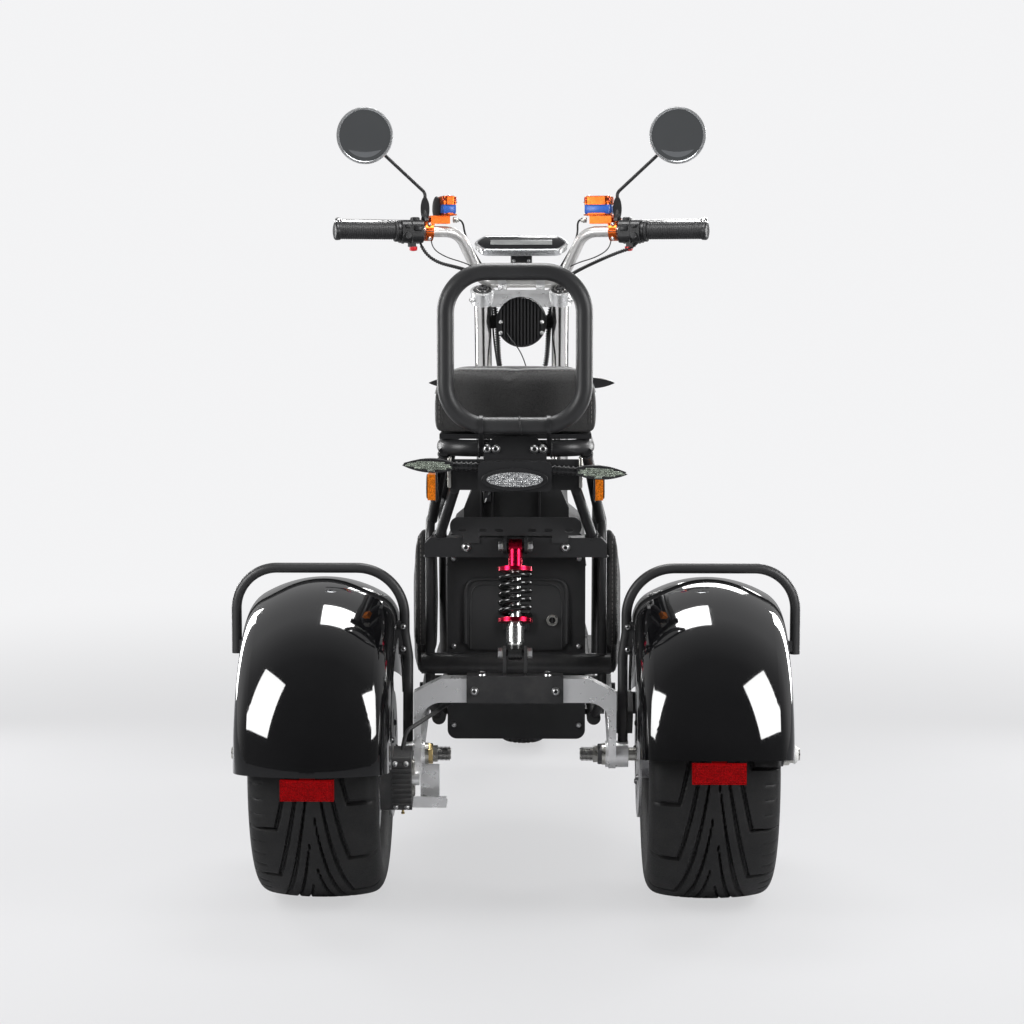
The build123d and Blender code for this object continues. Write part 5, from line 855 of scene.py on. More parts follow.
def whole_ring(part, hub, pitches):
    """Copies of one pitch set round the axle and merged into a closed ring."""
    slices = [part]
    for step in range(1, pitches):
        twin = bpy.data.objects.new("slice", part.data.copy())
        bpy.context.collection.objects.link(twin)
        turn = Matrix.Rotation(2 * math.pi * step / pitches, 4, "X")
        slices.append(moved_by(twin, Matrix.Translation(hub), turn, Matrix.Translation(-hub)))
    ring_of_slices = join(slices)
    edit_all(ring_of_slices)
    leave_edit(MERGE, False)
    return ring_of_slices


def tyre(node_name, name, body, outline, hub, pitches, steps, radius, half_tread, depth):
    """Tyre with its tread, put in place of a solid one."""
    part = tyre_slice(outline, hub, pitches, steps)
    press_tread(part, hub, radius, half_tread, pitches, depth)
    ring = settle(whole_ring(part, hub, pitches), name, "tyre_black", body, 45)
    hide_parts(node_name)
    print(name, "-", len(ring.data.polygons), "faces")
    return ring


REAR_OUTLINE = [
    (6, 238), (14, 237.9), (22, 237.6), (30, 237.2), (38, 236.7), (46, 236.1), (54, 235.3), (62, 234.3),
    (70, 233.1), (78, 231.6), (85, 229.8), (91, 227.2), (96, 223.2), (100, 217.5), (103, 210), (105, 200),
    (104, 188), (97, 172), (86, 162), (82, 155), (70, 155), (76, 182), (86, 206), (60, 222), (20, 226),
]
right_hub = Vector(((hub_low.x + hub_high.x) / 2, AXLE_Y, AXLE_Z / 1000))
rear_names = ("rear_tyre_right", "tread_rear_right", "rear_wheel_right")
rear_ring = tyre(*rear_names, REAR_OUTLINE, right_hub, 14, 36, 238.0, 94.0, 6.5)

# %% [markdown]
# The left tyre is the right one's mirror image, as on the real axle, where the arrow on each tyre must
# point the way it rolls. A mirrored mesh is inside out until its normals are made consistent again.

# %% Mirror the tread to the left wheel
def mirrored_copy(piece, name, body):
    """Copy of a finished piece on the other side of the scooter, with its normals set right."""
    only(piece)
    bpy.ops.object.duplicate()
    twin = moved_by(bpy.context.object, Matrix.Scale(-1, 4, (1, 0, 0)))
    edit_all(twin)
    leave_edit(inside=False)
    twin.name = name
    twin.data.name = name
    for tag in [key for key in twin.keys() if key.startswith("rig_")]:
        del twin[tag]
    twin.parent = None
    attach(twin, body)
    return twin


left_ring = mirrored_copy(rear_ring, "tread_rear_left", "rear_wheel_left")
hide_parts("rear_tyre_left")

# %% [markdown]
# The front tyre is half as wide. Its outline is the same idea with a rounder crown, since it leans into
# corners, and the same tool presses a finer pattern into it.

# %% Front tyre
FRONT_OUTLINE = [
    (5, 229), (12, 228.7), (19, 228.1), (26, 227), (32, 225.6), (38, 223.6), (43, 221), (47, 217.5),
    (50, 212.5), (52.5, 205), (54.6, 196), (54, 185), (49, 174), (42, 167), (38, 162), (36, 155), (24, 155),
    (28, 172), (44, 194), (38, 211), (12, 217),
]
front_hub = Vector((0, (front_low.y + front_high.y) / 2, (front_low.z + front_high.z) / 2))
tyre("front_tyre", "tread_front", "front_wheel", FRONT_OUTLINE, front_hub, 22, 24, 229.0, 47.0, 4.5)

# %% [markdown]
# ## The seat, padded by simulation
#
# A seat is foam under a leather cover that is sewn from panels. The foam pushes out, the seams hold in, and
# that fight is what the eye reads as upholstery. So we let it happen: a copy of the solid cushion is
# rebuilt as an even mesh, made a little smaller, and blown up as cloth under pressure, while the points
# along each seam are pinned. A second rule caps how far any point may move, so that the seat keeps its
# size.

# %% Helper: blow up a padded piece between its seams
CLOTH_FRAMES = 20


def inflate(pad, start, cap, pressure):
    """Blow a piece up as cloth for a few frames; no point goes further than the cap in millimetres."""
    cloth = pad.modifiers.new("cloth", "CLOTH")
    cloth.settings.use_pressure = True
    cloth.settings.uniform_pressure_force = pressure
    cloth.settings.effector_weights.gravity = 0
    cloth.settings.vertex_group_mass = "held"
    cloth.settings.tension_stiffness = 25
    cloth.settings.compression_stiffness = 25
    cloth.settings.bending_stiffness = 2
    cloth.point_cache.frame_start = 1
    cloth.point_cache.frame_end = CLOTH_FRAMES
    for moment in range(1, CLOTH_FRAMES + 1):
        bpy.context.scene.frame_set(moment)
    bpy.ops.object.modifier_apply(modifier="cloth")
    bpy.context.scene.frame_set(1)
    for point, place in zip(pad.data.vertices, start):
        move = point.co - place
        if move.length > mm(cap):
            point.co = place + move.normalized() * mm(cap)


def padded_piece(node_name, name, finish, body, voxel, shrink, cap, seam_rules, pressure=4.0):
    """Padded cover in place of a CAD node; seam_rules are tests (x, y, z in mm) for pinned points."""
    pad = bpy.data.objects.new(name, frame["nodes"][node_name].data.copy())
    bpy.context.collection.objects.link(pad)
    edit_all(pad)
    leave_edit(0.00001)
    apply(pad, "REMESH", mode="VOXEL", voxel_size=mm(voxel))
    edit_all(pad)
    bpy.ops.mesh.vertices_smooth(factor=0.5, repeat=4)
    bpy.ops.transform.shrink_fatten(value=-mm(shrink))
    leave_edit()
    start = [point.co.copy() for point in pad.data.vertices]
    held = pad.vertex_groups.new(name="held")
    for index, place in enumerate(start):
        spot = (place.x * 1000, (place.y - AXLE_Y) * 1000, place.z * 1000)
        weight = max(rule(*spot) for rule in seam_rules)
        if weight > 0:
            held.add([index], weight, "REPLACE")
    inflate(pad, start, cap, pressure)
    edit_all(pad)
    bpy.ops.mesh.vertices_smooth(factor=0.5, repeat=2)
    leave_edit()
    apply(pad, "SUBSURF", levels=1, render_levels=1)
    bpy.ops.object.shade_smooth()
    print(name, "-", len(pad.data.polygons), "faces")
    return stand_in(dressed(pad, name, finish, body), node_name)


def stand_in(pad, node_name):
    """A padded piece takes the place of a solid one."""
    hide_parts(node_name)
    return pad


def near(value, middle, half_width):
    """Weight 1 in the middle of a band, falling to 0 at its edge."""
    return max(0.0, 1.0 - abs(value - middle) / half_width)

# %% [markdown]
# The seat has a long gusset down each side, joined to the top by a seam 14 mm in from the edge, a cross
# seam where the back rises, one low along the base, and two sewn channels across the riding part.

# %% Blow up the seat
SEAM_X = 121.0
CHANNEL_YS = (150.0, 235.0, 320.0)
CROSS_SEAM_Y = 78.0
SEAT_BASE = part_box("seat_cushion")[0].z * 1000
seat = padded_piece(
    "seat_cushion", "seat_leather_cover", "seat_leather", "seat", 5.5, 4.0, 26.0,
    [
        lambda x, y, z: near(abs(x), SEAM_X, 5.0) if z > SEAT_BASE + 14 else 0.0,
        lambda x, y, z: near(z, SEAT_BASE + 4, 12.0),
        lambda x, y, z: near(z, SEAT_BASE, 6.0),
        lambda x, y, z: near(y, CROSS_SEAM_Y, 5.0) if abs(x) < SEAM_X and z > SEAT_BASE + 30 else 0.0,
        lambda x, y, z: max(0.8 * near(y, row, 4.5) for row in CHANNEL_YS)
        if abs(x) < SEAM_X - 22 and z > SEAT_BASE + 30 else 0.0,
    ],
)

# %% [markdown]
# ## Seams: cords under the leather and stitches on top
#
# Where two panels meet, the maker sews in a thin cord, called piping, and runs a line of stitches beside
# it. To find the seam on the swollen seat we cut a copy with a flat plane and keep only the cut line. That
# line becomes a round tube for the piping, and a row of short threads for the stitches.

# %% Helpers: a cut line, piping and stitches
def cut_line(piece, point, normal, wanted):
    """Ordered points of the line where a plane cuts a piece, kept where wanted(x, y, z in mm) is true."""
    only(piece)
    bpy.ops.object.duplicate()
    slice_of_it = bpy.context.object
    edit_all(slice_of_it)
    bpy.ops.mesh.bisect(plane_co=point, plane_no=normal, clear_inner=True, clear_outer=True)
    leave_edit()
    mesh = slice_of_it.data
    links = {}
    for edge in mesh.edges:
        first, second = edge.vertices
        links.setdefault(first, []).append(second)
        links.setdefault(second, []).append(first)
    good = set()
    for index in links:
        place = mesh.vertices[index].co
        if wanted(place.x * 1000, (place.y - AXLE_Y) * 1000, place.z * 1000):
            good.add(index)
    best = []
    seen = set()
    ends = [i for i in good if sum(j in good for j in links[i]) == 1] or list(good)
    for begin in ends:
        if begin in seen:
            continue
        chain = []
        onward = [begin]
        while onward:
            chain.append(onward[0])
            seen.add(onward[0])
            onward = [j for j in links[chain[-1]] if j in good and j not in seen]
        best = max(best, chain, key=len)
    line = [mesh.vertices[index].co.copy() for index in best]
    bpy.data.objects.remove(slice_of_it)
    return line


def even_points(line, spacing):
    """Points along a line at an even spacing in metres."""
    points = [line[0]]
    left_over = spacing
    for start, end in zip(line, line[1:]):
        length = (end - start).length
        walked = 0.0
        while length - walked >= left_over:
            walked += left_over
            points.append(start.lerp(end, walked / length))
            left_over = spacing
        left_over -= length - walked
    return points


def surface_normals(piece, points):
    """The surface's direction nearest each point."""
    return [piece.closest_point_on_mesh(point)[2].normalized() for point in points]


def piping(piece, line, radius, name, finish, body="chassis", sink=0.3):
    """Round cord along a line, set partly into the piece."""
    path = even_points(line, mm(6))
    ways = surface_normals(piece, path)
    path = [point - way * mm(radius * sink) for point, way in zip(path, ways)]
    return settle(tube(path, mm(radius), sides=3, resolution=2), name, finish, body, 60)


def stitch_row(piece, line, offset, name, body="chassis", length=5.0, gap=2.6, thick=0.85):
    """Short threads lying along a line, moved sideways over the surface by an offset in millimetres."""
    path = even_points(line, mm(length + gap))
    ways = surface_normals(piece, path)
    bpy.ops.mesh.primitive_cylinder_add(vertices=6, radius=mm(thick), depth=mm(length))
    thread = bpy.context.object
    select_faces(thread, lambda centre, normal: abs(normal.z) > 0.9)
    bpy.ops.transform.resize(value=(0.4, 0.4, 1.0))
    leave_edit()
    spots = []
    for here, onward, way in zip(path, path[1:], ways):
        along = (onward - here).normalized()
        side = along.cross(way).normalized()
        middle = here.lerp(onward, 0.5) + side * mm(offset)
        spot, found_way = piece.closest_point_on_mesh(middle)[1:3]
        spots.append((spot + found_way * mm(thick * 0.3), along))
    return settle(copies(thread, spots), name, "thread_grey", body, 60)

# %% [markdown]
# The long seams of the seat get leather piping. The crest at the back gets a thicker cord, 20 mm behind the
# highest point, because that is the one the eye meets first from behind; its pale grey is a painted
# highlight.

# %% Piping and stitches on the seat
for side, word in SIDES:
    seam = cut_line(seat, at(side * SEAM_X, 0, 0), (1, 0, 0), lambda x, y, z: z > SEAT_BASE + 16)
    piping(seat, seam, 1.7, "seat_piping_" + word, "seat_leather", "seat")
    stitch_row(seat, seam, side * 5.0, "seat_stitch_" + word, "seat")
crest_point = max((point.co for point in seat.data.vertices), key=lambda place: place.z)
crest = cut_line(
    seat, crest_point + Vector((0, mm(-20), 0)), (0, 1, 0), lambda x, y, z: z > crest_point.z * 1000 - 46
)
# The crest cord's pale grey is a painted highlight.
piping(seat, crest, 2.4, "seat_crest_piping", "piping_painted_highlight", "seat", 0.1)
stitch_row(seat, crest, 5.0, "seat_crest_stitch", "seat")
print("seat crest", [round(value * 1000) for value in crest_point], "mm;", len(crest), "points")

# %% [markdown]
# ## Padded side covers
#
# Beside the frame's uprights hang two leather covers with thin foam behind them. A cover is sewn all round
# to a stiff board, so only its middle swells, and a double row of stitches runs near its edge. One is made
# and mirrored, as an upholsterer would cut the pair from one pattern.

# %% Blow up the side covers
cover_low, cover_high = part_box("side_cover_right")
COVER_BOARD = cover_low.x * 1000
COVER_FACE = cover_high.x * 1000
COVER_SEAM_Y = 182.0
right_cover = padded_piece(
    "side_cover_right", "cover_skin_right", "cover_leather", "chassis", 5.0, 1.5, 7.0,
    [
        lambda x, y, z: near(x, COVER_BOARD, 9.0),
        lambda x, y, z: near(y, COVER_SEAM_Y, 5.0) if x > COVER_FACE - 8 else 0.0,
    ], 3.0,
)
left_cover = mirrored_copy(right_cover, "cover_skin_left", "chassis")
stand_in(left_cover, "side_cover_left")
for cover, side, word in ((right_cover, 1, "right"), (left_cover, -1, "left")):
    hem = cut_line(cover, at(side * (COVER_FACE - 7), 0, 0), (1, 0, 0), lambda x, y, z: True)
    piping(cover, hem, 1.5, "cover_piping_" + word, "cover_leather")
    stitch_row(cover, hem, 4.5, "cover_stitch_inner_" + word)
    stitch_row(cover, hem, -4.5, "cover_stitch_outer_" + word)

# %% [markdown]
# ## Screws, bolts and nuts
#
# Fasteners are small, but they tell us how big everything is. One button-head screw with a hex socket is
# modelled once: a cylinder whose top edge is rounded by a bevel, and whose middle is inset and pushed down.
# `screws` then puts one at every place where a screw holds something.

# %% Patterns for fasteners
BACK = (0, -1, 0)
AHEAD = (0, 1, 0)
UP = (0, 0, 1)
DOWN = (0, 0, -1)
LEFT = (-1, 0, 0)
RIGHT = (1, 0, 0)


def cylinder(vertices, radius, height, lift=0.0):
    """Upright cylinder on the Z axis, its middle lifted; sizes in millimetres."""
    bpy.ops.mesh.primitive_cylinder_add(vertices=vertices, radius=mm(radius), depth=mm(height))
    made = only(bpy.context.object)
    made.location.z = mm(lift)
    bpy.ops.object.transform_apply(location=True)
    return made


def bored(piece, tool):
    """Cut a tool's shape out of a piece; the tool goes."""
    apply(piece, "BOOLEAN", object=tool, operation="DIFFERENCE")
    bpy.data.objects.remove(tool)
    return piece


def button_screw(radius, height, socket=0.45):
    """Button-head screw with a hexagonal socket, standing on the origin along Z."""
    screw = cylinder(24, radius, height, height / 2)
    select_faces(screw, lambda centre, normal: normal.z > 0.9)
    bpy.ops.transform.resize(value=(0.66, 0.66, 1))
    bpy.ops.mesh.bevel(offset=mm(height * 0.3), segments=3)
    leave_edit()
    return bored(screw, cylinder(6, radius * socket, height, height))


def hex_nut(radius, height, hole=0.5):
    """Hexagon nut with a round hole through it, standing on the origin along Z."""
    nut = cylinder(6, radius, height, height / 2)
    select_faces(nut, lambda centre, normal: abs(normal.z) > 0.9)
    bpy.ops.mesh.bevel(offset=mm(height * 0.1), segments=2)
    leave_edit()
    return bored(nut, cylinder(24, radius * hole, height * 3))


def soften(piece, width, segments=2, angle=40):
    """Round every edge sharper than an angle by a width in millimetres."""
    limit = {"limit_method": "ANGLE", "angle_limit": math.radians(angle)}
    return apply(piece, "BEVEL", width=mm(width), segments=segments, **limit)


def ring(inner, outer, height, sides=48, edge=0.4):
    """Flat ring with rounded edges, standing on the origin along Z."""
    bpy.ops.mesh.primitive_circle_add(vertices=sides, radius=mm(inner))
    band = bpy.context.object
    edit_all(band)
    bpy.ops.mesh.select_mode(type="VERT")
    bpy.ops.mesh.select_all(action="SELECT")
    bpy.ops.mesh.extrude_region_move()
    bpy.ops.transform.resize(value=(outer / inner, outer / inner, 1))
    bpy.ops.mesh.select_all(action="SELECT")
    bpy.ops.mesh.extrude_region_move(TRANSFORM_OT_translate={"value": (0, 0, mm(height))})
    leave_edit(inside=False)
    return soften(band, edge)


def plate(size, place, edge=1.0, segments=2):
    """Block of a size in millimetres with rounded edges, its middle at a place in metres."""
    bpy.ops.mesh.primitive_cube_add(size=1)
    block = bpy.context.object
    block.scale = [mm(value) for value in size]
    block.location = place
    only(block)
    bpy.ops.object.transform_apply(location=True, scale=True)
    return soften(block, edge, segments)


def screws(radius, height, spots, name, body="chassis", finish="bright_screw"):
    """Button-head screws at places, each with the direction that its head faces."""
    return settle(copies(button_screw(radius, height), spots), name, finish, body)


def pair(right, ahead, up, way=None):
    """The same spot on both sides, facing a direction, or outwards where none is given."""
    return [(at(side * right, ahead, up), way or (side, 0, 0)) for side in BOTH]

# %% [markdown]
# The beam behind the seat post, the swing arch and the guard hoops are bolted through. Each list below says
# how far right, ahead and up the screws sit; `pair` sets one on each side.

# %% Screws on the frame
BEAM_MIDDLE = 579.5
spots = pair(22, 58, BEAM_MIDDLE, BACK) + pair(84, 58, BEAM_MIDDLE, BACK)
screws(7.6, 5.6, spots + pair(32, -27, 752, BACK) + pair(46, -27, 752, BACK), "frame_screws")
screws(7.0, 6.6, pair(67.2, -47, 352, BACK) + pair(54.4, -37, 377, UP), "arch_screws")
spots = [(at(side * 188, 13, z), BACK) for side in BOTH for z in (413, 451)]
spots += [(at(side * 188, 27, z), AHEAD) for side in BOTH for z in (413, 451)]
screws(5.4, 5.0, spots, "hoop_screws")

# %% [markdown]
# The shock absorber hangs on two long bolts. Each has a hexagon head on the left, a nut on the right and a
# washer under both. Beside the wheels the axles end in nuts: brass on the left wheel's inner side, black on
# the right, and a round white cap over each outer end.

# %% Nuts and washers on the long bolts and axles
for name, ahead, up in (("lower", -22, 412), ("upper", 20, 586)):
    settle(copies(ring(5.2, 9.5, 1.8), pair(20.2, ahead, up)), "shock_washers_" + name, "zinc_steel")
    settle(copies(hex_nut(8.6, 6.4, 0.56), pair(22, ahead, up)), "shock_nuts_" + name, "bright_screw")

for (side, word), finish in zip(SIDES, ("brass", "dark_steel")):
    put(hex_nut(17.5, 13.0, 0.62), at(side * 150.8, 0, AXLE_Z), (-side, 0, 0), "axle_nut_" + word, finish)
    threads = [(at(side * (110 + 2.2 * turn), 0, AXLE_Z), (side, 0, 0)) for turn in range(12)]
    settle(copies(ring(9.0, 11.7, 1.2, 32, 0.3), threads), "axle_thread_" + word, "dark_steel")
    bpy.ops.mesh.primitive_uv_sphere_add(segments=32, ring_count=16, radius=mm(15.4))
    cap = only(bpy.context.object)
    cap.scale.z = 0.55
    bpy.ops.object.transform_apply(scale=True)
    put(cap, at(side * 467.2, 0, AXLE_Z), (side, 0, 0), "axle_cap_" + word, "cap_white", angle=60)
settle(copies(hex_nut(18.6, 11.0, 0.6), pair(448.2, 0, AXLE_Z)), "outer_axle_nuts", "zinc_steel")

# %% [markdown]
# ## The battery case and what is fixed to it
#
# The back of the case carries a ridge in the shape of a U turned upside down. A line of points with rounded
# corners becomes a tube, and a flattened tube sunk halfway into the panel is exactly such a moulded ridge.

# %% Ridge, latch and port on the back of the case
PANEL_Y = 127.0
RIDGE_FLATNESS = 0.8


def flat_ridge(points, radius, name):
    """Moulded ridge along points (right, up) on the back panel, flattened along the way it faces."""
    ridge = tube([at(right, PANEL_Y, up) for right, up in points], mm(radius), sides=2, resolution=10)
    middle = at(0, PANEL_Y, 0).y
    for point in ridge.data.vertices:
        point.co.y = middle + (point.co.y - middle) * RIDGE_FLATNESS
    settle(ridge, name, "case_black", angle=50)


arch = [(-88, 405), (-88, 470), (-87, 500), (-78, 515), (-58, 517)]
arch += [(-right, up) for right, up in reversed(arch)]
flat_ridge(arch, 3.2, "case_ridge")
flat_ridge([(right * 0.9, up - 9) for right, up in arch], 1.6, "case_ridge_inner")
for name, size, right, out, edge, segments, finish in (
    ("case_port_housing", (46, 16, 34), 0, 4, 3.0, 3, "case_black"),
    ("case_port_lid", (36, 4, 24), 0, 14, 1.4, 2, "lamp_plastic"),
    ("case_lock_slot", (2.2, 4, 8), 62, 2, 0.4, 2, "dark_steel"),
):
    settle(plate(size, at(right, PANEL_Y - out, 446), edge, segments), name, finish)
hinge = tube([at(right, PANEL_Y - 14, 459) for right in (-16, 16)], mm(2.2))
settle(hinge, "case_port_hinge", "dark_steel")
put(ring(5.5, 10.0, 5.0, 32, 1.0), at(62, PANEL_Y, 446), BACK, "case_lock", "zinc_steel")
screws(4.6, 3.4, [(at(side * 108, 130, z), BACK) for side in BOTH for z in (262, 400, 552)], "case_screws")
for side, word in SIDES:
    seam = tube([at(side * 119.2, ahead, 540) for ahead in (140, 555)], mm(1.6))
    settle(seam, "case_seam_" + word, "case_black", angle=60)

# %% [markdown]
# Above the beam the case gets narrower. Two upright rails and a small sprung catch hold the battery in, and
# a curl of wire runs from the tail lamp down behind them.

# %% Rails and catch on the neck of the case
for right in (-60, -41, 40):
    settle(plate((4, 9, 62), at(right, 126, 652), 1.2), "neck_rail_%d" % (right + 60), "satin_black")
settle(plate((14, 10, 20), at(-50, 124, 660), 2.0), "neck_catch", "dark_steel")
loop = [(-56, 120, 668), (-50, 112, 676), (-44, 118, 668), (-50, 122, 660), (-54, 118, 650)]
settle(tube([at(*point) for point in loop], mm(1.5)), "neck_spring", "bright_screw", angle=60)

# %% [markdown]
# ## Weld beads
#
# Steel tubes are joined by a bead of melted metal that lies like a row of coins. A ring of short, fat tube
# pieces would be heavy, so the bead is one tube whose control points step in and out a little.

# %% Weld beads round the tubes
def weld(middle, direction, radius, name, bead=2.2, turns=26):
    """Bead round a tube at a place, across a direction; sizes in millimetres."""
    facing = turn_towards(direction)
    knots = []
    for step in range(turns * 2):
        angle = math.pi * step / turns
        reach = mm(radius + (0.5 if step % 2 else -0.2))
        spot = Vector((reach * math.cos(angle), reach * math.sin(angle), 0))
        knots.append(Vector(middle) + facing @ spot)
    settle(tube(knots, mm(bead), sides=1, closed=True, resolution=2), name, "frame_black", angle=60)


for side, word in SIDES:
    weld(at(side * 147, 100, 391), UP, 8.4, "weld_cross_" + word)
    weld(at(side * 147, 100, 560), UP, 8.4, "weld_beam_low_" + word)
    weld(at(side * 118, 8, 740), (-side * 0.2, -0.75, 0.95), 9.4, "weld_post_" + word)
    weld(at(side * 128, 66, 600), (-side * 0.32, -0.66, 0.68), 9.6, "weld_strut_" + word)
    weld(at(side * 59.5, -10, 752), RIGHT, 14.2, "weld_lug_" + word, 1.8, 28)
weld(at(9, -54, 792), (1, 0, 0.12), 14.2, "weld_grab_bar", 1.6, 30)

# %% [markdown]
# ## Deck mat
#
# The deck has a rubber mat with long ribs, so that a boot with mud on it still holds. One rib is made and
# an array repeats it. Six screws hold the mat down.

# %% Deck mat, ribs and screws
DECK_TOP = 296.0
DECK_MIDDLE = 768
settle(plate((296, 336, 3), at(0, DECK_MIDDLE, DECK_TOP + 1.2), 1.2), "deck_mat", "deck_rubber")
rib = plate((5, 316, 3), at(-138, DECK_MIDDLE, DECK_TOP + 3.4), 1.2)
apply(
    rib, "ARRAY", count=24, use_relative_offset=False, use_constant_offset=True,
    constant_offset_displace=(mm(12), 0, 0),
)
settle(rib, "deck_mat_ribs", "deck_rubber")
spots = [(at(side * 155, y, DECK_TOP), UP) for side in BOTH for y in (610, DECK_MIDDLE, 925)]
screws(5.0, 3.4, spots, "deck_screws")

# %% [markdown]
# ## Lights and reflectors at the back
#
# The tail lamp's lens is cut like crystal: a field of small pyramids catches the light. We start from a
# grid inside the oval, lift the middle of every little square, and let the flat facets stay flat. The
# signals have the same crystal, smoked green, under a thin black shell.

# %% Crystal field under the tail lens
def crystal(half_width, half_height, step, depth, outline):
    """Flat field of small pyramids facing backwards, kept where outline(right, up in mm) is true."""
    bpy.ops.mesh.primitive_grid_add(
        x_subdivisions=int(2 * half_width / step), y_subdivisions=int(2 * half_height / step), size=2
    )
    field = only(bpy.context.object)
    field.scale = (mm(half_width), mm(half_height), 1)
    bpy.ops.object.transform_apply(scale=True)
    select_faces(field, lambda centre, normal: not outline(centre.x * 1000, centre.y * 1000))
    bpy.ops.mesh.delete(type="FACE")
    bpy.ops.mesh.select_all(action="SELECT")
    bpy.ops.mesh.poke(offset=mm(depth))
    leave_edit()
    return moved_by(field, Matrix.Rotation(math.pi / 2, 4, "X"))


TAIL_UP = 705
field = crystal(45, 12, 3.2, 2.0, lambda x, z: (x / 43.5) ** 2 + (z / 10.6) ** 2 < 1)
moved_by(field, Matrix.Translation(at(0, -75.2, TAIL_UP)))
dressed(field, "tail_crystal", "crystal_lens", "chassis")
turns = [math.radians(10 * step) for step in range(36)]
rim = tube([at(53 * math.cos(t), -69, TAIL_UP + 17.5 * math.sin(t)) for t in turns], mm(1.4), closed=True)
settle(rim, "tail_lamp_rim", "lamp_plastic", angle=60)

# %% [markdown]
# Each signal is a pointed leaf. The lens covers its rear part, and a thin black tube follows the leaf's
# edge above it like an eyelid and below it like a keel. `on_signal` follows the leaf's slight droop
# outwards.

# %% Smoked crystal and a shell edge on the rear signals
SIGNAL_TILT = math.radians(2.3)
LEAF_START = 102
LEAF_EDGE = ((-2, 5), (14, 8.4), (36, 10.2), (60, 7), (79, 0.6))


def on_signal(side, out, back, rise):
    """Point on a rear signal: out along the leaf, behind its middle, and rise above its middle line."""
    right = side * (LEAF_START + out)
    return at(right, -46 - back, 722 + rise - right * math.sin(SIGNAL_TILT))


for side, word in SIDES:
    lens = crystal(
        38, 10, 3.0, 1.5,
        lambda x, z: abs(z + 0.4) < 8.6 * math.sin(math.pi * min(1.0, (x + 40) / 84) ** 0.8) - 0.4,
    )
    place = Matrix.Translation(on_signal(side, 39, 15.4, -0.5))
    moved_by(lens, place, Matrix.Rotation(SIGNAL_TILT, 4, "Y"), Matrix.Scale(side, 4, (1, 0, 0)))
    edit_all(lens)
    leave_edit(inside=side < 0)
    dressed(lens, "signal_crystal_" + word, "smoked_lens", "chassis")
    for name, sign, radius in (("signal_lid_", 1, 1.6), ("signal_keel_", -1, 1.1)):
        edge = tube([on_signal(side, x, 14.6, sign * z) for x, z in LEAF_EDGE], mm(radius))
        settle(edge, name + word, "lamp_plastic", angle=60)

# %% [markdown]
# Reflectors are moulded with a field of tiny corner prisms, which is why they glow in headlights. Ours get
# the same crystal, much finer and flatter; their faint glow here is painted light in their finish. The
# field's place is measured on the left reflector itself; the right guard is turned a little about the axle,
# and its reflector with it.

# %% Prisms on the reflectors
RED_HEIGHT = 33.0
GUARD_TURN = 5.5
reflectors = bpy.data.objects["rear_reflectors"]
on_left = [vertex.co for vertex in reflectors.data.vertices if vertex.co.x < 0]
red_y = min(place.y for place in on_left)
red_up = min(place.z for place in on_left) * 1000 + RED_HEIGHT / 2
axle = Matrix.Translation(at(0, 0, AXLE_Z))
for side, word in SIDES:
    turn = math.radians(-GUARD_TURN) if word == "right" else 0.0
    prisms = crystal(40, 14.4, 2.6, 0.7, lambda x, z: True)
    moved_by(prisms, Matrix.Translation(at(side * WHEEL_X, 0, red_up)))
    moved_by(prisms, Matrix.Translation((0, red_y - prisms.data.vertices[0].co.y - mm(0.2), 0)))
    moved_by(prisms, axle, Matrix.Rotation(turn, 4, "X"), axle.inverted())
    dressed(prisms, "red_prisms_" + word, "red_reflector", "chassis")

# %% [markdown]
# The bracket's wings are folded forwards at their ends. The folds catch the light as two thin pale edges.

# %% Bracket folds
folds = [plate((6, 32, 50), at(side * 108, -18, 713), 1.6, 3) for side in BOTH]
settle(join(folds), "bracket_folds", "zinc_steel")

# %% [markdown]
# ## Turned parts
#
# Caps, knobs, collars and seals are turned on a lathe. We do the same: a half profile is drawn as a line of
# (radius, height) points and spun round the Z axis, then put where it belongs.

# %% Helper: lathe
def lathe(profile, steps=48, edge=0.0):
    """Body turned round Z from (radius, height) points in millimetres."""
    body = as_mesh(curve("profile", "POLY", [(mm(radius), 0, mm(height)) for radius, height in profile])[0])
    edit_all(body)
    bpy.ops.mesh.spin(steps=steps, angle=2 * math.pi, center=(0, 0, 0), axis=(0, 0, 1))
    leave_edit(MERGE, False)
    return soften(body, edge) if edge else body

# %% [markdown]
# ## Handlebar controls
#
# The ends of the bar point outwards and a little back. `on_grip` finds a point from how far right it lies
# along that line, how far above it and how far ahead of it, so that each control can be placed in the terms
# a mechanic would use.

# %% Where things sit along a grip
GRIP_START = Vector((128.0, 913.6, 1130.1))
GRIP_WAY = Vector((240.0, -73.6, 0.0)).normalized()
GRIP_AHEAD = Vector((-GRIP_WAY.y, GRIP_WAY.x, 0.0))


def on_grip(side, right, up=0.0, ahead=0.0):
    """Point by the right or left grip's axis, in metres."""
    along = (right - GRIP_START.x) / GRIP_WAY.x
    point = GRIP_START + GRIP_WAY * along + GRIP_AHEAD * ahead
    return at(side * point.x, point.y, point.z + up)


def grip_way(side):
    """Direction along a grip towards its outer end."""
    return Vector((side * GRIP_WAY.x, GRIP_WAY.y, 0))


def behind_grip(side):
    """Direction across a grip, backwards."""
    return Vector((-side * GRIP_AHEAD.x, -GRIP_AHEAD.y, 0))


def grip_block(size, side, right, up, ahead, edge, name, finish):
    """Rounded block (across, along, high in mm) lined up with a grip and finished."""
    block = plate((size[1], size[0], size[2]), (0, 0, 0), edge)
    turn = Matrix.Rotation(math.atan2(GRIP_WAY.y, side * GRIP_WAY.x), 4, "Z")
    moved_by(block, Matrix.Translation(on_grip(side, right, up, ahead)), turn)
    return settle(block, name, finish, "steering")


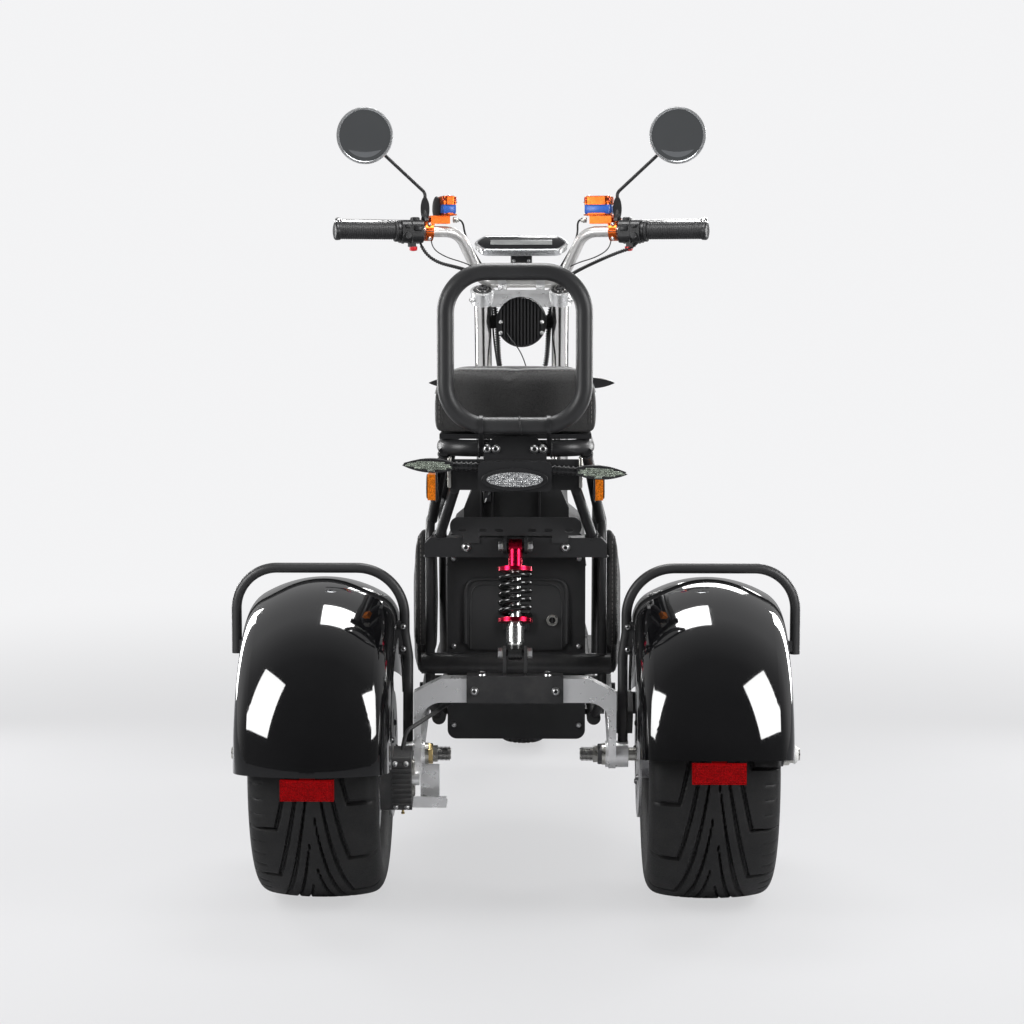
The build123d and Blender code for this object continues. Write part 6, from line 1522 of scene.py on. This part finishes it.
def grip_turned(profile, spot, way, name, finish, steps=48, edge=0.0):
    """Turned part of the steering, facing a direction."""
    return put(lathe(profile, steps, edge), spot, way, name, finish, "steering")

# %% [markdown]
# Rubber ribs run round each grip, between a flange on its inner end and a plug in its outer end.

# %% Grips: ribs, inner flange and end plug
for side, word in SIDES:
    way = grip_way(side)
    spots = [(on_grip(side, 256 + 4.4 * step), way) for step in range(24)]
    settle(copies(ring(14.5, 16.7, 2.2, 40, 0.7), spots), "grip_ribs_" + word, "grip_rubber", "steering")
    collar = [(14, 0), (20.5, 0), (21, 1), (21, 4), (20, 5.4), (17, 6), (14, 6)]
    grip_turned(collar, on_grip(side, 250.5), way, "grip_collar_" + word, "grip_rubber")
    plug = [(0, 0), (17.6, 0), (18.4, 1.2), (18.4, 6.5), (16.6, 9), (12, 10.4), (0, 11)]
    grip_turned(plug, on_grip(side, 364.5), way, "grip_end_" + word, "lamp_plastic")

# %% [markdown]
# Each housing is two plastic halves clamped round the bar, so it shows a parting line and two screws. On it
# sit a rocker, a slider and, below, the red button that a thumb can find without looking.

# %% Switch housings
for side, word in SIDES:
    for name, size, right, up, ahead, edge, finish in (
        ("housing_seam_", (50.8, 1.4, 46.8), 225, 0, 0, 5.0, "satin_black"),
        ("rocker_", (8, 15, 11), 214, 6, -25.5, 2.0, "lamp_plastic"),
        ("slider_", (10, 9, 7), 234, 10, -26, 1.6, "satin_black"),
        ("housing_top_", (22, 16, 9), 216, 24, -6, 3.0, "lamp_plastic"),
    ):
        grip_block(size, side, right, up, ahead, edge, name + word, finish)
    knob = [(0, 0), (6, 0), (6.4, 0.6), (6.4, 5), (5.6, 6.4), (0, 7)]
    spot = on_grip(side, 234, -9, -24)
    grip_turned(knob, spot, behind_grip(side), "round_switch_" + word, "satin_black", 32)
    button = [(0, 0), (7.4, 0), (8, 0.8), (8, 7), (7, 8.6), (3, 9.6), (0, 9.8)]
    grip_turned(button, on_grip(side, 220, -30, -9), DOWN, "red_button_" + word, "button_red", 32)
    spots = [(on_grip(side, right, -21.5, 14), DOWN) for right in (206, 236)]
    screws(3.6, 3.0, spots, "housing_screws_" + word, "steering", "dark_steel")

# %% [markdown]
# The master cylinders are anodised orange with a see-through blue tank. The tank is a rounded sleeve; its
# cap has a grip edge and two screws. Below, two bolts close the clamp round the bar, and a knurled wheel
# sets how far the lever stands off. The left tank stands across the bar and the right one lies along it.

# %% Brake masters
CLAMP_RIGHT = 181
TANKS = ((-1, "left", 31.0, 26.0, 50.0), (1, "right", 24.0, 52.0, 32.0))
for side, word, inboard, along, across in TANKS:
    right = CLAMP_RIGHT - inboard * GRIP_WAY.x
    for name, grow, thick, up, edge, finish in (
        ("brake_tank_", 1.6, 24, 46, 5.0, "tank_blue"),
        ("tank_cap_", 2.4, 9.6, 64.6, 3.0, "cap_coral"),
        ("tank_cap_pad_", -6, 2.4, 70.6, 1.0, "cap_coral"),
        ("tank_lip_low_", 3.4, 2.6, 33.4, 1.2, "orange_alloy"),
        ("tank_lip_high_", 4.0, 2.0, 58.8, 1.2, "orange_alloy"),
    ):
        grip_block((across + grow, along + grow, thick), side, right, up, -2, edge, name + word, finish)
    reach = max(along, across) / 2 - 7
    out, ahead = (reach, 0) if along > across else (0, reach)
    spots = [(on_grip(side, right + sign * out, 71.4, -2 + sign * ahead), UP) for sign in BOTH]
    screws(3.4, 2.4, spots, "tank_screws_" + word, "steering")
    spots = [(on_grip(side, 189, up, -13), behind_grip(side)) for up in (-14, 14)]
    screws(4.4, 6.0, spots, "clamp_screws_" + word, "steering")
    grip_block((5, 17, 1.6), side, 189, 0, -18.4, 0.5, "clamp_split_" + word, "dark_steel")
    pivot = on_grip(side, 184, 29, 36)
    put(hex_nut(6.4, 5.0, 0.4), pivot, UP, "lever_pivot_" + word, "bright_screw", "steering")
    wheel = [(2, 0), (7, 0), (7.6, 0.6), (7.6, 5.4), (7, 6), (2, 6)]
    grip_turned(wheel, on_grip(side, 197, 20, 44), grip_way(side), "lever_wheel_" + word, "orange_alloy", 28)
    banjo = [(0, 0), (6, 0), (6, 7), (4.5, 8), (4.5, 11), (0, 11)]
    end = on_grip(side, CLAMP_RIGHT - (inboard + along / 2 + 2) * GRIP_WAY.x, 24, 3)
    grip_turned(banjo, end, -grip_way(side), "hose_bolt_" + word, "zinc_steel", 24, 0.4)

# %% [markdown]
# The mirrors are glass in a round shell. The shell's back is a shallow dome and its front is a thin bright
# rim. A nut locks each stem at its foot. The left foot also carries a small extra blade.

# %% Mirrors
MIRROR = Vector((314.0, 872.0, 1321.0))
STEM_RIGHT = 194.4
for side, word in SIDES:
    out_of_glass = Vector((side * -0.12, -1, 0.02)).normalized()
    middle = at(side * MIRROR.x, MIRROR.y, MIRROR.z)
    glass = [(0, 3.4), (15, 3.2), (30, 2.6), (44, 1.5), (51.8, 0.4), (51.8, -1), (0, -1)]
    grip_turned(glass, middle, out_of_glass, "mirror_pane_" + word, "mirror_glass", 96)
    rim = [(51.5, -1), (56, -1), (56.8, 0.4), (56.8, 3), (55.4, 4.2), (52.4, 4.2), (51.5, 3)]
    grip_turned(rim, middle, out_of_glass, "mirror_rim_" + word, "bezel_plastic", 96)
    dome = [(0, 24), (14, 23.4), (30, 20), (44, 13), (52, 5), (55, -3), (55, -5), (0, -5)]
    behind = middle - out_of_glass * mm(9)
    grip_turned(dome, behind, -out_of_glass, "mirror_back_" + word, "lamp_plastic", 96)
    nut_spot = on_grip(side, STEM_RIGHT, 20)
    put(hex_nut(8.5, 9.0, 0.4), nut_spot, UP, "stem_nut_" + word, "dark_steel", "steering")
    boot = [(3.4, 0), (7.4, 0), (7.4, 5), (5.4, 9), (3.4, 15)]
    grip_turned(boot, on_grip(side, STEM_RIGHT, 29), UP, "stem_boot_" + word, "grip_rubber", 28)
blade = lathe([(0, 0), (9, 0), (9, 7), (0, 7)], 48, 1.5)
moved_by(
    blade, Matrix.Translation(on_grip(-1, 170, 46, 4)), Matrix.Rotation(math.pi / 2, 4, "X"),
    Matrix.Scale(2.78, 4, (0, 1, 0)),
)
settle(blade, "left_blade", "lamp_plastic", "steering")

# %% [markdown]
# ## The display
#
# A six-sided panel tilted towards the rider: a fat silver rim, a dark face behind glass, and a grey screen.
# The rim is a closed tube round the outline; the face and the screen are filled outlines with a thickness.

# %% Display
DISPLAY_TILT = math.radians(25)
BAR_MIDDLE = at(0, 969.6, 1027.8)
DISPLAY_MIDDLE = BAR_MIDDLE + Vector((0, mm(-36), mm(80)))


def on_display(right, along, out=0.0):
    """Point on the tilted face: right, up along the slope, and out of it, in millimetres."""
    rise = math.sin(DISPLAY_TILT)
    flat = math.cos(DISPLAY_TILT)
    return DISPLAY_MIDDLE + Vector((mm(right), mm(along * flat - out * rise), mm(along * rise + out * flat)))


def by_bar(right, ahead, up):
    """Point in metres from the middle of the handlebar in millimetres."""
    return BAR_MIDDLE + Vector((mm(right), mm(ahead), mm(up)))


def filled(outline, thickness, name, finish, edge=0.3):
    """Filled outline of (right, along) points on the display, with a thickness out of its face."""
    bpy.ops.mesh.primitive_circle_add(vertices=len(outline), radius=0.01, fill_type="NGON")
    face = bpy.context.object
    for point, (right, along) in zip(face.data.vertices, outline):
        point.co = on_display(right, along)
    edit_all(face)
    way = on_display(0, 0, thickness) - on_display(0, 0)
    bpy.ops.mesh.extrude_region_move(TRANSFORM_OT_translate={"value": way})
    leave_edit(inside=False)
    return settle(soften(face, edge), name, finish, "steering")


def hexagon(grow, corner=9):
    """Rounded six-sided outline, grown or shrunk by some millimetres."""
    wide, narrow, half = 98 + grow, 78 + grow * 0.6, 36 + grow
    points = [Vector(point) for point in (
        (wide, 0), (narrow, half), (-narrow, half), (-wide, 0), (-narrow, -half), (narrow, -half),
    )]
    outline = []
    for before, here, after in zip(points[-1:] + points[:-1], points, points[1:] + points[:1]):
        back = (before - here).normalized() * corner
        onward = (after - here).normalized() * corner
        outline += [here + back, here + (back + onward) * 0.28, here + onward]
    return [(point.x, point.y) for point in outline]


def display_ring(grow, out, radius, resolution, name, finish):
    """Closed tube round the display's outline."""
    line = [on_display(right, along, out) for right, along in hexagon(grow)]
    return settle(tube(line, mm(radius), 4, True, resolution), name, finish, "steering", 60)


rim = display_ring(-3, -2.0, 3.4, 5, "display_rim", "bezel_plastic")
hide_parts("display")
filled(hexagon(-2), -14, "display_tub", "bezel_plastic", 1.0)
filled(hexagon(-5), 0.8, "display_face", "lamp_plastic")
filled(hexagon(-8), 1.3, "display_glass", "dark_glass")
filled([(-63, -12), (63, -12), (63, 12), (-63, 12)], 1.9, "display_screen", "screen_grey", 0.2)
display_ring(-18, -15, 3.0, 4, "display_foot_rim", "lamp_plastic")
under = (0, math.sin(DISPLAY_TILT), -math.cos(DISPLAY_TILT))
spots = [(on_display(side * 58, along, -13), under) for side in BOTH for along in (-18, 18)]
screws(3.4, 2.4, spots, "display_screws", "steering")
post = plate((44, 12, 56), by_bar(0, -18, 35), 2.5, 3)
saddle = plate((44, 36, 9), by_bar(0, -5, 15.5), 2.0, 3)
settle(join([post, saddle]), "display_post", "lamp_plastic", "steering")
screws(3.6, 3.0, [(by_bar(side * 15, -24, 44), BACK) for side in BOTH], "display_post_screws", "steering")
print("display", [round(value * 1000) for value in rim.dimensions], "mm")

# %% [markdown]
# ## The fork and the headlight
#
# The steering axis leans back by 25 degrees. `on_fork` measures along that lean, from the front axle's
# height up, which makes everything on the fork easy to place.

# %% Fork caps, seals and clamp screws
LEAN = math.radians(25)
FORK_UP = Vector((0, -math.sin(LEAN), math.cos(LEAN)))
AXLE_AHEAD = 40.0
TUBE_X = 80


def on_fork(right, along, ahead=AXLE_AHEAD):
    """Point beside the steering axis, along it and ahead of it, in millimetres."""
    past = ahead - AXLE_AHEAD
    return at(
        right, FRONT_Y + past * math.cos(LEAN) - along * math.sin(LEAN),
        FRONT_Z + past * math.sin(LEAN) + along * math.cos(LEAN),
    )


def on_tubes(piece, *heights, name, finish, lift=0):
    """Copies of a piece round both fork tubes at some heights."""
    feet = [on_fork(side * TUBE_X, along) for side in BOTH for along in heights]
    settle(copies(piece, [(foot + FORK_UP * mm(lift), FORK_UP) for foot in feet]), name, finish, "steering")


TUBE_TOP = 862
cap = lathe([(0, 0), (18.6, 0), (18.6, 3), (17.6, 4.2), (12, 4.6), (11, 6.2), (0, 6.6)], 40)
on_tubes(cap, TUBE_TOP, name="fork_caps", finish="dark_steel")
lip = lathe([(18.4, -2), (25.2, -2), (25.2, 1.4), (23.6, 3), (19.6, 3), (18.4, 1.6)], 56)
on_tubes(lip, TUBE_TOP, name="clamp_lips", finish="polished_alloy")
on_tubes(hex_nut(8.6, 5, 0.3), TUBE_TOP, name="fork_cap_hexes", finish="dark_steel", lift=6)
seal = lathe([(17.6, -6), (22.6, -6), (23.4, -4), (23.4, 3), (21, 8), (19.4, 12), (17.7, 13)], 48)
on_tubes(seal, 330, name="fork_seals", finish="grip_rubber")
band = lathe([(17.6, 0), (20.4, 0), (20.4, 5), (17.6, 5)], 48)
on_tubes(band, 447, 641, name="fork_bands", finish="zinc_steel")
heights = (424, 437, 620, 633)
spots = [(on_fork(side * 98, along, 18), (side * 0.5, -0.87, 0)) for side in BOTH for along in heights]
screws(5.0, 6.0, spots, "fork_clamp_screws", "steering")
spots = [(on_fork(side * 99, 849, 24), (side * 0.76, -0.65, 0)) for side in BOTH]
screws(5.6, 9.0, spots, "top_clamp_screws", "steering")
for side, word in SIDES:
    spots = [(on_fork(side * 39, 894.2, ahead), FORK_UP) for ahead in (43, 77)]
    screws(4.8, 5.0, spots, "riser_screws_" + word, "steering")

# %% [markdown]
# Behind the glass of the headlight sits a small bright bowl, and a plain ring closes the gap round its rim.

# %% Headlight details
LAMP_BACK = Vector((0.0, 952.2, 946.5))
spots = [(at(side * 42, LAMP_BACK.y + 1, LAMP_BACK.z + up), BACK) for side in BOTH for up in (0, -22)]
screws(4.4, 4.4, spots, "headlight_screws", "steering")
seat_ring = [(50.4, 0), (51.8, 0), (52.2, 1), (52.2, 4), (51.8, 5), (50.4, 5)]
grip_turned(seat_ring, at(0, LAMP_BACK.y + 20, LAMP_BACK.z), AHEAD, "headlight_ring", "lamp_plastic", 72)
bowl = [(8, 0), (16, 3), (28, 10), (38, 22), (41.6, 34), (42.6, 34), (38.6, 21), (28.4, 9), (16, 2), (8, -1)]
grip_turned(bowl, at(0, 1034, LAMP_BACK.z), AHEAD, "headlight_reflector", "fork_chrome", 72)

# %% [markdown]
# ## Cables and wires
#
# Two wrapped cables run from the switch housings down behind the lamp. Each is a soft line through a few
# points, and a spiral of tape is wound round it: the tape follows the same line, circling it as it goes.

# %% Wrapped control cables
def soft_line(points, radius, name):
    """Curve through control points (metres) with a round section, kept as a curve."""
    cable, line, spline = curve(name, "NURBS", points, [radius] * len(points))
    spline.order_u = 3
    spline.use_endpoint_u = True
    spline.resolution_u = 12
    line.bevel_depth = 1.0
    line.bevel_resolution = 3
    line.use_fill_caps = True
    line.materials.append(finishes["cable_black"])
    return cable


def followed(cable):
    """Points along a curve's own line, a millimetre apart."""
    cable.data.bevel_depth = 0.0
    shape = cable.evaluated_get(bpy.context.evaluated_depsgraph_get()).to_mesh()
    points = [vertex.co.copy() for vertex in shape.vertices]
    cable.data.bevel_depth = 1.0
    return even_points(points, mm(1))


def length_of(points):
    """Length of a line of points."""
    return sum((b - a).length for a, b in zip(points, points[1:]))


def tape_round(cable, name):
    """Spiral of tape wound round a cable, thicker over its lower half."""
    line = followed(cable)
    spiral = []
    for index in range(16, len(line) - 16):
        along = (line[index + 1] - line[index - 1]).normalized()
        across = along.cross(Vector((1, 0, 0))).normalized()
        over = along.cross(across)
        angle = index * 1.25
        reach = 3.0 + 2.4 * smooth_step((index / len(line) - 0.5) / 0.12)
        spiral.append(line[index] + (across * math.cos(angle) + over * math.sin(angle)) * mm(reach))
    return settle(tube(spiral, mm(1.5), sides=1, resolution=3), name, "cable_black", "steering", 60)


def free_cord(points, radius, name, taped=False):
    """Soft line through points, attached to the steering and taped where asked; its length is printed."""
    cable = soft_line(points, radius, name)
    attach(cable, "steering")
    pieces = [tape_round(cable, name + "_wrap")] if taped else []
    long = length_of(followed(cable))
    print(name, "-", round(long * 1000), "mm long")
    return cable


CABLE_ROUTES = {
    "left": [
        (-206, 892, 1113), (-199, 878, 1092), (-172, 880, 1068), (-130, 905, 1058), (-96, 948, 1048),
        (-72, 990, 1030), (-58, 1006, 990), (-50, 1002, 940), (-49, 998, 880), (-44, 1004, 840),
        (-38, 1010, 808),
    ],
    "right": [
        (240, 882, 1113), (228, 868, 1098), (190, 876, 1086), (140, 905, 1064), (104, 942, 1046),
        (78, 990, 1026), (62, 1008, 985), (56, 1002, 940), (54, 998, 880), (46, 1004, 840), (38, 1010, 808),
    ],
}
for word, corners in CABLE_ROUTES.items():
    route = [at(*corner) for corner in corners]
    free_cord(route, mm(2.6), "control_cable_" + word, True)
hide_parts("control_cables")

# %% [markdown]
# Thin bare wires leave each brake and run to the middle of the bar, a hose drops from each master cylinder,
# and one loose wire hangs behind the lamp. They are thinner and limper than the wrapped cables.

# %% Brake hoses and thin wires
HOSE = (
    (116, 966, 1122), (96, 992, 1086), (72, 1012, 1046), (62, 1020, 990), (60, 1022, 920), (50, 1034, 850),
    (42, 1040, 812),
)
WIRE = (
    (180, 874, 1096), (152, 890, 1078), (116, 922, 1068), (88, 956, 1054), (68, 984, 1038), (54, 992, 1018),
)
for side, word, inboard, along, across in TANKS:
    end = CLAMP_RIGHT - (inboard + along / 2 + 9) * GRIP_WAY.x
    route = [on_grip(side, end, 24, 3), on_grip(side, end - 14, 27, 12)]
    route += [at(side * right, ahead, up) for right, ahead, up in HOSE]
    free_cord(route, mm(2.0), "brake_hose_" + word)
    route = [on_grip(side, 184, -18, -8)] + [at(side * right, ahead, up) for right, ahead, up in WIRE]
    free_cord(route, mm(1.2), "thin_wire_" + word)
loop = ((-30, 953, 924), (-18, 942, 908), (-4, 940, 890), (6, 944, 868), (12, 956, 846), (16, 980, 822))
free_cord([at(*point) for point in loop], mm(1.2), "lamp_wire")

# %% [markdown]
# ## Wheels
#
# Between the spokes and the tyre a wheel has more to tell: a turned lip where the tyre's bead sits, a
# valve, a ring of cover screws on the hub motor, five bolts through each brake disc. Rings come from the
# lathe, and screws from the same pattern as before, set out on a circle.

# %% Lips, covers, bolts and valves
def around(centre, radius, count, direction, offset=0.0):
    """Places on a circle round the X axis through a point, each with a direction."""
    spots = []
    for step in range(count):
        angle = 2 * math.pi * (step + offset) / count
        spot = Vector(centre) + Vector((0, mm(radius) * math.cos(angle), mm(radius) * math.sin(angle)))
        spots.append((spot, direction))
    return spots


def both_faces(hub, out):
    """The two faces of a wheel: a place beside the hub and the direction out of the wheel."""
    return [(hub + Vector((mm(sign * out), 0, 0)), (sign, 0, 0)) for sign in BOTH]


def valve(hub, right, lean, stem, top, name, body):
    """Rubber valve near the bottom of a rim."""
    outline = [(0, 0), (5.4, 0), (5.4, 4), (3.6, 8), (3.2, stem), (2.4, stem + 1), (2.4, top), (0, top + 0.6)]
    foot = hub + Vector((mm(right), 0, mm(-142)))
    put(lathe(outline, 24), foot, (lean, 0, 0.87), name, "grip_rubber", body)


for side, word in SIDES:
    body = "rear_wheel_" + word
    hub = at(side * WHEEL_X, 0, AXLE_Z)
    lip = lathe([(149, 0), (154, 0), (160, 3), (162, 7), (161, 9), (157, 8.4), (151, 5), (149, 3)], 128)
    settle(copies(lip, both_faces(hub, 78)), "rim_lips_" + word, "wheel_alloy", body)
    cover = lathe([(40, 0), (98, 0), (98, 1.6), (92, 3), (60, 4.2), (46, 7), (40, 7)], 96)
    settle(copies(cover, both_faces(hub, 56)), "hub_covers_" + word, "wheel_alloy", body)
    spots = []
    for middle, way in both_faces(hub, 58.4):
        spots += around(middle, 86, 10, way, 0.5)
    screws(5.0, 4.0, spots, "hub_screws_" + word, body)
    bolts = around(at(side * 204, 0, AXLE_Z), 52, 5, (-side, 0, 0))
    screws(5.6, 4.0, bolts, "disc_bolts_" + word, body, "dark_steel")
    valve(hub, side * 40, side * 0.5, 26, 34, "valve_" + word, body)

front = at(0, FRONT_Y, FRONT_Z)
lip = lathe([(149.5, 0), (153, 0), (157.4, 2), (158.6, 5), (157.6, 6.4), (153, 5.4), (149.5, 3)], 128)
settle(copies(lip, both_faces(front, 33)), "front_rim_lips", "wheel_alloy", "front_wheel")
bolts = around(at(-56.4, FRONT_Y, FRONT_Z), 27, 5, LEFT)
screws(4.6, 3.4, bolts, "front_disc_bolts", "front_wheel", "dark_steel")
valve(front, 24, 0.5, 24, 31, "front_valve", "front_wheel")

# %% [markdown]
# ## Brakes
#
# A caliper is two halves bolted over the disc, with round caps over its pistons, a bleed nipple on top and
# the hose held by a banjo bolt. The left one can be seen from behind, beside the tyre.

# %% Rear calipers
def beside_disc(side, angle, reach, along, right):
    """Point near a rear caliper: reach from the axle and along the disc, at an angle above ahead."""
    turn = math.radians(angle)
    ahead = reach * math.cos(turn) - along * math.sin(turn)
    up = reach * math.sin(turn) + along * math.cos(turn)
    return at(side * right, ahead, AXLE_Z + up)


for (side, word), angle, length in zip(SIDES, (195, 40), (96, 56)):
    turn = math.radians(angle)
    outward = Vector((0, math.cos(turn), math.sin(turn)))
    tangent = Vector((0, -math.sin(turn), math.cos(turn)))
    fins = []
    for along in range(10 - length // 2, length // 2 - 8, 9):
        place = Matrix.Translation(beside_disc(side, angle, 117, along, 184))
        tilt = Matrix.Rotation(turn - math.pi / 2, 4, "X")
        fins.append(moved_by(plate((30, 4, 5), (0, 0, 0)), place, tilt))
    settle(join(fins), "caliper_fins_" + word, "caliper_black")
    ends = (9 - length / 2, length / 2 - 9)
    spots = [(beside_disc(side, angle, 117, end, right), outward) for end in ends for right in (176, 194)]
    screws(4.8, 5.0, spots, "caliper_bolts_" + word)
    fifth = length / 5
    pistons = [(beside_disc(side, angle, 90, along, 168), (-side, 0, 0)) for along in (-fifth, fifth)]
    piston = lathe([(0, 0), (13, 0), (13, 3), (11.6, 4.4), (7, 4.4), (6, 3), (0, 3)], 36)
    settle(copies(piston, pistons), "caliper_pistons_" + word, "zinc_steel")
    nipple = lathe([(0, 0), (3.4, 0), (3.4, 4), (2, 5), (2, 10), (3, 11), (3, 13), (0, 13)], 20)
    put(nipple, beside_disc(side, angle, 98, length / 2, 184), tangent, "bleed_nipple_" + word, "brass")

# %% [markdown]
# ## Guards and small brackets
#
# A folded hem stiffens the edge of each mudguard. Short stays and screws hold the guards; the side
# reflectors sit in black frames.

# %% Hems, guard screws and reflector frames
HEM_RADIUS = 196
HEM_START = 22
HEM_SWEEP = 180 - HEM_START - 3.8
HEM_STEPS = 40
for side, word in SIDES:
    start = HEM_START - (GUARD_TURN if word == "right" else 0.0)
    for name, across in (("inner", -122), ("outer", 122)):
        points = []
        for step in range(HEM_STEPS):
            angle = math.radians(start + HEM_SWEEP * step / (HEM_STEPS - 1))
            ahead, up = HEM_RADIUS * math.cos(angle), HEM_RADIUS * math.sin(angle)
            points.append(at(side * (WHEEL_X + across), ahead, AXLE_Z + up))
        hem = tube(points, mm(2.6), sides=2, resolution=3)
        settle(hem, "guard_hem_%s_%s" % (name, word), "gloss_black", angle=60)
    screws(6.0, 4.0, [(at(side * 444.5, 20, 419), (side, 0, 0))], "guard_screw_" + word)
    settle(plate((3, 54, 49), at(side * 131.4, 30, 685.5), 1.2), "reflector_frame_" + word, "satin_black")
    corners = ((8, 666), (52, 666), (52, 705), (8, 705))
    edge = tube([at(side * 147.2, y, z) for y, z in corners], mm(1.3), closed=True, resolution=6)
    settle(edge, "reflector_rim_" + word, "satin_black", angle=60)

# %% [markdown]
# ## A plain studio
#
# A pale floor that fades into a pale background, and soft rectangular lamps: one overhead puts a window on
# top of each guard, one on each side puts a window on each flank. A gloss black guard shows the very shape
# of what lights it, so lamps are placed for their reflections as much as for their light. The dim half of
# the room draws dark stripes on chrome and keeps black paint black.

# %% Floor that fades into the background
BACKDROP = (0.9, 0.9, 0.91)
bpy.ops.mesh.primitive_plane_add(size=60, location=(0, 0, 0))
floor = bpy.context.object
floor.name = "studio_floor"
tree, shader = coat("studio_paper", (0.4, 0.4, 0.41), 0.9)
toned(tree, shader, (0.38, 0.38, 0.39), (0.42, 0.42, 0.43), 0.6)
place = node(tree, "TexCoord")
distance = node(tree, "VectorMath", {"operation": "LENGTH"})
fade = node(tree, "MapRange", {"interpolation_type": "SMOOTHSTEP"}, From_Min=0.6, From_Max=3.4, To_Min=0.62)
eye = node(tree, "LightPath")
share = node(tree, "Math", TIMES)
far_tone = node(tree, "Emission", Color=BACKDROP)
blend = node(tree, "MixShader")
wire(
    tree, (place, "Object", distance, 0), (distance, "Value", fade, "Value"), (fade, "Result", share, 0),
    (eye, "Is Camera Ray", share, 1), (share, 0, blend, "Fac"), (shader, 0, blend, 1),
    (far_tone, 0, blend, 2), (blend, 0, tree.nodes["Material Output"], "Surface"),
)
floor.data.materials.append(finishes["studio_paper"])

# %% [markdown]
# The room itself is seen in three ways: the camera sees the pale backdrop, matt surfaces gather an even
# light, and mirror-like ones see bands that run from dark behind the camera to pale ahead.

# %% Room light
room = bpy.data.worlds.new("studio_room")
bpy.context.scene.world = room
room.use_nodes = True
air = room.node_tree
background = air.nodes["Background"]
background.inputs["Color"].default_value = (0.86, 0.87, 0.89, 1)
background.inputs["Strength"].default_value = 0.5
seen = node(air, "Background", Color=BACKDROP)
mirrored = node(air, "Background")
way = node(air, "TexCoord")
split = node(air, "SeparateXYZ")
tones = node(air, "ValToRGB")
steps = ((0.0, 0.04), (0.36, 0.08), (0.5, 0.2), (0.66, 0.4), (1.0, 0.34))
for place, tone in steps[1:-1]:
    tones.color_ramp.elements.new(place)
for stop, (place, tone) in zip(tones.color_ramp.elements, steps):
    stop.position = place
    stop.color = (tone, tone, tone * 1.01, 1)
spread = node(air, "MapRange", From_Min=-1.0, From_Max=1.0)
ray = node(air, "LightPath")
polished = node(air, "Math", {"operation": "MAXIMUM"})
for_mirrors = node(air, "MixShader")
for_camera = node(air, "MixShader")
wire(
    air, (way, "Generated", split, 0), (split, "Y", spread, "Value"), (spread, "Result", tones, "Fac"),
    (tones, "Color", mirrored, "Color"), (ray, "Is Glossy Ray", polished, 0),
    (ray, "Is Transmission Ray", polished, 1), (polished, 0, for_mirrors, "Fac"),
    (background, 0, for_mirrors, 1), (mirrored, 0, for_mirrors, 2),
    (ray, "Is Camera Ray", for_camera, "Fac"), (for_mirrors, 0, for_camera, 1), (seen, 0, for_camera, 2),
    (for_camera, 0, air.nodes["World Output"], "Surface"),
)

# %% [markdown]
# Each lamp is a rectangle of light with a place, an aim and a power in watts.

# %% Lamps
def soft_lamp(name, place, aim, power, width, height, spread=180):
    """Rectangular lamp at one place, turned towards another."""
    bpy.ops.object.light_add(type="AREA", location=place)
    lamp = bpy.context.object
    lamp.name = name
    lamp.data.shape = "RECTANGLE"
    lamp.data.energy = power
    lamp.data.size = width
    lamp.data.size_y = height
    lamp.data.spread = math.radians(spread)
    lamp.rotation_euler = (Vector(aim) - Vector(place)).to_track_quat("-Z", "Y").to_euler()


soft_lamp("lamp_over", at(0, 450, 2000), at(0, 0, 450), 17, 0.7, 0.6)
for side, word in SIDES:
    soft_lamp("lamp_" + word, at(side * 1480, -860, 1180), at(side * 420, -100, 400), 10, 0.72, 1.0, 110)
    soft_lamp("strip_" + word, at(side * 1500, 1350, 850), at(side * 350, 0, 560), 12, 0.35, 1.2, 140)
soft_lamp("lamp_front", at(700, 3200, 1900), at(0, 900, 600), 30, 1.4, 1.0)
bpy.context.scene.view_settings.view_transform = "Standard"
